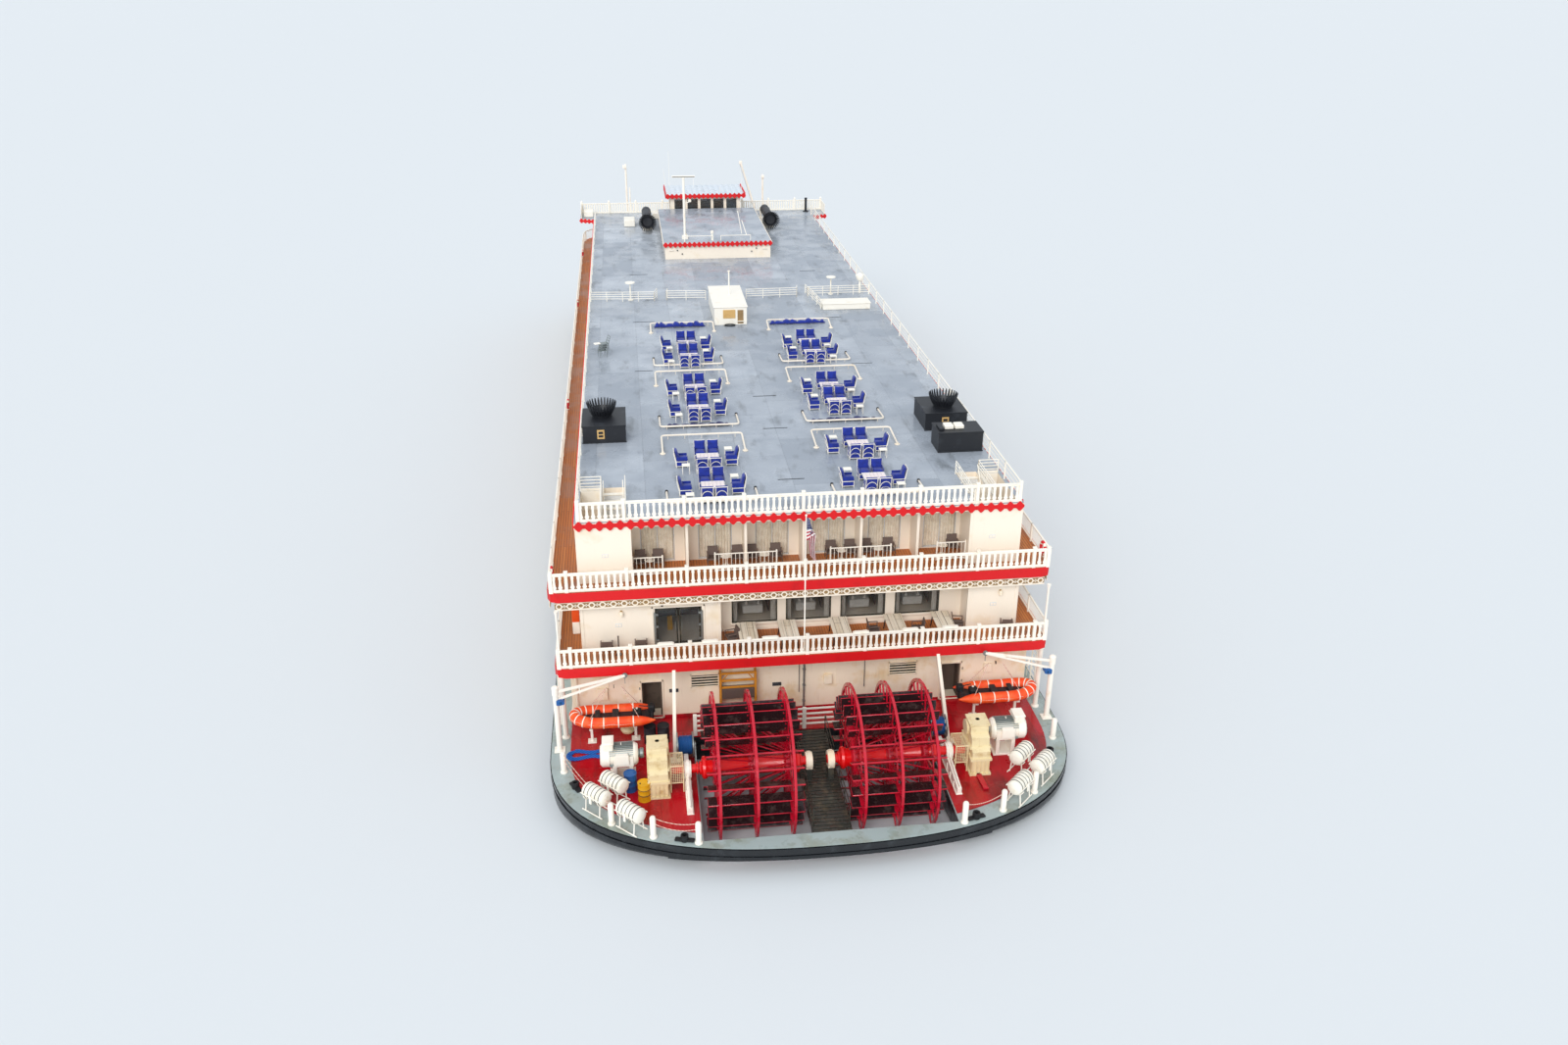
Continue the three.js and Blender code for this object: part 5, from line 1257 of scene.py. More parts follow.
@dataclass(frozen=True)
class SternDeckGear:
    """Loose gear on the red deck: rail behind the wheels, reels, drums, braces, a fender."""

    rail_y: float = -1.37
    rail_levels: tuple[float, ...] = (4.1, 4.38, 4.66, 4.94)

    def wheel_rail(self) -> Solid:
        """White rail of four bars across the wells' fore edge."""
        bars = [box(-5.45, 5.45, self.rail_y - 0.03, self.rail_y + 0.03, z - 0.045, z + 0.045, 0.01)
                for z in self.rail_levels]
        posts = [box(x - 0.09, x + 0.09, self.rail_y - 0.07, self.rail_y + 0.07, MAIN_Z - 0.01, 5.02, 0.015)
                 for x in (-5.4, -2.8, -0.17, 2.6, 5.4)]
        return joined([*bars, *posts])

    def reel(self) -> Solid:
        """Mooring reel: holed grey flanges, hose-blue winding on a drum, and its stand."""
        flange = ring_about_x(0.5, 0.6, -0.03, 0.03, 28)
        hub = ring_about_x(0.12, 0.2, -0.05, 0.05, 16)
        arm = box(-0.025, 0.025, -0.07, 0.07, 0.18, 0.52)
        spokes = arm.copies(np.zeros((7, 3)), np.arange(7) * 360 / 7, "X")
        side = joined([flange, hub, spokes])
        stand = [(-0.55, -0.55), (-0.45, -0.55), (0, 0.05), (0.45, -0.55), (0.55, -0.55), (0.06, 0.14),
                 (-0.06, 0.14)]
        leg = prism(np.array(stand), -0.02, 0.02, "x")
        axle = turned_profile([(0.05, -0.5), (0.05, 0.5)], 12, "x")
        parts = [side.moved(-0.36), side.moved(0.36), leg.moved(-0.46), leg.moved(0.46), axle]
        turns = np.linspace(0, 2 * math.pi * 9, 9 * 18)
        x = np.linspace(-0.3, 0.3, len(turns))
        winding = [tube(spots(sign * x, r * np.cos(turns), r * np.sin(turns)), 0.036, 6, mark=1)
                   for r, sign in ((0.34, 1), (0.41, -1))]
        core = turned_profile([(0.31, -0.33), (0.31, 0.33)], 24, "x", 1)
        return joined([*parts, *winding, core]).moved(z=DECK_TOP + 0.56)

    def drum(self, bands: Sequence[float]) -> Solid:
        """Two-hundred-litre steel drum with rolling hoops, chimes, bungs and painted bands."""
        profile = [(0.25, 0), (0.29, 0), (0.29, 0.03), (0.28, 0.03), (0.28, 0.3), (0.292, 0.32),
                   (0.28, 0.34), (0.28, 0.58), (0.292, 0.6), (0.28, 0.62), (0.28, 0.86), (0.292, 0.87),
                   (0.292, 0.9), (0.27, 0.9), (0.27, 0.88)]
        body = turned_profile(profile, 28)
        bungs = turned_profile([(0.035, 0.88), (0.035, 0.9)], 10).copies([(0.18, 0.05, 0), (-0.17, -0.05, 0)])
        if bands:
            body = body.marked_where(1, lambda middle, normal: (
                np.isin(np.digitize(middle[:, 2], bands), (1, 3)) & (np.abs(normal[:, 2]) < 0.8)))
        return joined([body, bungs.marked(1)])

    def ladder_shelf(self) -> Solid:
        """Orange frame against the house with a shelf at its foot and two rungs above."""
        x0, x1, y = -4.07, -2.38, -0.02
        posts = [box(x - 0.05, x + 0.05, y - 0.2, y + 0.2, DECK_TOP, 6.45, 0.01) for x in (x0, x1)]
        rungs = [box(x0, x1, y - 0.16, y - 0.06, z - 0.04, z + 0.04, 0.008)
                 for z in (4.6, 5.62, 6.0, 6.4)]
        shelf = box(x0, x1, y - 0.18, y + 0.2, 5.0, 5.55, 0.02, mark=1)
        brace = [tube([(x0, y - 0.1, 5.9), (x0 + 0.4, y - 0.1, 6.4)], 0.025, 5),
                 tube([(x1, y - 0.1, 5.9), (x1 - 0.4, y - 0.1, 6.4)], 0.025, 5)]
        return joined([*posts, *rungs, shelf, *brace])

    def lattice(self) -> Solid:
        """Upright lattice ladder outboard, from the side deck to the second deck."""
        parts = []
        for y in (0.35, 1.0):
            parts.append(tube([(11.75, y, MAIN_Z), (11.75, y, 7.3)], 0.035, 6))
        z = np.arange(4.1, 7.2, 0.3)
        parts.append(rods(spots(11.75, 0.35, z), spots(11.75, 1.0, z), 0.02, 5))
        return joined(parts)

    def build(self) -> None:
        """Each kind of gear as one piece on the hull."""
        make("wheel_rail", self.wheel_rail(), [WHITE])
        reel = self.reel()
        make("mooring_reels", joined([reel.moved(-5.95, -2.9), reel.moved(6.0, -2.75)]),
             [GALVANISED, BLUE_STEEL])
        dark = self.drum(()).copies([(-7.54, -1.69, DECK_TOP), (-6.91, -1.68, DECK_TOP)])
        make("oil_drums", dark, [CASING])
        make("grease_drum", self.drum((0.3, 0.42, 0.6, 0.72)).moved(-7.9, -5.95, DECK_TOP),
             [YELLOW, CASING])
        make("coolant_drum", self.drum(()).moved(-8.5, -5.2, DECK_TOP), [BLUE_STEEL])
        fender = turned_profile([(0.1, 0), (0.3, 0.03), (0.36, 0.16), (0.3, 0.29), (0.12, 0.32)], 24)
        make("round_fender", fender.moved(-8.57, -0.68, DECK_TOP), [GEAR])
        make("ladder_shelf", self.ladder_shelf(), [ORANGE_STEEL, WICKER])
        braces = []
        for side in SIDES:
            foot, head = np.array([side * 6.45, -3.3, DECK_TOP]), np.array([side * 6.3, -0.95, 7.3])
            braces.append(carried(rectangle(-0.13, 0.13, -0.08, 0.08, 0.01), [foot, head]))
            braces.append(box(side * 6.45 - 0.25, side * 6.45 + 0.25, -3.5, -3.1, DECK_TOP,
                              DECK_TOP + 0.06, 0.01))
        make("fantail_braces", joined(braces), [CREAM])
        plank = box(-0.12, 0.12, -0.7, 0.7, DECK_TOP + 0.02, DECK_TOP + 0.1, 0.01)
        make("gang_plank", plank.turned(3).moved(7.2, -6.4), [WHEEL_RED])
        make("side_ladders", self.lattice().doubled(), [WHITE])


@dataclass(frozen=True)
class RescueCraft:
    """Inflatable rescue boats on their cradles, the davits over them and the life rafts."""

    place: tuple[float, float, float] = (9.2, -1.3, 5.2)
    length: float = 4.1
    half: float = 0.8
    tube_radius: float = 0.26
    davit: tuple[float, float] = (11.75, -1.75)
    davit_top: float = 6.85
    arm_z: float = 7.0
    rafts: tuple[tuple[float, float], ...] = ((9.2, -5.75), (9.95, -6.5), (8.5, -7.85))
    raft_z: float = 4.75
    raft_radius: float = 0.36
    raft_half: float = 0.66

    def collar(self) -> np.ndarray:
        """Centre line of the buoyancy tube: two straight sides closed by a raised bow.

        The bow is half an ellipse, (run cos a, half sin a), and rises by the square of how
        far it lies forward.
        """
        r, half = self.tube_radius, self.half - self.tube_radius
        front, back = self.length / 2 - r, -self.length / 2 + 0.1
        shoulder = front - 1.0
        a = np.linspace(-math.pi / 2, math.pi / 2, 17)
        bow = np.column_stack([shoulder + 1.0 * np.cos(a), half * np.sin(a)])
        run = np.linspace(back, shoulder, 9)[:-1]
        line = np.concatenate([np.column_stack([run, np.full(8, -half)]), bow,
                               np.column_stack([run[::-1], np.full(8, half)])])
        lift = np.clip((line[:, 0] - shoulder + 0.5) / 1.5, 0, 1) ** 2 * 0.16
        return np.column_stack([line, lift])

    def boat(self) -> Solid:
        """Tube with cone ends, hull, floor, thwart, console, engine, bands and grab line."""
        line = self.collar()
        taper = np.ones(len(line))
        cone = np.array([0.12, 0.6, 0.9])
        taper[:3], taper[-3:] = cone, cone[::-1]
        section = circle(self.tube_radius, 16)[None] * taper[:, None, None]
        parts = [carried(section, line)]
        side, up = frames_along(line)
        for k in range(3, len(line) - 3, 2):
            rim = circle(self.tube_radius + 0.012, 16)
            along = np.gradient(line, axis=0)[k]
            step = along / np.linalg.norm(along) * 0.05
            ring = line[k] + rim[:, :1] * side[k] + rim[:, 1:] * up[k]
            parts.append(loft(np.stack([ring - step / 2, ring + step / 2]), mark=2))
        floor_half = self.half - self.tube_radius - 0.04
        hull_rings = []
        for t in np.linspace(0, 1, 9):
            x = -self.length / 2 + 0.3 + t * (self.length - 0.9)
            w = floor_half * min(1.0, math.sqrt(max(0.02, 1.15 - t ** 3)))
            keel = -0.3 + 0.32 * t ** 3
            hull_rings.append([(x, -w, 0.02), (x, -w * 0.8, -0.12 + 0.1 * t), (x, 0, keel),
                               (x, w * 0.8, -0.12 + 0.1 * t), (x, w, 0.02)])
        parts.append(loft(np.array(hull_rings), mark=1))
        thwart = [box(-0.25, 0.05, -floor_half, floor_half, 0.05, 0.17, 0.02, mark=1),
                  box(0.62, 0.85, -floor_half, floor_half, 0.08, 0.18, 0.02, mark=1),
                  box(-self.length / 2 + 0.22, -self.length / 2 + 0.3, -floor_half, floor_half, -0.1,
                      0.3, 0.01, mark=1)]
        engine = [box(-1.95, -1.62, -0.17, 0.17, 0.12, 0.5, 0.05, mark=3),
                  box(-1.88, -1.72, -0.07, 0.07, -0.25, 0.14, 0.02, mark=3),
                  tube([(-1.65, 0.02, 0.4), (-1.2, 0.1, 0.42)], 0.025, 6, mark=3)]
        tank = [box(-1.3, -0.9, -0.22, 0.22, 0.0, 0.26, 0.04, mark=3),
                turned_profile([(0.05, 0.26), (0.05, 0.3)], 10, mark=2).moved(-1.1, 0.1)]
        grab_t = np.linspace(0, 1, 60)
        index = 3 + grab_t * (len(line) - 7)
        middle = np.column_stack([np.interp(index, np.arange(len(line)), line[:, k]) for k in range(3)])
        outward = middle * (0.25, 1, 0)
        outward /= np.linalg.norm(outward, axis=1, keepdims=True)
        grab = middle + outward * (self.tube_radius + 0.012) * 0.94
        grab[:, 2] += 0.07 - 0.06 * np.abs(np.sin(grab_t * math.pi * 9))
        parts.append(tube(grab, 0.014, 5, mark=4))
        legs = [rods([(x, s * (self.half - 0.2), 0.2) for s in SIDES], [(x * 0.3 - 0.1, 0.0, 1.6)] * 2,
                     0.014, 5, mark=4)
                for x in (-1.2, 1.1)]
        ring = ring_about_x(0.05, 0.08, -0.015, 0.015, 12, mark=3).moved(-0.1, 0, 1.62)
        return joined([*parts, *thwart, *engine, *tank, *legs, ring])

    def cradle(self) -> Solid:
        """Two T-shaped posts with padded bearers under the boat."""
        x, y, z = self.place
        parts = []
        for dx in (-1.0, 1.05):
            parts += [box(x + dx - 0.06, x + dx + 0.06, y - 0.06, y + 0.06, DECK_TOP, z - 0.36, 0.01),
                      box(x + dx - 0.2, x + dx + 0.2, y - 0.2, y + 0.2, DECK_TOP, DECK_TOP + 0.04, 0.01),
                      box(x + dx - 0.08, x + dx + 0.08, y - 0.5, y + 0.5, z - 0.42, z - 0.34, 0.01)]
        return joined(parts)

    def davit_parts(self) -> tuple[Solid, Solid]:
        """The fixed post with its foot and winch, and the arm that swings with its wires."""
        x, y = self.davit
        post = turned_profile([(0.13, MAIN_Z), (0.13, self.davit_top)], 16).moved(x, y)
        foot = box(x - 0.25, x + 0.25, y - 0.25, y + 0.25, MAIN_Z, MAIN_Z + 0.05, 0.01)
        tip = np.array([x - 3.18, y + 0.5, self.arm_z + 0.35])
        root = np.array([x, y, self.arm_z])
        beams = [carried(rectangle(-0.05, 0.05, -0.06, 0.06, 0.01), [root + (0, 0, dz), tip])
                 for dz in (0.0, -0.42)]
        cap = turned_profile([(0.16, self.davit_top + 0.01), (0.16, self.davit_top + 0.4),
                              (0.1, self.davit_top + 0.45)], 16).moved(x, y)
        sheave = ring_about_x(0.04, 0.13, -0.03, 0.03, 18, mark=1).turned(90).moved(*tip)
        strut = tube([root + (-1.1, 0.17, -0.28), root + (-1.1, 0.17, 0.1)], 0.03, 6)
        winch = [box(x - 0.28, x - 0.02, y - 0.2, y + 0.1, 6.36, 6.62, 0.03, mark=2),
                 turned_profile([(0.1, -0.2), (0.1, 0.16)], 14, "y", 2).moved(x - 0.3, y, 6.5)]
        wires = rods([tip + (0, 0.03, -0.1), tip + (0, -0.03, -0.1)],
                     [tip + (0, 0.03, -0.42), tip + (0, -0.03, -0.42)], 0.012, 5, mark=1)
        return joined([post, foot]), joined([*beams, cap, sheave, strut, *winch, wires])

    def raft(self) -> Solid:
        """Two-part moulded canister: ribs, seam flange, painted straps and end domes."""
        r, h = self.raft_radius, self.raft_half
        profile = [(0.05, -h), (0.22, -h + 0.015), (0.31, -h + 0.06), (0.345, -h + 0.13)]
        for x in np.linspace(-h + 0.16, h - 0.16, 7):
            profile += [(0.345, x - 0.045), (0.352, x - 0.03), (0.352, x + 0.03), (0.345, x + 0.045)]
        profile += [(0.345, h - 0.13), (0.31, h - 0.06), (0.22, h - 0.015), (0.05, h)]
        shell = turned_profile(profile, 32, "x")
        flange = box(-h + 0.1, h - 0.1, -r, r, -0.02, 0.02, 0.008)
        places = np.linspace(-h + 0.23, h - 0.23, 5)
        bands = [ring_about_x(r - 0.02, r - 0.003, x - 0.014, x + 0.014, 28, mark=1) for x in places]
        return joined([shell, flange, *bands])

    def rack(self) -> Solid:
        """Pipe cradle under one canister, with its rails and the release hook."""
        parts = []
        for x in (-0.42, 0.42):
            a = np.linspace(-math.pi * 0.92, -math.pi * 0.08, 9)
            r = self.raft_radius + 0.035
            saddle = spots(x, r * np.cos(a), r * np.sin(a))
            parts.append(tube(saddle, 0.028, 6))
            for y in (-0.3, 0.3):
                parts.append(tube([(x, y, DECK_TOP - self.raft_z), (x, y * 0.8, -0.28)], 0.03, 6))
        for y in (-0.33, 0.33):
            parts.append(tube([(-0.6, y, -0.86), (0.6, y, -0.86)], 0.03, 6))
            parts.append(tube([(-0.6, y * 1.15, 0.02), (0.6, y * 1.15, 0.02)], 0.022, 6))
        parts.append(box(-0.06, 0.06, -0.42, -0.36, -0.3, 0.1, 0.01, mark=1))
        return joined(parts)

    def build(self) -> None:
        """Mirrored on both sides; boats point outboard."""
        x, y, z = self.place
        for side, body in ((-1, Body.PORT_DAVIT), (1, Body.STARBOARD_DAVIT)):
            name = side_name(side)
            make(f"inflatable_boat_{name}", self.boat().moved(x, y, z).on(side),
                 [BOAT_ORANGE, CASING, RAFT_WHITE, RUBBER, ROPE_PALE],
                 stands_for=[f"rescue_boat_{name}"])
            make(f"boat_chocks_{name}", self.cradle().on(side), [WHITE],
                 stands_for=[f"boat_cradle_{name}"])
            fixed, arm = self.davit_parts()
            make(f"boat_davit_{name}", arm.on(side), [WHITE, GALVANISED, BLUE_STEEL], body,
                 [f"davit_arm_{name}"])
            make(f"davit_post_{name}", fixed.on(side), [WHITE])
            canister, rack = self.raft(), self.rack()
            rafts = [canister.turned(45).moved(cx, cy, self.raft_z) for cx, cy in self.rafts]
            racks = [rack.turned(45).moved(cx, cy, self.raft_z).marked(2) for cx, cy in self.rafts]
            make(f"life_rafts_{name}", joined([*rafts, *racks]).on(side), [RAFT_WHITE, RUBBER, WHITE],
                 stands_for=[f"liferaft_rack_{name}"])


def mirrored_plan(right: np.ndarray) -> np.ndarray:
    """The whole anticlockwise plan from its starboard half, given from aft to fore."""
    return np.concatenate([right, (right * (-1, 1))[::-1]])


@dataclass(frozen=True)
class UpperDeck:
    """One promenade deck: boards on top, red edge band, cream underside and trim below."""

    name: str  # also the node's name
    top: float
    half: float
    aft: float
    fore: float
    rail_fore: float
    band: Enamel
    corner: float = 0.5
    bay: float = 2.75
    rail_inset: float = RAIL_INSET
    column_every: int = 0  # every nth post of the sides is carried up as a column
    column_top: float = 0.0

    def plan(self, inset: float = 0.0) -> np.ndarray:
        """Cut stern corners and a bow (half cos(t) ** 0.8, fore - 5 + 5 sin(t) ** 0.8)."""
        half, aft, fore, cut = self.half - inset, self.aft + inset, self.fore - inset, self.corner
        t = np.linspace(0, math.pi / 2, 14)
        bow = np.column_stack([half * np.cos(t) ** 0.8, fore - 5 + 5 * np.sin(t) ** 0.8])
        stern = np.array([(half - cut, aft), (half - cut * 0.3, aft + cut * 0.3), (half, aft + cut)])
        return mirrored_plan(np.concatenate([stern, bow[:-1], [(0.0001, fore)]]))

    def plate(self) -> Solid:
        """The deck itself, finished by which way each face looks, with half-round edge bars."""
        body = prism(self.plan(), self.top - FASCIA, self.top)
        sided = body.marked_where(1, lambda middle, normal: np.abs(normal[:, 2]) < 0.5)
        sided = sided.marked_where(2, lambda middle, normal: normal[:, 2] < -0.5)
        line = raised(self.plan(0.02), self.top - 0.025)
        edge = carried(circle(0.03, 6), line, looped=True, mark=2)
        ring, inner = self.plan(-0.02), self.plan(0.012)
        levels = ((ring, -0.45), (ring, 0.03), (inner, 0.03), (inner, -0.45))
        rings = np.stack([raised(way, self.top + dz) for way, dz in levels], axis=1)
        return joined([sided, edge, loft(rings[::-1], looped=True, mark=1)])

    def baluster(self) -> Solid:
        """Flat-cut baluster: a board 3 cm thick whose edges leave vase-shaped gaps over small holes."""
        h = np.array([0, 0.03, 0.08, 0.14, 0.19, 0.24, 0.3, 0.4,
                      0.55, 0.7, 0.76, 0.8, 0.84, 0.9, 0.95, 1])
        w = np.array([112, 108, 80, 82, 116, 108, 82, 72,
                      66, 66, 74, 84, 78, 72, 84, 110]) / 1000 - 0.012
        z = 0.1 + h * (RAIL_HEIGHT - 0.2)
        outline = np.concatenate([np.column_stack([w, z]), np.column_stack([-w, z])[::-1]])
        return prism(outline, -0.015, 0.015, "y")

    def stern_rail(self) -> Solid:
        """Balustrade across the stern with capped posts and a moulded handrail."""
        half, y, z = self.half - self.rail_inset, self.aft + self.rail_inset, self.top
        steps = np.arange(-60, 61)
        at = steps * self.bay / 10
        inside = np.abs(at) < half - 0.2
        posts = np.array([-half + 0.06, *at[inside & (steps % 10 == 0)], half - 0.06])
        parts = [box(-half, half, y - 0.05, y + 0.05, z + RAIL_HEIGHT - 0.08, z + RAIL_HEIGHT, 0.015),
                 box(-half, half, y - 0.03, y + 0.03, z + RAIL_HEIGHT - 0.14, z + RAIL_HEIGHT - 0.08),
                 box(-half, half, y - 0.045, y + 0.045, z + 0.01, z + 0.14, 0.01)]
        post = joined([box(-0.075, 0.075, -0.075, 0.075, 0, RAIL_HEIGHT + 0.06, 0.008),
                       box(-0.095, 0.095, -0.095, 0.095, RAIL_HEIGHT + 0.05, RAIL_HEIGHT + 0.1, 0.012),
                       box(-0.09, 0.09, -0.09, 0.09, 0, 0.12, 0.012)])
        places = spots(posts, y, z + LIFT)
        parts.append(post.copies(places))
        between = at[inside & (steps % 10 != 0)]
        parts.append(self.baluster().copies(spots(between, y, z)))
        return joined(parts)

    def side_rail(self) -> Solid:
        """Thin upright bars between posts along the starboard side, columns where they are due."""
        x, z = self.half - self.rail_inset, self.top + LIFT
        start, end = self.aft + self.rail_inset, self.rail_fore
        posts = spread(start, end, self.bay)
        bars = spread(start, end, 0.125)[1:-1]
        parts = [box(x - 0.045, x + 0.045, start, end, z + RAIL_HEIGHT - 0.07, z + RAIL_HEIGHT, 0.012),
                 box(x - 0.025, x + 0.025, start, end, z + 0.1, z + 0.14)]
        low = spots(x - 0.011, bars - 0.011, z + 0.12)
        parts.append(boxes(low, low + (0.022, 0.022, RAIL_HEIGHT - 0.16)))
        low = spots(x - 0.045, posts - 0.045, z)
        parts.append(boxes(low, low + (0.09, 0.09, RAIL_HEIGHT)))
        if self.column_every:
            standing = posts[::self.column_every]
            profile = [(0.085, 0), (0.085, 0.16), (0.055, 0.2), (0.055, self.column_top - z - 0.25),
                       (0.075, self.column_top - z - 0.16), (0.1, self.column_top - z)]
            column = turned_profile(profile, 12)
            parts.append(column.copies(spots(x - 0.11, standing, z)))
        return joined(parts)

    def bow_rail(self) -> Solid:
        """The side rails carried on round the bow: handrail, low bar and upright bars."""
        z, plan = self.top + LIFT, self.plan(self.rail_inset)
        curve = plan[plan[:, 1] > self.rail_fore + 0.01]
        line = np.array([(self.half - self.rail_inset, self.rail_fore), *curve,
                         (self.rail_inset - self.half, self.rail_fore)])
        gone = np.concatenate([[0], np.cumsum(np.linalg.norm(np.diff(line, axis=0), axis=1))])
        at = spread(0, gone[-1], 0.15)
        feet = spots(np.interp(at, gone, line[:, 0]), np.interp(at, gone, line[:, 1]), z)
        handrail, low_bar = raised(line, z + (RAIL_HEIGHT - 0.035)), raised(line, z + 0.12)
        return joined([carried(rectangle(-0.035, 0.035, -0.045, 0.045, 0.012), handrail),
                       tube(low_bar, 0.022, 5),
                       rods(feet + (0, 0, 0.1), feet + (0, 0, RAIL_HEIGHT - 0.05), 0.012, 4),
                       rods(feet[::18], feet[::18] + (0, 0, RAIL_HEIGHT + 0.04), 0.05, 8)])

    def build(self) -> None:
        """The plate and its rails, each as one piece."""
        make(f"{self.name}_boards", self.plate(), [PLANKS, self.band, CREAM], stands_for=[self.name])
        make(f"{self.name}_balustrade",
             joined([self.stern_rail(), self.side_rail().doubled(), self.bow_rail()]),
             [WHITE], stands_for=[f"{self.name}_rail"])


@dataclass(frozen=True)
class DeckTrim:
    """Lace rings under the third deck, diamond edging, stern columns and life rings."""

    ring_pitch: float = 0.5
    ring_radius: float = 0.15
    diamond_pitch: float = 0.47
    diamond: float = 0.235

    def lace(self, along: np.ndarray, across: str, place: float, z: float) -> Solid:
        """A row of flat rings with small crosses between them, over a thin bar.

        Args:
            along: where the ring middles lie.
            across: "x" for a row that runs across the boat, "y" for one along it.
            place: the row's other coordinate.
            z: height of the ring middles.

        Returns:
            The row, 4 cm thick.
        """
        r, turn = self.ring_radius, 0 if across == "y" else 90
        ring = ring_about_x(r - 0.055, r, -0.02, 0.02, 16)
        cross = joined([box(-0.015, 0.015, -0.1, 0.1, -0.022, 0.022),
                        box(-0.015, 0.015, -0.022, 0.022, -0.08, 0.08)])
        between = along[:-1] + np.diff(along) / 2
        rows = joined([ring.copies(spots(0.0, along, 0.0)),
                       cross.copies(spots(0.0, between, 0.0)),
                       box(-0.02, 0.02, along[0] - 0.2, along[-1] + 0.2, -r - 0.06, -r, 0.008),
                       box(-0.02, 0.02, along[0] - 0.2, along[-1] + 0.2, r, r + 0.03, 0.008)])
        # painted shade: a dim tan strip behind the rings stands for the shade seen through their holes
        back = box(0.03, 0.05, along[0] - 0.2, along[-1] + 0.2, -r, r + 0.03, mark=1)
        rows = joined([rows, back if turn == 0 and place < 0 else back.moved(x=-0.08)])
        return rows.turned(-turn).moved(x=place if turn == 0 else 0, y=place if turn else 0, z=z)

    def diamonds(self, along: np.ndarray, across: str, place: float, z: float, size: float,
                 band: float = 0.42) -> Solid:
        """A band with a row of blunt squares set on their corners, seen from outside."""
        u, v, cut = size * 0.92, size, size * 0.16
        plate = prism(np.array([(-cut, -v), (cut, -v), (u, -cut), (u, cut), (cut, v), (-cut, v),
                                (-u, cut), (-u, -cut)]),
                      -0.03, 0.03, "y")
        row = plate.copies(spots(along, 0.0, 0.0))
        strip = box(along[0] - 0.1, along[-1] + 0.1, -0.015, 0.015, -size * band, size * band, 0.005)
        whole = joined([row, strip])
        if across == "y":
            return whole.turned(90).moved(x=place, z=z)
        return whole.moved(y=place, z=z)

    def column(self, height: float, radius: float = 0.12) -> Solid:
        """Round steel column with a stepped base and a flared head."""
        return turned_profile([(radius + 0.07, 0), (radius + 0.07, 0.05), (radius, 0.1),
                               (radius, height - 0.25), (radius + 0.05, height - 0.12),
                               (radius + 0.08, height)], 20)

    def life_ring(self) -> Solid:
        """A life ring hung on a rail, its axis along x, with four pale bands."""
        a = np.arange(28) * 2 * math.pi / 28
        body = tube(spots(0.0, 0.3 * np.cos(a), 0.3 * np.sin(a)), 0.075, 10, looped=True)
        return body.marked_where(1, lambda middle, normal: np.abs(
            np.sin(2 * np.arctan2(middle[:, 2], middle[:, 1]) + 0.1)) > 0.93)

    def build(self) -> None:
        """Trim that rides on the hull."""
        under = THIRD_Z - FASCIA - self.ring_radius - 0.14
        across = spread(-11.4, 11.4, self.ring_pitch)
        along = spread(0.6, 71.5, self.ring_pitch)
        rows = [self.lace(across, "x", 0.05, under)]
        rows += [self.lace(along, "y", side * 11.85, under) for side in SIDES]
        make("lace_trim", joined(rows), [CREAM, SHADED_TAN])
        edge = SUN_Z - 0.13
        across = spread(-10.3, 10.3, self.diamond_pitch)
        along = spread(1.3, 68.6, self.diamond_pitch)
        bands = [self.diamonds(across, "x", 0.83, edge, self.diamond)]
        bands += [self.diamonds(along, "y", side * 10.56, edge - 0.11, self.diamond) for side in SIDES]
        make("diamond_trim", joined(bands), [FASCIA_RED])
        low = self.column(SECOND_Z - FASCIA - MAIN_Z - LIFT)
        make("stern_columns", joined([low.moved(side * 11.5, -0.75, MAIN_Z + LIFT) for side in SIDES]),
             [WHITE])
        high = self.column(SUN_Z - 0.303 - THIRD_Z - LIFT, 0.05)
        places = [(side * 10.42, 1.1, THIRD_Z + LIFT) for side in SIDES]
        make("promenade_columns", high.copies(places), [WHITE])
        hung = [(side * (THIRD_HALF - 0.22), y, THIRD_Z + 0.62)
                for side in SIDES
                for y in (0.9, 24.0, 48.0, 66.0)]
        make("life_rings", self.life_ring().copies(hung),
             [Enamel("red_life_ring", "#D81224", "#B80E1E", 0.5), WHITE])


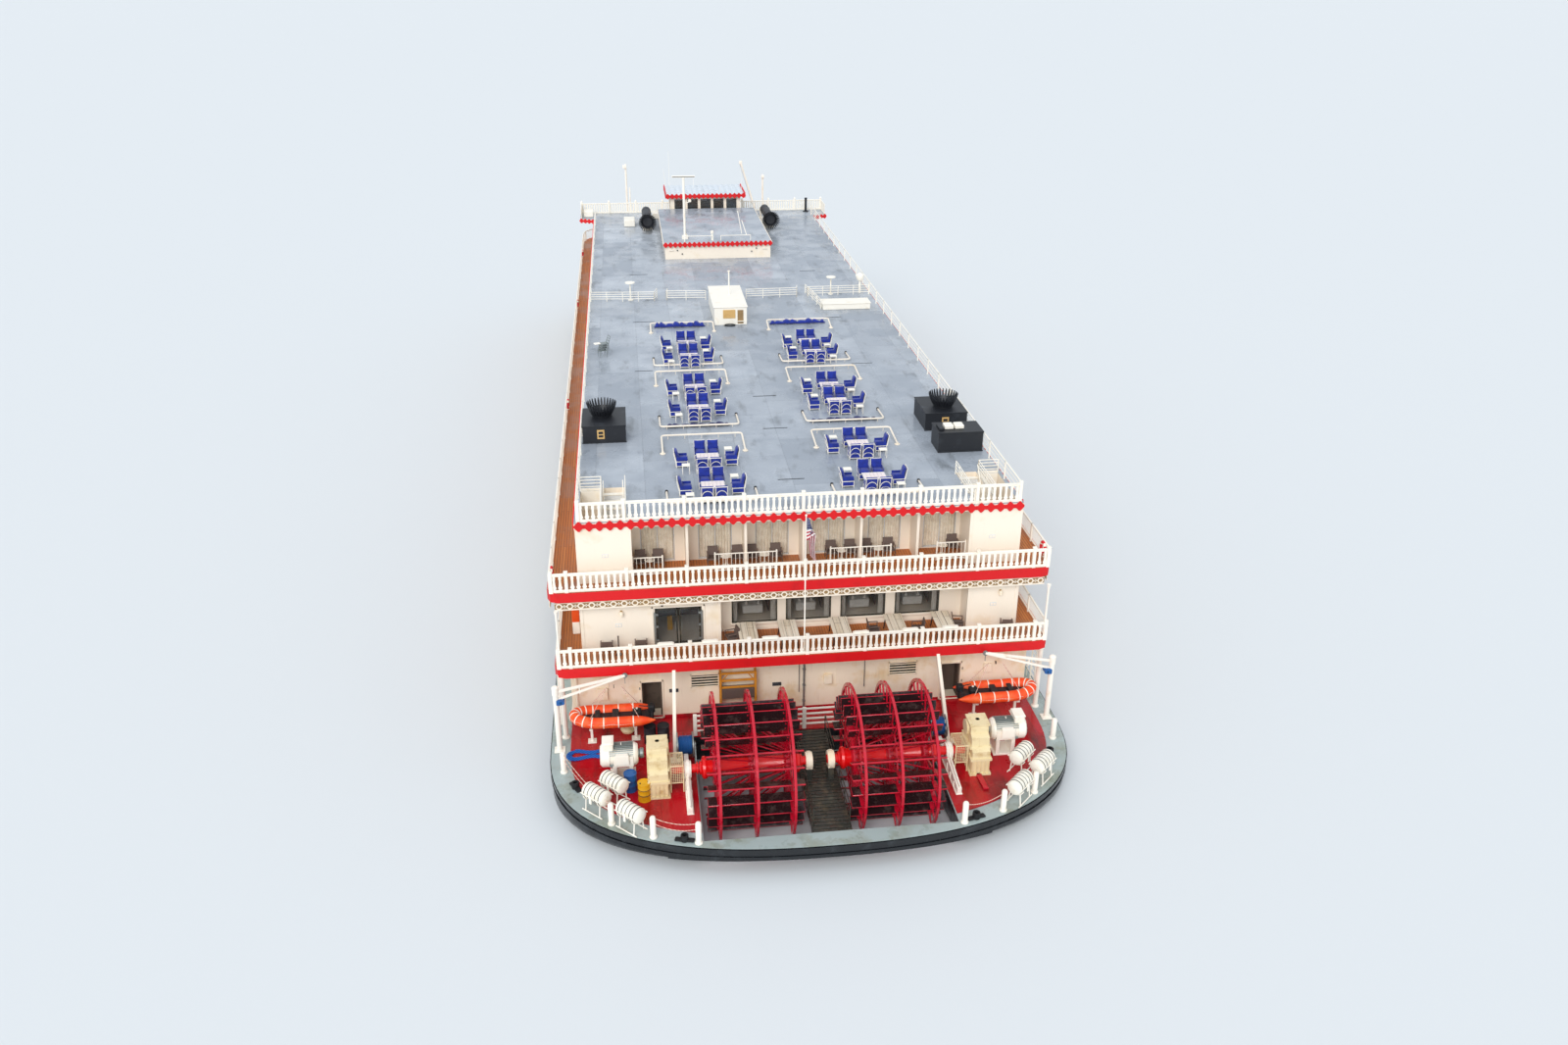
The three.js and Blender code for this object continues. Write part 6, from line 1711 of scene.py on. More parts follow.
@dataclass(frozen=True)
class MainHouse:
    """Doors, louvres, windows and pipes on the long steel house of the main deck."""

    half: float = 11.15
    aft: float = 0.25
    fore: float = 76.0
    top: float = 7.317
    door_x: float = 7.35

    def louvre(self, x0: float, x1: float, z0: float, z1: float) -> Solid:
        """Framed louvre of sloped blades on the aft wall."""
        y = self.aft
        frame = [box(x0, x1, y - 0.07, y, z0, z0 + 0.06, 0.01),
                 box(x0, x1, y - 0.07, y, z1 - 0.06, z1, 0.01),
                 box(x0, x0 + 0.06, y - 0.07, y, z0, z1, 0.01),
                 box(x1 - 0.06, x1, y - 0.07, y, z0, z1, 0.01),
                 # painted shade: a dark plate behind the blades stands for the shade between them
                 box(x0 + 0.02, x1 - 0.02, y - 0.02, y, z0 + 0.02, z1 - 0.02, mark=6)]
        z = np.linspace(z0 + 0.16, z1 - 0.14, 4)
        blade = prism(np.array([(-0.06, -0.014), (-0.052, -0.014), (-0.026, 0.014), (-0.034, 0.014)]),
                      x0 + 0.06, x1 - 0.06, "x")
        return joined([*frame, blade.copies(spots(0.0, y, z))])

    def doorway(self, side: int) -> Solid:
        """Coaming, dark room behind it, a sill, hinges and a half-open slab door."""
        x, y, z = side * self.door_x, self.aft, DECK_TOP
        parts = [box(x - 0.56, x - 0.48, y - 0.06, y + 0.1, z + 0.02, z + 2.18, 0.012),
                 box(x + 0.48, x + 0.56, y - 0.06, y + 0.1, z + 0.02, z + 2.18, 0.012),
                 box(x - 0.56, x + 0.56, y - 0.06, y + 0.1, z + 2.1, z + 2.18, 0.012),
                 box(x - 0.56, x + 0.56, y - 0.06, y + 0.1, z + 0.02, z + 0.1, 0.012),
                 # painted shade: the room's back and side panels are dim brown for the shade inside the
                 # doorway
                 box(x - 0.47, x + 0.47, y + 0.7, y + 0.79, z + 0.11, z + 2.09, mark=2),
                 box(x - 0.475, x - 0.4, y + 0.12, y + 0.75, z + 0.11, z + 2.09, mark=2),
                 box(x + 0.4, x + 0.475, y + 0.12, y + 0.75, z + 0.11, z + 2.09, mark=2)]
        for h in (0.4, 1.1, 1.8):
            parts.append(tube([(x + 0.58 * side, y - 0.07, z + h - 0.06),
                               (x + 0.58 * side, y - 0.07, z + h + 0.06)], 0.025, 6, mark=1))
        return joined(parts)

    def window(self) -> Solid:
        """Small fixed window about its own middle, facing starboard: frame and glass."""
        frame = carried(rectangle(-0.04, 0.04, -0.03, 0.03, 0.01),
                        [(0, -0.42, -0.32), (0, 0.42, -0.32), (0, 0.42, 0.32), (0, -0.42, 0.32)],
                        looped=True)
        return joined([frame, box(-0.01, 0.015, -0.4, 0.4, -0.3, 0.3, mark=1)])

    def aft_wall(self) -> Solid:
        """Doors, louvres, pipes, seams, plates and boxes on the wall behind the wheels."""
        y = self.aft
        parts = [self.doorway(-1), self.doorway(1), self.louvre(-5.5, -4.1, 5.5, 6.25),
                 self.louvre(4.2, 5.64, 5.5, 6.25)]
        disc = turned_profile([(0.27, -0.05), (0.27, 0.0)], 28, "y", 4).moved(0.02, y - 0.02, 6.9)
        pipes = [tube([(0.02, y - 0.1, 6.7), (0.02, y - 0.1, MAIN_Z + 0.08)], 0.05, 8, mark=1),
                 tube([(-0.22, y - 0.08, 6.8), (-0.22, y - 0.08, 4.9)], 0.02, 6, mark=1),
                 tube([(3.0, y - 0.08, 7.3), (3.0, y - 0.08, 5.0)], 0.025, 6, mark=1),
                 tube([(-10.9, y - 0.12, 7.3), (-10.9, y - 0.12, MAIN_Z + 0.08)], 0.06, 8)]
        clamps = [box(-0.05, 0.09, y - 0.16, y, z - 0.03, z + 0.03, 0.008, mark=1)
                  for z in (4.4, 5.3, 6.2)]
        seams = [box(x - 0.02, x + 0.02, y - 0.02, y, MAIN_Z + 0.08, self.top, 0.004)
                 for x in (-9.4, -3.2, 1.6, 4.0, 9.6)]
        belt = box(-self.half, self.half, y - 0.03, y, MAIN_Z + 0.07, MAIN_Z + 0.24, 0.008, mark=5)
        plates = [box(x - 0.22, x + 0.22, y - 0.03, y, 5.3, 5.5, 0.01, mark=3) for x in (-6.3, -1.3)]
        fuse_boxes = [box(x - w, x + w, y - 0.16, y, z, z + h, 0.015)
                      for x, w, z, h in ((1.2, 0.2, 5.3, 0.5), (-9.7, 0.25, 5.2, 0.6),
                                         (9.2, 0.2, 5.4, 0.45), (-2.0, 0.12, 6.5, 0.2))]
        return joined([*parts, disc, *pipes, *clamps, *seams, belt, *plates, *fuse_boxes])

    def side_wall(self) -> Solid:
        """Windows, slab doors and the fender bar along the starboard side."""
        sides = spread(4.0, self.fore - 3, 3.0)
        window = self.window().copies(spots(self.half + 0.012, sides, 6.3))
        doors = spread(12.0, 66.0, 13.5)
        low = spots(self.half, doors + 1.1, DECK_TOP + 0.1)
        slabs = boxes(low, low + (0.04, 0.9, 2.0))
        fender = box(self.half, self.half + 0.05, self.aft, self.fore, 4.6, 4.72, 0.015)
        return joined([window, slabs, fender])

    def guard_rail(self) -> Solid:
        """Two-bar rail along the starboard deck edge and the stanchions to the deck above."""
        posts = spread(2.0, 76.0, 2.96)
        rail = [tube([(11.93, 1.2, z), (11.93, 72.0, z)], 0.02, 5) for z in (4.3, 4.75)]
        uprights = rods(spots(11.93, posts, MAIN_Z), spots(11.93, posts, 4.77), 0.025, 5)
        high = spread(5.5, 71.5, 5.5)
        stanchions = rods(spots(11.6, high, DECK_TOP), spots(11.6, high, self.top + 0.002), 0.06, 8)
        return joined([*rail, uprights, stanchions])

    def build(self) -> None:
        """Fittings of the aft wall, those of both sides and the guards, each as one piece."""
        make("house_aft_fittings", self.aft_wall(),
             [RUSTY_CREAM, GALVANISED, ROOM_SHADE, DARK_GLASS, WHEEL_RED, DECK_RED, STEEL_DARK])
        make("house_side_fittings", self.side_wall().doubled(), [CREAM, DARK_GLASS])
        make("main_deck_guard_rails", self.guard_rail().doubled(), [WHITE])


@dataclass(frozen=True)
class Saloon:
    """Second deck aft: window frames, folding glass doors, slatted tables, chairs, lamps."""

    left_y: float = 0.5
    recess_y: float = 1.65
    left_x: float = -3.94
    right_x: float = 8.0
    floor: float = SECOND_Z + LIFT
    windows: tuple[float, ...] = (-2.23, 0.41, 3.1, 5.8)
    window_half: float = 1.1
    sill: float = 0.45
    head: float = 1.65

    def opening(self, x: float) -> Solid:
        """Dark frame and a pale moulded sill round one window of the recess."""
        y, z0, z1, w = self.recess_y, self.floor + self.sill, self.floor + self.head, self.window_half
        edge = 0.07
        bars = [(x - w - 0.01, x + w + 0.01, z1 - 0.04, z1 + 0.02),
                (x - w - 0.01, x + w + 0.01, z0 - 0.02, z0 + 0.04),
                (x - w - 0.01, x - w + 0.05, z0, z1), (x + w - 0.05, x + w + 0.01, z0, z1)]
        frame = joined([box(a, b, y - 0.02, y + 0.06, c, d, 0.008, mark=4) for a, b, c, d in bars])
        return joined([frame,
                       box(x - w - edge, x + w + edge, y - 0.09, y + 0.02, z0 - 0.12, z0 - 0.02, 0.015)])

    def dining(self, x: float) -> Solid:
        """What shows behind one window: curtains drawn to its sides, a laid table and four chairs."""
        z, w = self.floor + 0.1, self.window_half
        parts = [box(x - 0.5, x + 0.5, 2.55, 3.45, z + 0.3, z + 0.74, 0.03)]
        for dx, dy in ((-0.3, 2.75), (0.3, 2.75), (0.3, 3.2)):
            glass = turned_profile([(0.09, 0.0), (0.05, 0.1), (0.01, 0.22)], 8)
            parts.append(glass.moved(x + dx, dy, z + 0.742))
        for s in SIDES:
            u = np.linspace(0, 1, 21)
            fold = np.column_stack([x + s * (w - 0.02 - 0.26 * u), 2.0 + 0.03 * np.sin(u * 30)])
            thick = np.concatenate([fold, (fold + (0, 0.03))[::-1]])
            parts.append(prism(thick if s < 0 else thick[::-1], z, z + 1.75))
            for dy in (2.75, 3.25):
                parts.append(box(x + s * 0.78 - 0.03, x + s * 0.78 + 0.03, dy - 0.22, dy + 0.22,
                                 z + 0.4, z + 0.98, 0.02, mark=1))
        return joined(parts)

    def behind_doors(self) -> Solid:
        """What shows behind the glass doors: bar counter, shelves, crates and a folded floor sign."""
        z = self.floor + 0.1
        parts = [box(-7.1, -4.8, 3.3, 3.9, z, z + 1.0, 0.03, mark=2),
                 # painted shade: the back wall, and the crates of mark 1, take the dim room colour for the
                 # shade in the bar
                 box(-7.1, -4.8, 5.2, 5.3, z, z + 2.1, mark=1)]
        parts += [box(x - 0.2, x + 0.2, 3.35, 3.8, z + 1.0, z + h, 0.02, mark=m)
                  for x, h, m in ((-6.7, 1.3, 0), (-6.1, 1.15, 1), (-5.5, 1.35, 3), (-5.05, 1.2, 0))]
        parts += [box(x - 0.13, x + 0.13, 4.9, 5.2, z + 1.2, z + 1.7, 0.02, mark=m)
                  for x, m in ((-6.8, 0), (-6.3, 2), (-5.7, 0), (-5.2, 2))]
        parts.append(prism(np.array([(1.9, z), (1.98, z), (2.1, z + 0.62), (2.22, z), (2.3, z),
                                     (2.15, z + 0.68), (2.05, z + 0.68)]),
                           -6.45, -6.2, "x", 4))
        return joined(parts)

    def door_leaf(self, hinge: float, side: int) -> Solid:
        """Dark metal frame round clear glass, with a pull bar, straps and the hinge barrel."""
        y = self.left_y + 0.01
        width, height, z = 1.025, 1.94, self.floor + 0.13
        x0, x1 = sorted((hinge + side * 0.05, hinge + side * (0.05 + width)))
        rim = 0.08
        bars = [(x0, x1, z, z + 0.12), (x0, x1, z + height - rim, z + height),
                (x0, x0 + rim, z, z + height), (x1 - rim, x1, z, z + height)]
        parts = [box(a, b, y, y + 0.06, c, d, 0.01) for a, b, c, d in bars]
        parts.append(box(x0 + rim, x1 - rim, y + 0.02, y + 0.04, z + 0.12, z + height - rim, mark=1))
        pull = hinge + side * (width - 0.08)
        parts.append(tube([(pull, y, z + 0.8), (pull, y - 0.06, z + 0.8), (pull, y - 0.06, z + 1.2),
                           (pull, y, z + 1.2)], 0.014, 6, mark=2))
        barrel = tube([(hinge, self.left_y - 0.058, z + 0.1),
                       (hinge, self.left_y - 0.058, z + height - 0.16)], 0.05, 10, mark=2)
        for h in (0.2, 0.95, 1.6):
            a, b = sorted((hinge, hinge + side * 0.16))
            parts.append(box(a, b, self.left_y - 0.05, y + 0.02, z + h, z + h + 0.1, 0.008, mark=2))
        return joined([*parts, barrel])

    def slat_table(self) -> Solid:
        """Long table of five pale slats fore and aft, on a dark frame with four splayed legs."""
        slats = [box(x - 0.085, x + 0.085, -0.8, 0.8, 0.71, 0.74, 0.008)
                 for x in np.linspace(-0.36, 0.36, 5)]
        frame = [box(-0.4, 0.4, y - 0.03, y + 0.03, 0.66, 0.71, mark=1) for y in (-0.6, 0.6)]
        corners = [(sx, sy) for sx in SIDES for sy in SIDES]
        legs = rods([(sx * 0.34, sy * 0.6, 0.68) for sx, sy in corners],
                    [(sx * 0.4, sy * 0.68, 0) for sx, sy in corners], 0.028, 6, mark=1)
        return joined([*slats, *frame, legs])

    def wall_fittings(self) -> Solid:
        """Window frames, corner posts, skirting, door case, plates and lamps of the aft walls."""
        y, z = self.left_y, self.floor
        frames = [self.opening(x) for x in self.windows]
        corner = [box(x - 0.08, x + 0.08, y - 0.03, y + 0.05, z, THIRD_Z - FASCIA - LIFT, 0.01)
                  for x in (-10.44, self.left_x - 0.08, self.right_x + 0.08, 10.44)]
        skirting = [box(-HOUSE_HALF, self.left_x - 0.001, y - 0.02, y, z, z + 0.14),
                    box(self.right_x, HOUSE_HALF, y - 0.02, y, z, z + 0.14),
                    box(self.left_x, self.right_x, self.recess_y - 0.02, self.recess_y, z, z + 0.14)]
        door_case = [box(a, b, y - 0.05, y + 0.1, c, d, 0.012)
                     for a, b, c, d in ((-7.2, -7.12, z + 0.05, z + 2.2),
                                        (-4.78, -4.7, z + 0.05, z + 2.2),
                                        (-7.2, -4.7, z + 2.12, z + 2.2))]
        plates = [box(x - 0.15, x + 0.15, y - 0.02, y, z + 1.24, z + 1.42, 0.005, mark=5)
                  for x in (-8.75, 9.3)]
        switches = [box(x - 0.055, x + 0.055, y - 0.026, y - 0.018, z + 1.27, z + 1.39)
                        for x in (-8.82, -8.68, 9.23, 9.37)]
        dome = turned_profile([(0.01, -0.14), (0.06, -0.1), (0.07, 0.0)], 12, "y", 4).moved(-6.7, y, z + 2.3)
        bulb = turned_profile([(0.03, -0.12), (0.09, -0.08), (0.1, 0.08), (0.05, 0.14)], 14, mark=3)
        lamp = joined([box(-0.05, 0.05, -0.03, 0.0, -0.16, 0.16, 0.012, mark=2), bulb.moved(y=-0.12)])
        lamps = [lamp.moved(x, y, z + 1.95) for x in (-8.6, 9.6)]
        return joined([*frames, *corner, *skirting, *door_case, *plates, *switches, *lamps, dome])

    def furnish(self) -> None:
        """Tables, chairs, the locker and the flower trays of the promenade."""
        z = self.floor
        tables = np.array([(x, 0.35, z) for x in (-2.7, -0.75, 1.75, 4.45, 6.8)])
        make("slatted_tables", self.slat_table().copies(tables), [SLAT_WOOD, CASING])
        chair = wicker_chair()
        chairs = [chair.turned(a).moved(x, cy, z)
                  for x, cy, a in ((-3.45, 0.45, -75), (3.4, 0.4, 90), (5.55, 0.2, -95), (7.6, 0.5, 80),
                                   (-9.35, 0.1, 180), (-7.75, 0.1, 180), (9.9, 0.0, 170))]
        post = turned_profile([(0.14, 0), (0.14, 0.03), (0.035, 0.06), (0.035, 0.95), (0.05, 1.0)], 12)
        post = post.moved(-8.8, 0.05, z)
        make("saloon_chairs", joined([*chairs, post]), [WICKER])
        locker = joined([box(-11.0, -10.65, 2.2, 2.6, z, z + 0.65, 0.02),
                         box(-11.0, -10.65, 2.2, 2.6, z + 0.65, z + 1.4, 0.02, mark=1)])
        make("promenade_locker", locker,
             [WHITE, Enamel("orange_locker_enamel", "#F0561A", "#D94A12", 0.4)])
        tray = joined([box(-0.39, 0.39, -0.13, 0.13, RAIL_HEIGHT, RAIL_HEIGHT + 0.05, 0.015),
                       box(-0.34, 0.34, -0.1, 0.1, RAIL_HEIGHT + 0.05, RAIL_HEIGHT + 0.09, 0.02)])
        y_rail = SECOND_AFT + RAIL_INSET
        make("handrail_flower_trays",
             tray.copies([(x, y_rail, SECOND_Z) for x in (-6.62, -4.57, -1.75, 2.55, 4.92, 6.86)]),
             [WHITE])

    def build(self) -> None:
        """Fittings on the walls, what shows behind them, the door leaves and the furniture."""
        make("saloon_wall_fittings", self.wall_fittings(),
             [CREAM, DARK_GLASS, BRASS, RUSTY_CREAM, STEEL_DARK, PALE_ALLOY])
        make("saloon_tables_laid", joined([self.dining(x) for x in self.windows]), [LINEN, WICKER])
        make("saloon_bar", self.behind_doors(), [CREAM, ROOM_SHADE, WICKER, BLUE_STEEL, YELLOW])
        for body, node, hinge, side in ((Body.PORT_DOOR, "saloon_door_port", -7.05, 1),
                                        (Body.STARBOARD_DOOR, "saloon_door_starboard", -4.85, -1)):
            make(f"glass_{node}", self.door_leaf(hinge, side), [STEEL_DARK, CLEAR_GLASS, GALVANISED],
                 body, [node])
        self.furnish()


def wicker_chair() -> Solid:
    """Woven armchair about its own middle, facing -y: leaning square back, seat, arms and legs."""
    back = prism(np.array([(0.2, 0.42), (0.25, 0.42), (0.33, 0.86), (0.28, 0.86)]), -0.25, 0.25, "x")
    seat = box(-0.26, 0.26, -0.26, 0.24, 0.36, 0.44, 0.015)
    arms = [box(s * 0.27 - 0.03, s * 0.27 + 0.03, -0.26, 0.26, 0.6, 0.64, 0.01) for s in SIDES]
    legs = rods([(sx * 0.27, sy * 0.24, 0.62) for sx in SIDES for sy in SIDES],
                [(sx * 0.27, sy * 0.25, 0) for sx in SIDES for sy in SIDES], 0.022, 5)
    return joined([back, seat, *arms, legs])


@dataclass(frozen=True)
class Cabins:
    """Third deck aft: sliding glass doors with net curtains, fins, furniture and rails."""

    back_y: float = 2.8
    block_x: float = 8.03
    doors: tuple[float, ...] = (-6.75, -4, -1.25, 1.5, 4.25, 7)
    fins: tuple[float, ...] = (-5.4, -2.65, 0.1, 2.85, 5.6)
    door_half: float = 0.81
    door_low: float = THIRD_Z + 0.06
    door_high: float = THIRD_Z + 2.06
    rails_at: tuple[float, ...] = (-8.03, -2.65, 2.85, 8.03)
    gathers: int = 97  # points across a curtain

    def door(self, x: float) -> Solid:
        """Frame of a sliding pair with its glass, set in the pocket over the curtain."""
        y, z0, z1, w = self.back_y, self.door_low, self.door_high, self.door_half
        bars = [(x - w, x - w + 0.035, z0, z1), (x + w - 0.035, x + w, z0, z1),
                (x - w, x + w, z1 - 0.035, z1), (x - w, x + w, z0, z0 + 0.05),
                (x - 0.02, x + 0.02, z0, z1)]
        frame = [box(a, b, y - 0.02, y + 0.035, c, d, 0.008) for a, b, c, d in bars]
        return joined([*frame,
                       box(x - w + 0.04, x + w - 0.04, y + 0.005, y + 0.013, z0 + 0.05, z1 - 0.04, mark=1)])

    def curtain(self, x: float) -> tuple[np.ndarray, np.ndarray]:
        """Grid and faces of a net gathered across one door: y = middle + a sin(2 pi s / pitch)."""
        s = np.linspace(0, 1, self.gathers)
        t = np.linspace(0, 1, 9)
        across = x + (s - 0.5) * 2 * (self.door_half - 0.07)
        depth = 0.036 * np.sin(2 * math.pi * s * 11) * (0.7 + 0.3 * np.sin(7 * s + x))
        grid = np.empty((len(t), len(s), 3))
        grid[..., 0] = across[None] + 0.006 * np.sin(t[:, None] * 3 + s[None] * 40)
        grid[..., 1] = self.back_y + 0.07 + depth[None] * (0.75 + 0.25 * t[:, None])
        grid[..., 2] = self.door_high - 0.05 - t[:, None] * (self.door_high - self.door_low - 0.1)
        index = np.arange(grid.size // 3).reshape(grid.shape[:2])
        return grid.reshape(-1, 3), grid_faces(index).reshape(-1, 4)

    def build_curtains(self) -> None:
        """One sheet of net at each door, hung in gathers."""
        for number, x in enumerate(self.doors, 1):
            corners, faces = self.curtain(x)
            piece = make(f"cabin_curtain_{number}", Solid(corners, ((faces, 0),)), [CURTAIN])

    def balcony(self) -> Solid:
        """Low upright-bar rails in front of each second partition."""
        parts = []
        for p in self.rails_at:
            x0, x1 = max(p - 1.5, -self.block_x + 0.02), min(p + 1.5, self.block_x - 0.02)
            y, z = 1.42, THIRD_Z + LIFT
            parts += [box(x0, x1, y - 0.025, y + 0.025, z + h, z + h + 0.05, 0.008)
                      for h in (0.05, 0.9)]
            bars = spread(x0 + 0.03, x1 - 0.03, 0.19)
            low = spots(bars - 0.012, y - 0.012, z + 0.05)
            parts.append(boxes(low, low + (0.024, 0.024, 0.88)))
            for x in (x0 + 0.04, x1 - 0.04):
                parts.append(box(x - 0.035, x + 0.035, y - 0.035, y + 0.035, z, z + 1.02, 0.01))
        return joined(parts)

    def build(self) -> None:
        """Doors, curtains, lamps and trims, the balcony rails and the furniture."""
        z = THIRD_Z + LIFT
        doors = [self.door(x) for x in self.doors]
        fins = [box(x - 0.065, x + 0.065, 1.42, 1.5, z, SUN_Z - 0.31, 0.01, mark=2) for x in self.fins]
        hinges = [box(x + 0.0605, x + 0.08, 2.0, 2.08, z + h, z + h + 0.1, mark=3)
                  for x in self.fins
                  for h in (0.5, 1.4, 2.2)]
        corner = [box(side * 8.03 - 0.07, side * 8.03 + 0.07, 0.86, 0.98, z, SUN_Z - 0.31, 0.01, mark=2)
                  for side in SIDES]
        plates = [box(x - 0.15, x + 0.15, 0.88, 0.9, z + 1.3, z + 1.48, 0.005) for x in (-9.2, 9.1)]
        panes = [box(x - 0.055, x + 0.055, 0.874, 0.882, z + 1.33, z + 1.45, mark=2)
                 for x in (-9.27, -9.13, 9.03, 9.17)]
        sill = [box(-8.02, 8.02, self.back_y - 0.03, self.back_y, z, z + 0.05, 0.008, mark=2)]
        make("cabin_doors", joined([*doors, *fins, *hinges, *corner, *plates, *panes, *sill]),
             [PALE_ALLOY, CABIN_GLASS, CREAM, GALVANISED])
        self.build_curtains()
        make("balcony_dividers", self.balcony(), [WHITE])
        chair = wicker_chair()
        places = [(x, 2.15, z)
                  for x in (-7.6, -6.75, -4.15, -2.98, -2.3, -1.13, 1.56, 2.48, 3.28, 4.37, 7.55)]
        make("balcony_chairs", chair.copies(places), [WICKER])
        table = joined([turned_profile([(0.24, 0.5), (0.25, 0.515), (0.24, 0.53)], 20),
                        rods([(0.0, 0, 0.5)], [(0.0, 0, 0.02)], 0.03, 8),
                        turned_profile([(0.2, 0), (0.18, 0.025)], 16)])
        tables = [(x, 2.0, z) for x in (-7.17, -3.56, -1.7, 2.02, 3.82, 7.0)]
        make("balcony_tables", table.copies(tables), [WHITE])


@dataclass(frozen=True)
class SideWalls:
    """Windows, doors and lamps along both sides of the passenger houses."""

    half: float = HOUSE_HALF
    rows: tuple[tuple[float, float, float], ...] = ((SECOND_Z, 6.0, 74.0), (THIRD_Z, 8.6, 69.5))
    pitch: float = 2.9

    def bay(self) -> Solid:
        """One cabin's front about its own middle: a framed window beside a framed door."""
        parts = [box(0.0, 0.02, -1.1, -0.05, 0.85, 1.75, mark=1),
                 box(0.0, 0.02, 0.32, 1.02, 0.06, 1.98, mark=1)]
        for y0, y1, z0, z1 in ((-1.1, -0.05, 0.85, 1.75), (0.32, 1.02, 0.06, 1.98)):
            loop = [(0.02, y0, z0), (0.02, y1, z0), (0.02, y1, z1), (0.02, y0, z1)]
            parts.append(carried(rectangle(-0.035, 0.035, -0.02, 0.02), loop, looped=True))
        parts.append(box(0.0, 0.1, -0.02, 0.08, 1.9, 2.15, 0.02, mark=2))
        parts.append(box(0.0, 0.03, -0.6, -0.56, 0.85, 1.75))
        return joined(parts)

    def build(self) -> None:
        """Both decks on both sides as one piece."""
        rows = []
        for floor, start, end in self.rows:
            y = spread(start, end, self.pitch)[:-1] + 1.4
            rows.append(self.bay().copies(spots(self.half, y, floor)))
        make("cabin_side_windows", joined(rows).doubled(), [CREAM, DARK_GLASS, BRASS])


@dataclass(frozen=True)
class SunDeck:
    """Grey open deck with stair wells, rails, welded details and standing fittings."""

    half: float = 10.52
    aft: float = 0.87
    fore: float = 72.4
    brow: float = 69.0
    brow_half: float = 11.85
    # |x| and y of the stairs' opening and of the open well beside it
    flight: tuple[float, float, float, float] = (8.2, 9.25, 1.1, 4.85)
    well: tuple[float, float, float, float] = (9.33, 10.3, 1.1, 4.57)
    landing: float = 1.7  # the two openings are one aft of here
    steps: int = 12
    thick: float = 0.3
    bar_heights: tuple[float, ...] = (0.2, 0.37, 0.54, 0.7)
    # x, y and half length of the drain slots
    slots: tuple[tuple[float, float, float], ...] = (
        (-6.7, 47.2, 0.67), (6.8, 47.15, 0.63), (-6.6, 33.6, 0.75), (6.6, 33.4, 0.6),
        (-6.85, 22.7, 0.55), (6.77, 22.8, 0.66), (0.0, 17.3, 0.67), (0.0, 12.0, 0.67),
        (-0.06, 4.93, 0.66))

    def plate(self) -> Solid:
        """Deck plates round the stairs and wells, with the wider brow at the fore end."""
        low, high = SUN_Z - self.thick, SUN_Z
        x0, x1, y0, y1 = self.flight
        x2, x3, _, y2 = self.well
        h, b, slant = self.half, self.brow_half, self.brow + 0.6
        brow = np.array([(-h, y1), (h, y1), (h, self.brow), (b, slant), (b, self.fore),
                         (-b, self.fore), (-b, slant), (-h, self.brow)])
        side = joined([box(x0, h, self.aft, y0, low, high), box(x1, x2, self.landing, y1, low, high),
                       box(x2, x3, y2, y1, low, high), box(x3, h, y0, y1, low, high)])
        parts = [box(-x0, x0, self.aft, y1, low, high), prism(brow, low, high), side.doubled()]
        return joined(parts).marked_where(1, lambda middle, normal: normal[:, 2] < 0.5)

    def welds(self) -> Solid:
        """Long weld beads at both sides of the seating, and black strips painted for the shade in the short
        drain slots.
        """
        beads = [box(x - 0.012, x + 0.012, 5.2, 66.0, SUN_Z, SUN_Z + 0.006) for x in (-7.42, 7.42)]
        # painted shade: black strips on the deck for the drain slots
        slots = [box(x - half, x + half, y - 0.03, y + 0.03, SUN_Z, SUN_Z + 0.012, mark=2)
                 for x, y, half in self.slots]
        return joined([*beads, *slots])

    def rail(self) -> Solid:
        """White balustrade at the stern, pipe rails at the sides, cream pales at the brow."""
        stern = UpperDeck("sun_deck", SUN_Z, self.half, self.aft, self.fore, 68.6, FASCIA_RED)
        h, y0, z = self.half - RAIL_INSET, self.aft + RAIL_INSET, SUN_Z + LIFT
        parts = [stern.stern_rail()]
        posts = spread(y0, self.brow + 0.5, 2.75)
        bars = [box(h - 0.035, h + 0.035, y0, self.brow + 0.5,
                    z + RAIL_HEIGHT - 0.06, z + RAIL_HEIGHT, 0.012)]
        bars += [tube([(h, y0, z + f), (h, self.brow + 0.5, z + f)], 0.018, 5)
                 for f in (0.25, 0.5, 0.74)]
        low = spots(h - 0.035, posts - 0.035, z)
        side = joined([*bars, boxes(low, low + (0.07, 0.07, RAIL_HEIGHT))])
        parts.append(side.doubled())
        pale = box(-0.065, 0.065, -0.02, 0.02, 0.12, RAIL_HEIGHT - 0.1, 0.01)
        x = spread(-11.6, 11.6, 0.22)
        y1 = self.fore - 0.17
        parts += [pale.copies(spots(x, y1, z)),
                  box(-11.73, 11.73, y1 - 0.05, y1 + 0.05, z + RAIL_HEIGHT - 0.1, z + RAIL_HEIGHT, 0.015),
                  box(-11.73, 11.73, y1 - 0.035, y1 + 0.035, z, z + 0.14, 0.01)]
        post = joined([box(-0.1, 0.1, -0.1, 0.1, 0, RAIL_HEIGHT + 0.06, 0.012),
                       turned_profile([(0.09, RAIL_HEIGHT + 0.06), (0.12, RAIL_HEIGHT + 0.12),
                                       (0.06, RAIL_HEIGHT + 0.22), (0.01, RAIL_HEIGHT + 0.28)], 12)])
        x = spread(-11.7, 11.7, 2.6)
        parts.append(post.copies(spots(x, y1, z)))
        for side in SIDES:
            parts += [box(min(side * 11.69, side * 11.77), max(side * 11.69, side * 11.77), 69.75, y1,
                          z + f, z + f + 0.1, 0.012)
                      for f in (0.0, RAIL_HEIGHT - 0.1)]
            y = spread(69.8, y1 - 0.2, 0.22)
            parts.append(pale.turned(90).copies(spots(side * 11.73, y, z)))
        return joined(parts)

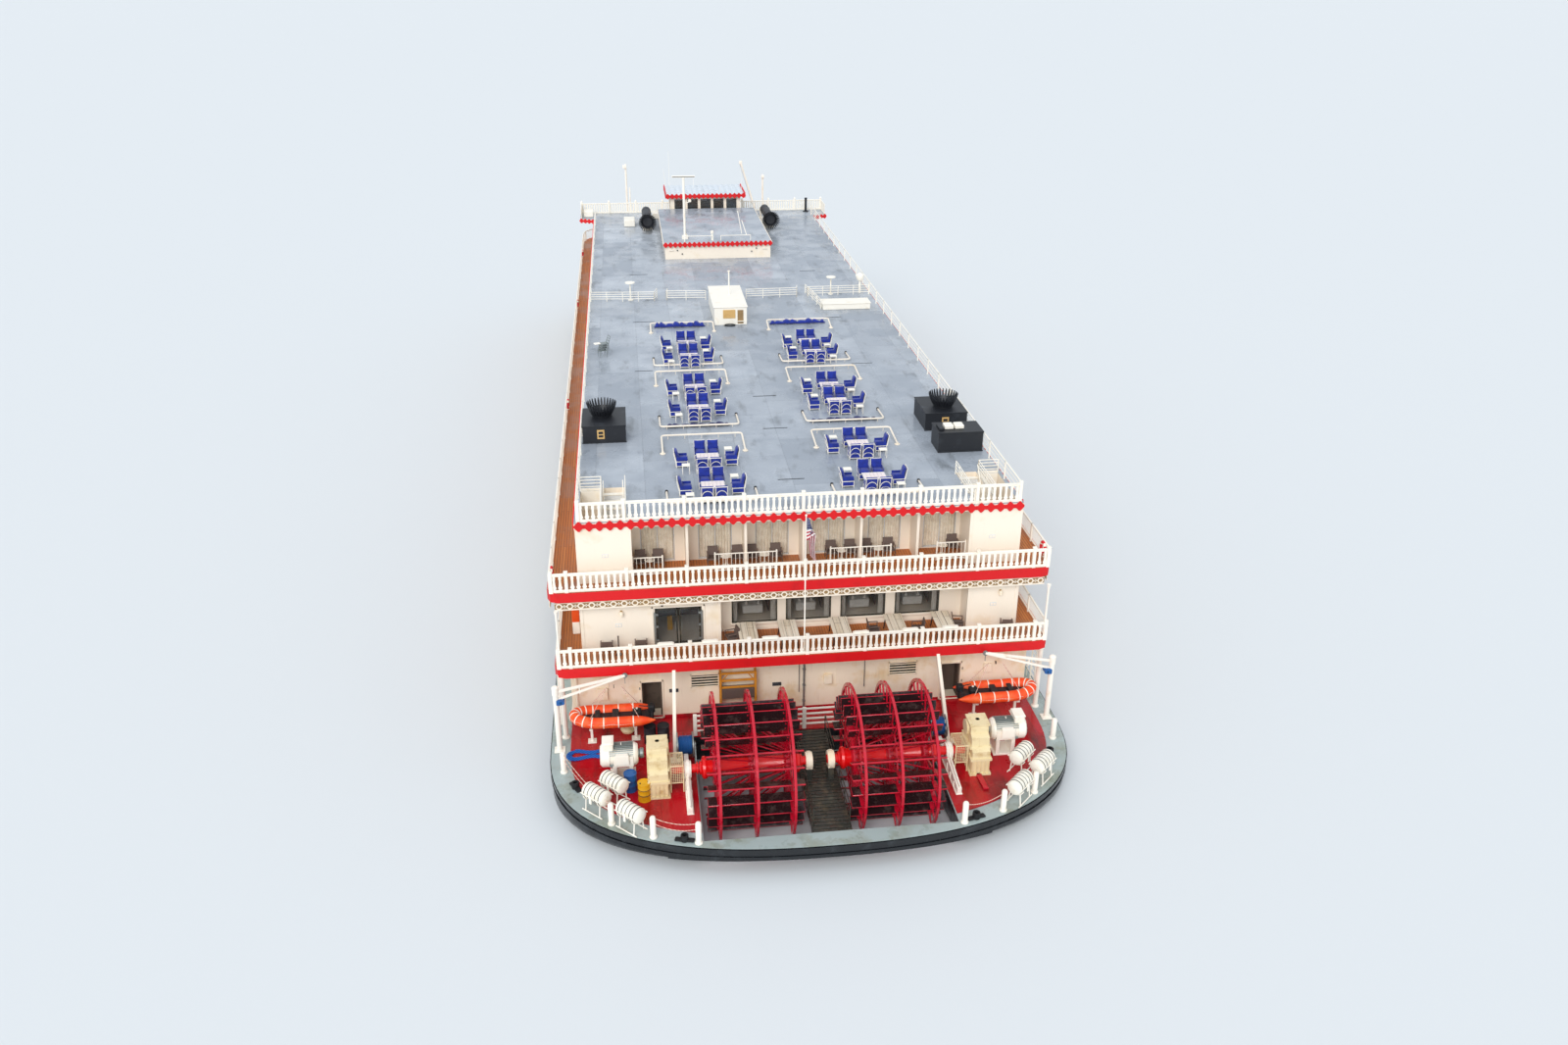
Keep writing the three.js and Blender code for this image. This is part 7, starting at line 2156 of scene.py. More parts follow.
    def barred(self, route: Sequence[tuple[float, float]], base: float = SUN_Z + LIFT,
               pitch: float = 1.2) -> Solid:
        """A four-bar pipe rail along a plan route, with posts at its corners and between them."""
        line = np.array(route, float)
        parts = []
        for a, b in zip(line[:-1], line[1:]):
            t = np.linspace(0, 1, max(2, round(float(np.linalg.norm(b - a)) / pitch) + 1))[:, None]
            feet = raised(a + (b - a) * t, base)
            parts.append(rods(feet, feet + (0, 0, self.bar_heights[-1]), 0.03, 6))
            parts += [tube(feet[[0, -1]] + (0, 0, height), 0.024, 6) for height in self.bar_heights]
        return joined(parts)

    def stairs(self) -> Solid:
        """White treads with dark risers, and the rails round the flight and its well."""
        x0, x1, y0, y1 = self.flight
        x2, x3, _, y2 = self.well
        base = THIRD_Z + 0.1
        rise, going = (SUN_Z - THIRD_Z) / self.steps, (y1 - self.landing) / self.steps
        i = np.arange(self.steps)
        y, z = self.landing + i * going, base + (i + 1) * rise
        corner = spots(x0 + 0.02, y - 0.02, z)
        treads = boxes(corner[:-1], corner[:-1] + (x1 - x0 - 0.04, going - 0.02, 0.02))
        risers = boxes(corner[:-1] + (0, 0.005, -rise), corner[:-1] + (x1 - x0 - 0.04, 0.018, -0.03), 1)
        hand = [tube([(x, self.landing, base + 0.9), (x, y1 - 0.4, SUN_Z + 0.55)], 0.025, 6)
                for x in (x0 + 0.06, x1 - 0.06)]
        rails = [self.barred([(x0 - 0.05, y0), (x0 - 0.05, y1 - 0.2)]),
                 self.barred([(x1 + 0.04, self.landing), (x1 + 0.04, y2 + 0.06), (x3, y2 + 0.06)])]
        coaming = [box(x1 + 0.01, x1 + 0.07, self.landing, y2, SUN_Z, SUN_Z + 0.12, 0.01),
                   box(x1 + 0.01, x3, y2 + 0.01, y2 + 0.09, SUN_Z, SUN_Z + 0.12, 0.01),
                   box(x2 + 0.02, x3 - 0.02, y2 - 0.03, y2 - 0.01, SUN_Z - 1.0, SUN_Z, 0.005)]
        floor = box(x2 + 0.02, x3 - 0.02, y0 + 0.02, y2 - 0.04, base, base + 0.02, mark=2)
        return joined([treads, risers, *hand, *rails, *coaming, floor])

    def cross_rails(self) -> Solid:
        """Four-bar pipe rails across the deck with their gates, a low locker and a hose reel's box."""
        parts = [self.barred(route) for route in (
            [(-10.34, 39.35), (-5.72, 39.0), (-5.5, 40.0)], [(-4.82, 39.2), (-1.95, 39.0)],
            [(-4.72, 39.9), (-4.82, 39.2)], [(1.05, 39.05), (4.86, 39.2), (4.95, 39.9)],
            [(5.62, 40.1), (5.68, 39.35), (10.34, 39.4)], [(5.75, 39.3), (6.15, 35.6)])]
        low = [box(6.25, 9.7, 35.3, 36.7, SUN_Z + LIFT, SUN_Z + 0.42, 0.03),
               box(6.2, 9.75, 35.25, 36.75, SUN_Z + 0.42, SUN_Z + 0.46, 0.01)]
        braces = rods([(6.15, 35.7, SUN_Z + 0.05), (6.15, 37.0, SUN_Z + 0.05)],
                      [(6.02, 37.2, SUN_Z + 0.68), (5.95, 38.4, SUN_Z + 0.68)], 0.02, 6)
        return joined([*parts, *low, braces])

    def build(self) -> None:
        """Plate, seams, rails, stairs and small fittings."""
        make("sun_deck_plates", joined([self.plate(), self.welds()]), [ROOF, CREAM, CASING],
             stands_for=["sun_deck"])
        make("sun_deck_railings", self.rail(), [WHITE], stands_for=["sun_deck_rail"])
        make("deck_stairs", self.stairs().doubled(), [WHITE, PALE_ALLOY, PLANKS])
        make("deck_cross_rails", self.cross_rails(), [WHITE])
        post = joined([turned_profile([(0.2, 0), (0.2, 0.04), (0.06, 0.06), (0.05, 1.26)], 14),
                       turned_profile([(0.05, 1.26), (0.36, 1.28), (0.36, 1.34), (0.05, 1.38)], 24)])
        ball = turned_profile([(0.1, 0), (0.08, 0.9), (0.2, 0.96), (0.3, 1.15), (0.28, 1.35),
                               (0.15, 1.48), (0.02, 1.52)], 20)
        dark = turned_profile([(0.28, 0), (0.28, 0.06), (0.12, 0.1), (0.12, 1.25), (0.14, 1.27),
                               (0.14, 1.33), (0.02, 1.36)], 18, mark=1)
        standing = [post.moved(-7.45, 39.5, SUN_Z),
                    post.moved(7.5, 39.7, SUN_Z),
                    ball.moved(9.75, 39.9, SUN_Z),
                    dark.moved(10.1, 71.3, SUN_Z),
                    self.stacked_chairs().moved(-9.4, 25.9, SUN_Z + LIFT)]
        make("deck_discs_and_domes", joined(standing), [WHITE, CASING, GALVANISED])

    def stacked_chairs(self) -> Solid:
        """Four grey side chairs stacked askew, each a step above the last."""
        legs = np.array([(-0.22, -0.22), (0.22, -0.22), (0.22, 0.22), (-0.22, 0.22)])
        parts = []
        for k in range(4):
            z, lean = 0.14 * k, 0.05 * k
            feet = raised(legs + (lean, 0), z)
            chair = [rods(feet, feet + (0, 0, 0.44), 0.016, 5),
                     box(-0.24 + lean, 0.24 + lean, -0.24, 0.24, z + 0.43, z + 0.46)]
            for side in SIDES:
                chair.append(tube([(lean + 0.22, side * 0.22, z + 0.44),
                                   (lean + 0.36, side * 0.22, z + 0.9)], 0.016, 5))
            chair.append(tube([(lean + 0.36, -0.22, z + 0.88), (lean + 0.36, 0.22, z + 0.88)], 0.03, 6))
            parts.append(joined(chair).marked(2))
        return joined([*parts, box(-0.5, -0.1, -0.12, 0.2, 0.86, 0.92, 0.02)]).turned(20)


@dataclass(frozen=True)
class Seating:
    """Blue cushioned seats round tiled tables, shade frames and furled canvas."""

    groups: tuple[tuple[float, float], ...] = (
        (-4, 26.8), (-4, 24), (-4, 17.95), (-4, 14.4), (-4, 7.1), (-4, 3.5),
        (3.85, 26.4), (3.85, 24), (3.85, 17.5), (3.85, 14.7), (3.85, 8.1), (3.85, 3.7))
    # x and y from the table, and the turn from facing aft
    seats: tuple[tuple[float, float, float], ...] = (
        (-0.335, 0.95, 0), (0.335, 0.95, 0), (-0.335, -0.75, 180), (0.335, -0.75, 180),
        (-1.3, 0.15, 90), (1.2, 0.15, -90))
    side_tables: tuple[tuple[float, float], ...] = ((-1.14, -0.85), (1.12, 1.18))
    bays: tuple[tuple[float, float], ...] = ((-6.2, -1.93), (1.8, 6.1))  # x of the shade frames' legs
    # y of the bar, its height and y of the legs' far ends
    frames: tuple[tuple[float, float, float], ...] = (
        (32.2, 0.28, 30.8), (23.2, 0.16, 24.9), (21.8, 0.22, 19.75), (12.45, 0.16, 14.25),
        (10.95, 0.22, 8.92), (2.35, 0.16, 3.9))
    # x from and to, y and radius of each furled canvas
    rolls: tuple[tuple[float, float, float, float], ...] = (
        (-5.95, -2.45, 32.05, 0.19), (2.0, 5.9, 32.05, 0.17), (-5.9, -2.35, 12.72, 0.11),
        (2.0, 5.8, 12.72, 0.11))
    navy_below: float = 0.15  # the thinner rolls take the darker navy canvas

    def cushion(self, half_x: float, half_y: float, thick: float) -> Solid:
        """A crowned pad whose edge is pulled in between its corners.

        Either face stands thick / 2 ((1 - u ** 4) (1 - v ** 4)) ** 0.4 from the middle, so they
        meet in a seam along the border. A channel runs across the upper one.
        """
        n = 11
        s = np.linspace(-1, 1, n)
        u, v = np.meshgrid(s, s, indexing="ij")
        pull = 0.045
        x = half_x * u * (1 - pull * (1 - v ** 2) * np.abs(u))
        y = half_y * v * (1 - pull * (1 - u ** 2) * np.abs(v))
        rise = (np.clip(1 - u ** 4, 0, 1) * np.clip(1 - v ** 4, 0, 1)) ** 0.4
        channel = 1 - 0.16 * np.exp(-(v / 0.12) ** 2)
        top = thick / 2 * rise * channel * (1 + 0.12 * (1 - u ** 2) * (1 - v ** 2))
        bottom = -thick / 2 * rise
        index = np.arange(n * n).reshape(n, n)
        inner = np.zeros((n, n), bool)
        inner[1:-1, 1:-1] = True
        low_index = index.copy()
        low_index[inner] = n * n + np.arange(inner.sum())
        corners = np.concatenate([np.stack([x, y, top], -1).reshape(-1, 3),
                                  np.stack([x, y, bottom], -1)[inner]])
        upper, lower = (grid_faces(k).reshape(-1, 4) for k in (index, low_index))
        return Solid(corners, ((upper, 0), (lower[:, ::-1], 0)))

    def seat_cushions(self) -> Solid:
        """Seat pad and leaning back pad of one seat that faces aft."""
        seat = self.cushion(0.275, 0.27, 0.17).moved(y=-0.04, z=0.4)
        back = self.cushion(0.275, 0.25, 0.15).turned(74, "X").moved(y=0.25, z=0.66)
        return joined([seat, back])

    def seat_frame(self) -> Solid:
        """White tube frame with canvas side panels, and an arched brace in its back."""
        x, top, low = 0.275, 0.32, 0.08
        corners = [(-x, -0.28), (x, -0.28), (x, 0.28), (-x, 0.28)]
        legs = rods([(a, b, 0.0) for a, b in corners], [(a, b, top) for a, b in corners], 0.02, 6)
        loops = [tube([(a, b, z) for a, b in corners], 0.018, 6, looped=True) for z in (low, top)]
        posts = rods([(s * x, 0.28, top) for s in SIDES], [(s * x, 0.4, 0.86) for s in SIDES], 0.02, 6)
        a = np.linspace(0, math.pi, 9)
        arch = tube(spots(-x * np.cos(a), 0.3, low + 0.3 * np.sin(a)), 0.016, 5)
        upper = tube(spots(-x * np.cos(a), 0.315 + 0.09 * np.sin(a), top + 0.36 * np.sin(a)), 0.016, 5)
        bar = tube([(-x, 0.4, 0.86), (x, 0.4, 0.86)], 0.02, 6)
        panels = [box(-x, x, 0.272, 0.288, low + 0.03, top - 0.03, mark=1),
                  box(-x, x, -0.288, -0.272, low + 0.03, top - 0.03, mark=1)]
        panels += [box(s * x - 0.008, s * x + 0.008, -0.27, 0.27, a, b, mark=1) for s in SIDES
                   for a, b in ((low + 0.03, top - 0.03), (top + 0.03, top + 0.25))]
        back = prism(np.array([(0.286, top), (0.3, top), (0.412, 0.84), (0.398, 0.84)]), -x + 0.02,
                     x - 0.02, "x", 1)
        return joined([legs, *loops, posts, arch, upper, bar, *panels, back])

    def table(self) -> Solid:
        """Low table of six stone-pale boards in a metal rim on a pedestal with a floor flange."""
        x = np.linspace(-0.55, 0.55, 7)
        low = spots(x[:-1] + 0.012, -0.39, 0.49)
        boards = boxes(low, low + (x[1] - x[0] - 0.024, 0.78, 0.022))
        rim = carried(rectangle(-0.02, 0.02, -0.03, 0.03, 0.006),
                      [(-0.55, -0.41, 0.49), (0.55, -0.41, 0.49), (0.55, 0.41, 0.49),
                       (-0.55, 0.41, 0.49)], looped=True, mark=1)
        tray = box(-0.55, 0.55, -0.4, 0.4, 0.465, 0.49, mark=1)
        leg = turned_profile([(0.2, 0), (0.2, 0.02), (0.06, 0.05), (0.05, 0.42), (0.16, 0.465)], 16, mark=1)
        return joined([boards, rim, tray, leg])

    def side_table(self) -> Solid:
        """Small low white table with a slatted top."""
        slats = [box(-0.2, 0.2, y - 0.045, y + 0.045, 0.43, 0.455, 0.006)
                 for y in (-0.15, -0.05, 0.05, 0.15)]
        corners = [(sx * 0.17, sy * 0.17) for sx in SIDES for sy in SIDES]
        return joined([*slats,
                       rods([(x, y, 0.43) for x, y in corners], [(x, y, 0) for x, y in corners], 0.016, 6),
                       box(-0.18, 0.18, -0.02, 0.02, 0.4, 0.43)])

    def frame(self, x0: float, x1: float, bar_y: float, bar_z: float, end_y: float) -> Solid:
        """U-shaped shade frame folded down: flanges or rubber caps at its ends, hooks below its bar."""
        way = math.copysign(0.16, end_y - bar_y)
        left = [(x0, end_y, 0.07), (x0, bar_y + way, bar_z),
                (x0 + 0.05, bar_y + way * 0.3, bar_z + 0.01), (x0 + 0.18, bar_y, bar_z + 0.01)]
        path = left + [(x0 + x1 - x, b, c) for x, b, c in left[::-1]]
        bow = tube(path, 0.05, 8)
        ends = [(x0, end_y, 0.0), (x1, end_y, 0.0)]
        if end_y < bar_y:
            feet = turned_profile([(0.15, 0), (0.15, 0.03), (0.07, 0.04), (0.07, 0.12)], 12).copies(ends)
        else:
            feet = turned_profile([(0.075, 0), (0.075, 0.13), (0.06, 0.15)], 10, mark=1).copies(ends)
        x = np.linspace(x0 + 0.35, x1 - 0.35, 5)
        hooks = rods(spots(x, bar_y, 0.0), spots(x, bar_y, bar_z), 0.018, 5)
        return joined([bow, feet, hooks]).moved(z=SUN_Z + LIFT)

    def furled(self, x0: float, x1: float, y: float, thick: float) -> Solid:
        """Canvas gathered on a low bar on the deck: a roll pinched at its ties that sags between.

        Its radius is thick times lumps times ties, flattened to 0.75 upright, and its pleats
        turn along it.
        """
        x = np.linspace(x0, x1, 61)
        t = (x - x0) / (x1 - x0)
        ties = 1 - 0.3 * np.exp(-((t[:, None] - np.linspace(0.1, 0.9, 7)) / 0.013) ** 2).sum(axis=1)
        lumps = 1 + 0.22 * np.sin(t * 17 + x0) + 0.1 * np.sin(t * 47 + 1)
        radius = thick * ties * lumps * np.clip(np.sin(math.pi * t) * 7, 0.25, 1)
        a = np.arange(20) * 2 * math.pi / 20
        pleat = 1 + 0.13 * np.sin(5 * a + 6 * t[:, None]) * np.cos(t * 40)[:, None]
        rings = np.stack([np.broadcast_to(x[:, None], (61, 20)),
                          y + radius[:, None] * pleat * np.cos(a) * 1.15,
                          SUN_Z + 0.01 + radius[:, None] * 0.75 * (1.15 + pleat * np.sin(a))], axis=-1)
        return loft(rings)

    def build(self) -> None:
        """Cushions, frames, tables, shade frames and rolled canvas."""
        cushions, frames, places = self.seat_cushions(), self.seat_frame(), []
        for gx, gy in self.groups:
            places += [(gx + dx, gy + dy, turn) for dx, dy, turn in self.seats]
        at = np.array([(x, y, SUN_Z + LIFT) for x, y, _ in places])
        turns = np.array([turn for *_, turn in places])
        per = len(self.seats)
        for k in range(len(self.groups)):
            spot = slice(k * per, (k + 1) * per)
            pads = make(f"seat_cushions_{k + 1}", cushions.copies(at[spot], turns[spot]), [SEAT_BLUE],
                        crease=75)
        make("seat_frames", frames.copies(at, turns), [WHITE, SEAT_BLUE])
        middle = np.array([(x, y, SUN_Z + LIFT) for x, y in self.groups])
        make("tiled_tables", self.table().copies(middle), [TABLE_TILE, PALE_ALLOY])
        sides = [(x + (dx if x < 0 else -dx), y + dy, SUN_Z + LIFT)
                 for x, y in self.groups
                 for dx, dy in self.side_tables]
        make("side_tables", self.side_table().copies(sides), [WHITE])
        bows = [self.frame(x0, x1, *frame) for x0, x1 in self.bays for frame in self.frames]
        make("shade_frames", joined(bows), [CREAM, RUBBER])
        for number, (x0, x1, y, thick) in enumerate(self.rolls, 1):
            piece = make(f"furled_canvas_{number}", self.furled(x0, x1, y, thick),
                         [CANVAS_NAVY if thick < self.navy_below else SEAT_BLUE], crease=80)


@dataclass(frozen=True)
class Stacks:
    """Black uptakes with crowned mouths: two on the aft casings, two folded down forward."""

    hinge: tuple[float, float, float] = (5.6, 68.0, SUN_Z + 1.05)
    length: float = 5.2
    radius: float = 0.42
    tongues: int = 28

    def crown(self, base: float) -> Solid:
        """Low wide bowl ringed by flat tongues that curve outwards and up."""
        profile = [(0.43, base), (0.5, base + 0.02), (0.5, base + 0.1), (0.47, base + 0.12),
                   (0.52, base + 0.26), (0.56, base + 0.4), (0.53, base + 0.42), (0.48, base + 0.3),
                   (0.42, base + 0.16), (0.02, base + 0.12)]
        r, z, w = np.array([(0.52, 0.08, 0.05), (0.61, 0.25, 0.055), (0.69, 0.42, 0.055),
                            (0.75, 0.58, 0.045), (0.785, 0.74, 0.02)]).T
        thick = 0.02
        rings = np.stack([np.stack([r - thick, -w, z + base], -1),
                          np.stack([r + thick, -w, z + base], -1),
                          np.stack([r + thick, w, z + base], -1),
                          np.stack([r - thick, w, z + base], -1)], axis=1)
        turns = np.arange(self.tongues) * 360 / self.tongues
        return joined([turned_profile(profile, 48),
                       loft(rings).copies(np.zeros((self.tongues, 3)), turns)])

    def stack(self) -> Solid:
        """Pipe with welded bands, hinge lug and pin, and its crown, upright about the hinge."""
        r = self.radius
        pipe = [(0.3, 0.35), (r, 0.38), (r, 1.2), (r + 0.02, 1.22), (r + 0.02, 1.3), (r, 1.32),
                (r, 3.4), (r + 0.02, 3.42), (r + 0.02, 3.5), (r, 3.52), (r, self.length)]
        lug = prism(np.array([(-0.2, 0.5), (-0.22, 0.0), (-0.15, -0.16), (0.0, -0.2), (0.15, -0.16),
                              (0.22, 0.0), (0.2, 0.5)]),
                    -0.16, 0.16, "x")
        pin = turned_profile([(0.078, -0.42), (0.078, 0.42)], 16, "x", 1)
        return joined([turned_profile(pipe, 40), lug, pin, self.crown(self.length - 0.05)])

    def pedestal(self) -> Solid:
        """Raised base with two bored cheeks, a round-topped saddle, ribs and bolts."""
        x, y, z = self.hinge
        parts = [box(x - 0.43, x + 0.43, 63.8, y + 0.4, SUN_Z + LIFT, SUN_Z + 0.2, 0.02)]
        for dx in (-0.33, 0.33):
            ring = ring_about_x(0.087, 0.19, -0.09, 0.09, 28).moved(x + dx, y, z)
            web = box(x + dx - 0.09, x + dx + 0.09, y - 0.18, y + 0.18, SUN_Z + 0.18, z - 0.12, 0.012)
            parts += [ring, web]
        a = np.linspace(-math.pi * 0.85, -math.pi * 0.15, 9)
        saddle = spots(x + 0.47 * np.cos(a), 64.1, z + 0.47 * np.sin(a))
        parts += [carried(rectangle(-0.025, 0.025, -0.09, 0.09), saddle),
                  box(x - 0.1, x + 0.1, 64.02, 64.18, SUN_Z + 0.18, z - 0.46, 0.01)]
        bolts = [(x + dx, by, SUN_Z + 0.2) for dx in (-0.36, 0.36) for by in np.linspace(64, 68.2, 8)]
        parts.append(flanged_bolts(np.array(bolts), 0.03, 0.04))
        return joined(parts)

    def casing_panels(self) -> Solid:
        """Flanged lids, feet, blank plates and vents on the three aft casings."""
        details = []
        for x0, x1, y0, y1, height, plate_x in ((-10.3, -8.05, 10.8, 13.6, 0.97, -9.35),
                                                (8, 10.3, 10.7, 13.4, 1.0, 9.1),
                                                (7.95, 10.3, 7.5, 9.05, 1.1, 0.0)):
            top = SUN_Z + height
            for a, b in ((y0 - 0.03, y0), (y1, y1 + 0.03)):
                details.append(box(x0 - 0.03, x1 + 0.03, a, b, top - 0.06, top, 0.01))
            details += [box(x0 - 0.03, x0, y0, y1, top - 0.06, top, 0.008),
                        box(x1, x1 + 0.03, y0, y1, top - 0.06, top, 0.008),
                        box(x0 - 0.03, x1 + 0.03, y0 - 0.03, y0, SUN_Z + 0.01, SUN_Z + 0.08, 0.01)]
            if plate_x:
                details += [box(plate_x - 0.19, plate_x + 0.19, y0 - 0.035, y0 - 0.01, SUN_Z + 0.25,
                                SUN_Z + 0.75, mark=1),
                            box(plate_x - 0.12, plate_x + 0.12, y0 - 0.04, y0 - 0.034, SUN_Z + 0.34,
                                SUN_Z + 0.46),
                            box(plate_x - 0.12, plate_x + 0.12, y0 - 0.04, y0 - 0.034, SUN_Z + 0.52,
                                SUN_Z + 0.66)]
        details += [box(x - 0.24, x + 0.24, 7.95, 8.5, SUN_Z + 1.1, SUN_Z + 1.3, 0.03, mark=2)
                    for x in (8.6, 9.15)]
        details.append(box(8.05, 8.3, 7.8, 8.6, SUN_Z + 1.1, SUN_Z + 1.22, 0.02))
        return joined(details)

    def build(self) -> None:
        """Folded stacks ride on their bodies; casing details ride on the hull."""
        stack, pedestal = self.stack().turned(90, "X").moved(*self.hinge), self.pedestal()
        for side, body in ((-1, Body.PORT_STACK), (1, Body.STARBOARD_STACK)):
            name = side_name(side)
            make(f"folded_stack_{name}", stack.on(side), [CASING, GALVANISED], body,
                 [f"folding_stack_{name}"])
            make(f"stack_cradle_{name}", pedestal.on(side), [WHITE],
                 stands_for=[f"stack_pedestal_{name}"])
        for name, x, y, base in (("port", -9.28, 12.4, SUN_Z + 0.973),
                                 ("starboard", 9.2, 11.8, SUN_Z + 1.003)):
            make(f"crowned_stack_{name}", self.crown(0).moved(x, y, base), [CASING],
                 stands_for=[f"aft_stack_{name}"])
        make("casing_panels", self.casing_panels(), [CASING, PLATE_TAN, WHITE])


@dataclass(frozen=True)
class ForeHouses:
    """Raised house, pilot house, small hut, radar, whips, masts and lockers forward."""

    house_top: float = SUN_Z + 1.25
    pilot_half: float = 3.3
    pilot_aft: float = 67.4
    pilot_fore: float = 71.9
    ribs: int = 14
    scanner_at: tuple[float, float, float] = (-2.65, 54.1, 20.403)

    def roof(self) -> Solid:
        """Corrugated pale roof, its ribs fore and aft, with a scalloped board along its fore edge."""
        x0, y0, y1 = self.pilot_half + 0.4, self.pilot_aft - 0.35, self.pilot_fore + 0.3
        low, high = SUN_Z + 2.403, SUN_Z + 2.6
        x = np.linspace(-x0, x0, 111)
        waves = np.abs(np.sin((x + x0) / (2 * x0) * math.pi * self.ribs))
        crown = np.column_stack([x, high - 0.1 + 0.1 * waves ** 0.7])
        return prism(np.concatenate([[(-x0, low), (x0, low)], crown[::-1]]), y0, y1, "y")

    def build_pilot_house(self) -> None:
        """Roof with its diamond edging, window frames and what shows behind the glass."""
        trim = DeckTrim()
        across = spread(-3.55, 3.55, 0.42)
        along = spread(67.3, 72.0, 0.42)
        z = SUN_Z + 2.44
        valance = [trim.diamonds(across, "x", self.pilot_aft - 0.38, z, 0.24)]
        valance += [trim.diamonds(along, "y", side * 3.73, z, 0.24) for side in SIDES]
        make("pilot_roof_boards", self.roof(), [ROOF_PALE], stands_for=["pilot_house_roof"])
        make("pilot_house_diamonds", joined(valance), [FASCIA_RED])
        windows = []
        for i in range(5):
            x0 = -2.95 + 1.22 * i
            for y in (self.pilot_aft, self.pilot_fore):
                loop = [(x0, y, SUN_Z + 1.1), (x0 + 1.02, y, SUN_Z + 1.1), (x0 + 1.02, y, SUN_Z + 2.15),
                        (x0, y, SUN_Z + 2.15)]
                windows.append(carried(rectangle(-0.04, 0.04, -0.05, 0.05, 0.01), loop, looped=True))
        glass = []
        for y in (self.pilot_aft + 0.06, self.pilot_fore - 0.08):
            glass.append(box(-3.0, 3.0, y, y + 0.02, SUN_Z + 1.06, SUN_Z + 2.2, mark=1))
        for side in SIDES:
            a, b = sorted((side * 3.22, side * 3.24))
            glass.append(box(a, b, 67.75, 71.45, SUN_Z + 1.06, SUN_Z + 2.2, mark=1))
        # painted shade: the desk and the floor behind the glass take the dim room colour for the shade inside
        desk = box(-2.4, 2.4, 70.6, 71.4, SUN_Z + 0.2, SUN_Z + 1.0, 0.05, mark=2)
        inside = box(-3.1, 3.1, 67.6, 71.7, SUN_Z + 0.104, SUN_Z + 0.15, mark=2)
        make("pilot_house_windows", joined([*windows, *glass, desk, inside]),
             [CREAM, Glass("pilot_glass", "#4A3A2A", 0.5), ROOM_SHADE])

    def build_raised_house(self) -> None:
        """Roof cover with its edge, and the rails, davit, pipes, panes and diamonds on it."""
        top = self.house_top
        cover = box(-4.5, 4.5, 52.1, 67.05, top + 0.002, top + 0.05, 0.01)
        edge = [box(-4.52, 4.52, 52.06, 52.12, top - 0.12, top + 0.06, 0.015, mark=1)]
        edge += [box(min(s * 4.5, s * 4.56), max(s * 4.5, s * 4.56), 52.06, 67.05,
                     top - 0.12, top + 0.06, 0.015, mark=1)
                 for s in SIDES]
        make("raised_house_roof", joined([cover, *edge]), [ROOF, CREAM])
        house = []
        for x0, x1 in ((-2.7, -0.35), (0.3, 2.8)):
            ends = np.array([(x0, 53.0, top + 0.05), (x1, 53.0, top + 0.05)])
            house += [rods(ends, ends + (0, 0, 0.42), 0.03, 6), tube(ends + (0, 0, 0.42), 0.03, 6)]
        vent = turned_profile([(0.09, 0), (0.09, 0.5), (0.13, 0.55), (0.13, 0.75), (0.04, 0.8)], 12)
        house.append(vent.moved(-0.4, 53.3, top + 0.05))
        house += [rods([(2.3, 55.5, top + 0.05), (2.3, 55.5, top + 1.2)],
                       [(2.0, 56.0, top + 1.9), (2.5, 53.2, top + 0.4)], 0.035, 6),
                  rods([(-2.75, 52.6, top), (-2.75, 54.1, top + 0.8)],
                       [(-2.65, 54.0, top + 1.4), (-2.3, 54.4, top + 0.05)], 0.03, 6)]
        sills = spread(54.5, 65.5, 2.2)
        for side in SIDES:
            pane = box(-0.012, 0.012, -0.45, 0.45, 0.45, 0.95, mark=1)
            house.append(pane.copies(spots(side * 4.405, sills, SUN_Z)))
        row = DeckTrim().diamonds(spread(-4.35, 4.35, 0.4), "x", 52.02, top - 0.02, 0.22, 0.3)
        house.append(row.marked(2))
        house += [box(x - 0.05, x + 0.05, 52.1, 52.14, SUN_Z + z, SUN_Z + z + 0.1, mark=1)
                  for x, z in ((-3.4, 0.7), (-3.0, 0.4), (2.8, 0.5), (3.2, 0.75))]
        house += [box(x - 0.2, x + 0.2, 52.06, 52.12, SUN_Z + 0.74, SUN_Z + 0.8, 0.01)
                  for x in (-3.9, 3.9)]
        make("raised_house_fittings", joined(house), [WHITE, DARK_GLASS, FASCIA_RED])

    def hut(self) -> Solid:
        """Small deck hut with a louvre, a door, a step, a coiled hose and a vent pipe."""
        hut = [box(-1.8, 0.45, 32.2, 38, SUN_Z + LIFT, SUN_Z + 1.23, 0.02),
               box(-1.86, 0.51, 32.14, 38.06, SUN_Z + 1.23, SUN_Z + 1.29, 0.02)]
        y = 32.2
        for z in np.linspace(0.55, 1.0, 7):
            hut.append(box(-1.15, -0.4, y - 0.04, y, SUN_Z + z - 0.012, SUN_Z + z + 0.012, mark=3))
        hut += [box(-1.2, -0.35, y - 0.03, y, SUN_Z + 0.48, SUN_Z + 1.08, 0.01, mark=3),
                box(-0.2, 0.2, y - 0.03, y, SUN_Z + 0.1, SUN_Z + 1.05, 0.01, mark=4),
                box(-0.2, 0.2, y - 0.14, y, SUN_Z + 0.26, SUN_Z + 0.3, 0.01)]
        a = np.linspace(0, 2 * math.pi, 25)[:-1]
        coil = spots(-0.75 + 0.36 * np.cos(a), y - 0.2 + 0.16 * np.sin(a),
                     SUN_Z + 0.06 + 0.02 * np.sin(a))
        hut.append(tube(coil, 0.035, 8, looped=True, mark=2))
        vent = turned_profile([(0.1, 1.28), (0.1, 1.33), (0.06, 1.36), (0.05, 2.9), (0.09, 2.92),
                               (0.09, 3.0)], 12)
        hut.append(vent.moved(-0.5, 35.5, SUN_Z))
        return joined(hut)

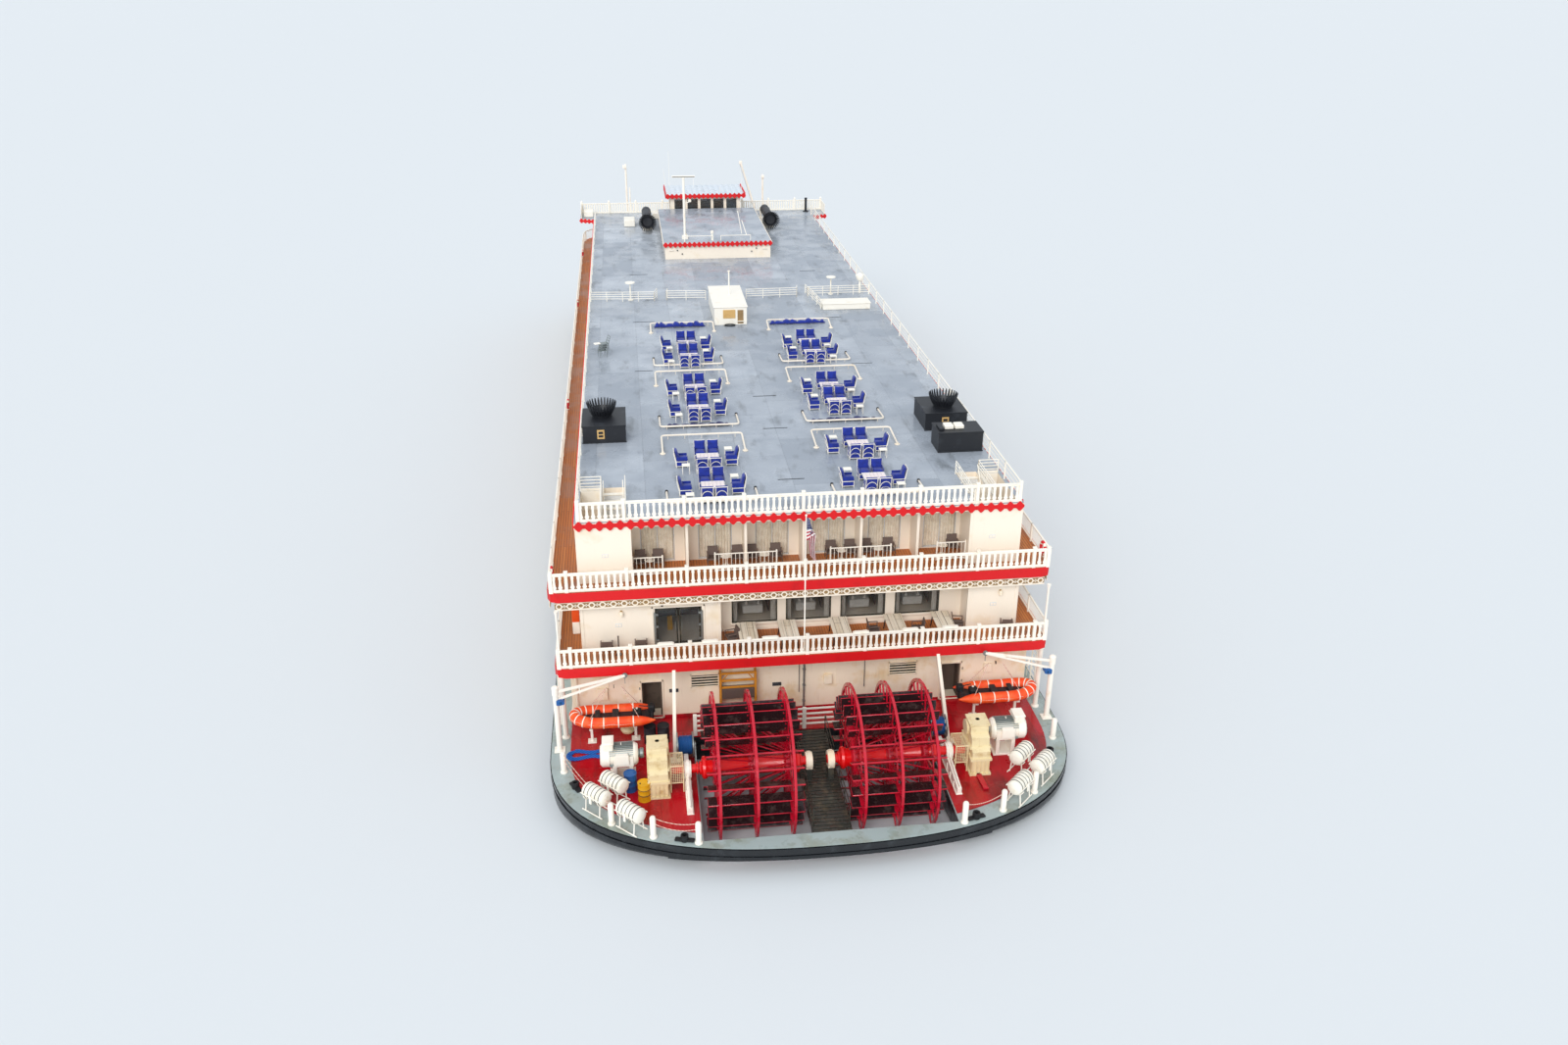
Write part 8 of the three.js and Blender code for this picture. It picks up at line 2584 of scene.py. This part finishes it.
    def scanner(self) -> Solid:
        """Radar bar with a blunt section, a dark band and its turning hub."""
        return joined([turned_profile([(0.14, 0.0), (0.14, 0.05), (0.1, 0.08), (0.1, 0.1)], 20),
                       prism(np.array([(-0.09, 0.1), (0.07, 0.1), (0.09, 0.16), (0.07, 0.25),
                                       (-0.05, 0.26), (-0.09, 0.2)]),
                             -0.95, 0.95, "x"),
                       box(-0.93, 0.93, -0.095, -0.08, 0.14, 0.2, mark=1)])

    def masts_and_lockers(self) -> Solid:
        """Whip aerials, mast arms, searchlights, the second mast and the deck lockers."""
        whips = [rods([(x, y, z0)], [(x + lean, y, z1)], 0.014, 6)
                 for x, y, z0, z1, lean in ((-3.6, 68.0, 16.6, 19.0, -0.25),
                                            (-3.2, 71.5, 16.7, 20.1, 0.0),
                                            (3.5, 68.2, 16.6, 18.9, -0.05),
                                            (-0.9, 71.0, 16.75, 17.6, 0.0),
                                            (1.4, 67.9, 16.7, 17.3, 0.0))]
        arms = [tube([(-2.65, 54.1, 18.4), (-2.2, 54.1, 18.5)], 0.03, 6),
                box(-2.3, -2.05, 54.0, 54.2, 18.5, 18.72, 0.03),
                tube([(-2.65, 54.1, 19.2), (-3.0, 54.1, 19.25)], 0.025, 6)]
        lamps = [box(-7.6, -7.22, 76.22, 76.36, 17.75, 18.13, 0.04),
                 box(6.25, 6.55, 76.24, 76.37, 16.6, 16.93, 0.04)]
        second = turned_profile([(0.16, 0), (0.16, 0.05), (0.07, 0.08), (0.06, 4.7), (0.02, 4.8)], 12)
        lockers = [box(-7.7, -6.7, 65.6, 67.4, SUN_Z + LIFT, SUN_Z + 0.62, 0.05),
                   box(-11.5, -10.6, 70.4, 71.6, SUN_Z + LIFT, SUN_Z + 0.58, 0.05),
                   box(-5.0, -3.6, 68.9, 69.7, SUN_Z + LIFT, SUN_Z + 0.55, 0.05),
                   box(3.7, 4.9, 68.9, 69.7, SUN_Z + LIFT, SUN_Z + 0.55, 0.05)]
        return joined([*whips, *arms, *lamps, second.moved(-7.0, 76.4, THIRD_Z), *lockers])

    def build(self) -> None:
        """Pilot house, raised house and hut, and the fittings that stand on and about them."""
        self.build_pilot_house()
        self.build_raised_house()
        make("deck_hut", self.hut(), [WHITE, PALE_ALLOY, RUBBER, PLATE_TAN, SHADED_TAN],
             stands_for=["roof_hut"])
        make("radar_bar", self.scanner().moved(*self.scanner_at), [WHITE, CASING], Body.SCANNER,
             ["radar_scanner"])
        wing = DeckTrim().diamonds(spread(-0.6, 0.6, 0.42), "x", 0.0, 0.0, 0.22)
        make("brow_wing_diamonds", wing.turned(24).moved(11.18, 69.25, SUN_Z - 0.13).doubled(),
             [FASCIA_RED])
        make("masts_lamps_and_whips", self.masts_and_lockers(), [WHITE])


@dataclass(frozen=True)
class Foredeck:
    """Boom and landing stage, the bow's rail, bitts, capstans and a hatch."""

    boom_foot: tuple[float, float, float] = (8.4, 81.0, DECK_TOP + 0.903)
    boom_tip: tuple[float, float, float] = (-3.8, 0.0, 12.7)
    stage_at: tuple[float, float, float] = (2.0, 78.2, DECK_TOP + 0.75)
    stage_length: float = 7.4
    stage_half: float = 0.75

    def boom(self) -> Solid:
        """Tapered spar on a turned heel, with bands, a head block and stay wires."""
        tip = np.array(self.boom_tip)
        start = np.array([0, 0, 0.3])
        t = np.array([0, 0.04, 0.05, 0.5, 0.51, 0.53, 0.54, 0.96, 0.97, 1.0])
        r = np.array([0.12, 0.13, 0.11, 0.12, 0.13, 0.13, 0.12, 0.09, 0.12, 0.12])
        section = circle(1.0, 14)[None] * r[:, None, None]
        spar = carried(section, start + (tip - start) * t[:, None])
        heel = turned_profile([(0.26, 0), (0.26, 0.1), (0.2, 0.14), (0.2, 0.42), (0.12, 0.5)], 20)
        block = box(-0.16, 0.16, -0.12, 0.12, -0.2, 0.16, 0.03).moved(*tip)
        along = (tip - start) / np.linalg.norm(tip - start)
        stays = rods([start + along * 1.0 + (0.16, 0, 0.1), start + along * 1.0 + (-0.1, 0, -0.16)],
                     [tip + (0.05, 0.0, -0.15), tip + (-0.1, 0.0, -0.18)], 0.014, 5, mark=1)
        return joined([spar, heel, block, stays])

    def stage(self) -> Solid:
        """Gangway of planks between two lattice girders, on its pin and lug."""
        length, half = self.stage_length, self.stage_half
        parts = [box(-half, half, 0.3, length, 0, 0.04)]
        y = spread(0.36, length - 0.06, 0.16)
        low = spots(-half + 0.09, y - 0.06, 0.04)
        parts.append(boxes(low, low + (2 * half - 0.18, 0.12, 0.035), 1))
        for s in SIDES:
            x = s * (half - 0.04)
            parts += [box(x - 0.04, x + 0.04, 0.3, length, z, z + 0.08, 0.01) for z in (0.0, 0.9)]
            posts = spread(0.34, length - 0.04, 1.4)
            low = spots(x - 0.03, posts - 0.03, 0.0)
            parts.append(boxes(low, low + (0.06, 0.06, 0.95)))
            ends = spots(x, posts, np.where(np.arange(len(posts)) % 2, 0.9, 0.08))
            parts.append(rods(ends[:-1], ends[1:], 0.02, 5))
        parts += [box(-0.3, 0.3, -0.12, 0.4, -0.12, 0.04, 0.02),
                  turned_profile([(0.088, -0.6), (0.088, 0.6)], 16, "x", 2)]
        return joined(parts)

    def build(self) -> None:
        """Boom and stage on their bodies; the rest on the hull."""
        make("derrick_boom", self.boom().moved(*self.boom_foot), [WHITE, GALVANISED], Body.BOOM,
             ["stage_boom"])
        make("gangway_stage", self.stage().moved(*self.stage_at), [WHITE, PLANKS, GALVANISED],
             Body.STAGE, ["landing_stage"])
        hull = Hull()
        edge = hull.quarter(0.35, hull.bow, np.linspace(0.12, math.pi / 2, 26))
        line = np.concatenate([edge, (edge * (-1, 1))[::-1][1:]])
        parts = [tube(raised(line, MAIN_Z + z), 0.025, 6) for z in (0.35, 0.7, 1.05)]
        feet = raised(line[::2], MAIN_Z)
        parts.append(rods(feet, feet + (0, 0, 1.05), 0.03, 6))
        post = turned_profile([(0.12, 0.06), (0.12, 0.5), (0.17, 0.52), (0.17, 0.58)], 16)
        bitt = joined([box(-0.5, 0.5, -0.2, 0.2, 0, 0.06, 0.02),
                       post.copies([(-0.28, 0, 0), (0.28, 0, 0)])])
        places = [(s * x, y, DECK_TOP) for s in SIDES for x, y in ((9.6, 76.5), (5.5, 83.4))]
        parts.append(bitt.marked(1).copies(places))
        capstan = turned_profile([(0.5, 0), (0.5, 0.1), (0.32, 0.16), (0.24, 0.4), (0.24, 0.6),
                                  (0.36, 0.8), (0.36, 0.9), (0.05, 0.95)], 24, mark=1)
        parts.append(capstan.copies([(-5.2, 79.5, DECK_TOP), (5.2, 77.4, DECK_TOP)]))
        parts += [box(-3.6, -1.4, 77.6, 80.0, DECK_TOP, DECK_TOP + 0.32, 0.03),
                  box(-3.7, -1.3, 77.5, 80.1, DECK_TOP + 0.32, DECK_TOP + 0.4, 0.03)]
        make("bow_rail_and_bitts", joined(parts), [WHITE, CASING])
        x, y, z = self.boom_foot
        post = [flanged_bolts(np.array([(x + dx, y + dy, DECK_TOP + 0.3)
                                        for dx in (-0.3, 0.3)
                                        for dy in (-0.3, 0.3)]),
                              0.05, 0.07),
                ring_about_x(0.225, 0.27, -0.03, 0.03, 24).turned(90, "Y").moved(x, y, z - 0.12)]
        make("boom_post_fittings", joined(post), [WHITE])


@dataclass(frozen=True)
class Flagstaff:
    """Pole at the stern of the second deck with its striped flag."""

    x: float = -0.13
    y: float = -0.78
    foot: float = SECOND_Z
    top: float = 14.9
    fly: float = 1.9
    hoist: float = 1.15

    def flag(self) -> Solid:
        """Cloth that leaves the staff flat and falls into three deep pleats.

        With b a smooth step over the first third of the fly, a point is (1 - b) (0.5 u, 0, -v - 0.3 u)
        + b (0.25 v, 0.09 sin(6 pi v / hoist), -0.3 v - u). Stripes and canton follow its own grid.
        """
        rows, columns = 39, 48
        u, v = np.meshgrid(np.linspace(0, self.fly, columns + 1), np.linspace(0, self.hoist, rows + 1),
                           indexing="ij")
        b = np.clip(u / self.fly * 3, 0, 1)
        b = b * b * (3 - 2 * b)
        x = (1 - b) * 0.5 * u + b * (0.12 + 0.25 * v + 0.03 * np.sin(u * 4))
        y = b * (0.09 * np.sin(6 * math.pi * v / self.hoist) + 0.04 * np.sin(u * 3))
        z = (1 - b) * (-v - 0.3 * u) + b * (-0.3 * v - u)
        corners = np.stack([self.x + 0.035 + x, self.y + y, self.top - 0.15 + z], -1).reshape(-1, 3)
        index = np.arange(u.size).reshape(u.shape)
        faces = grid_faces(index)
        i, j = np.meshgrid(np.arange(columns), np.arange(rows), indexing="ij")
        marks = np.where(j // 3 % 2, 1, 0)
        canton = (i < 20) & (j < 21)
        marks[canton] = np.where((i % 3 == 1) & (j % 3 == 1), 1, 2)[canton]
        return Solid(corners, tuple((faces[marks == mark], mark) for mark in (0, 1, 2)))

    def build(self) -> None:
        """Staff with its truck and cleat, and the flag."""
        height = self.top - self.foot
        pole = turned_profile([(0.06, 0), (0.06, 0.1), (0.035, 0.14), (0.025, height - 0.1),
                               (0.05, height - 0.08), (0.05, height - 0.03), (0.01, height)], 12)
        cleat = box(self.x - 0.02, self.x + 0.02, self.y - 0.1, self.y - 0.02,
                    self.foot + 1.1, self.foot + 1.3, 0.008)
        staff = joined([pole.moved(self.x, self.y, self.foot + LIFT), cleat])
        make("flagstaff", staff, [WHITE])
        cloth = make("stern_flag", self.flag(), [Canvas("red_flag_nylon", "#C01C34", "#8A1226"),
                                                 Canvas("white_flag_nylon", "#F4F0EC", "#C9C4C4"),
                                                 Canvas("blue_flag_nylon", "#1C2A62", "#141D44")],
                     crease=80)


def dress_kept_nodes(frame: dict[str, Any]) -> None:
    """Better finishes for the nodes whose shapes stay as they are in the frame."""
    for node in ("main_house", "second_deck_cabins", "saloon", "third_deck_cabins", "front_house",
                 "pilot_house"):
        dress(frame, node, RUSTY_CREAM if node == "main_house" else CREAM)
    for node in ("casing_port", "casing_starboard", "casing_starboard_aft"):
        dress(frame, node, CASING)
    for node in ("radar_mast", "bow_mast_port", "bow_mast_starboard", "boom_post", "stage_bed"):
        dress(frame, node, WHITE)
    dress(frame, "saloon_glazing", SALOON_GLASS)
    for side in SIDES:
        dress(frame, f"rudder_{side_name(side)}", HULL_BLACK)


def main() -> None:
    """Loads the frame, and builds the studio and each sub-assembly."""
    logging.basicConfig(level=logging.INFO, format="%(message)s", stream=sys.stdout)
    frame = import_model()
    Studio().build()
    MooringRope().build()
    GuardRopes().build()
    Hull().build()
    PaddleWheel().build()
    Walkway().build()
    DriveGear().build()
    SternDeckGear().build()
    RescueCraft().build()
    UpperDeck("second_deck", top=SECOND_Z, half=11.74, aft=SECOND_AFT, fore=79.5, rail_fore=74.0,
              band=FASCIA_RED, column_every=2, column_top=THIRD_Z - FASCIA).build()
    UpperDeck("third_deck", top=THIRD_Z, half=THIRD_HALF, aft=0.0, fore=78.0, rail_fore=72.8,
              band=FASCIA_RED).build()
    DeckTrim().build()
    MainHouse().build()
    Saloon().build()
    Cabins().build()
    SideWalls().build()
    SunDeck().build()
    Seating().build()
    Stacks().build()
    ForeHouses().build()
    Foredeck().build()
    Flagstaff().build()
    dress_kept_nodes(frame)


if __name__ == "__main__":
    main()
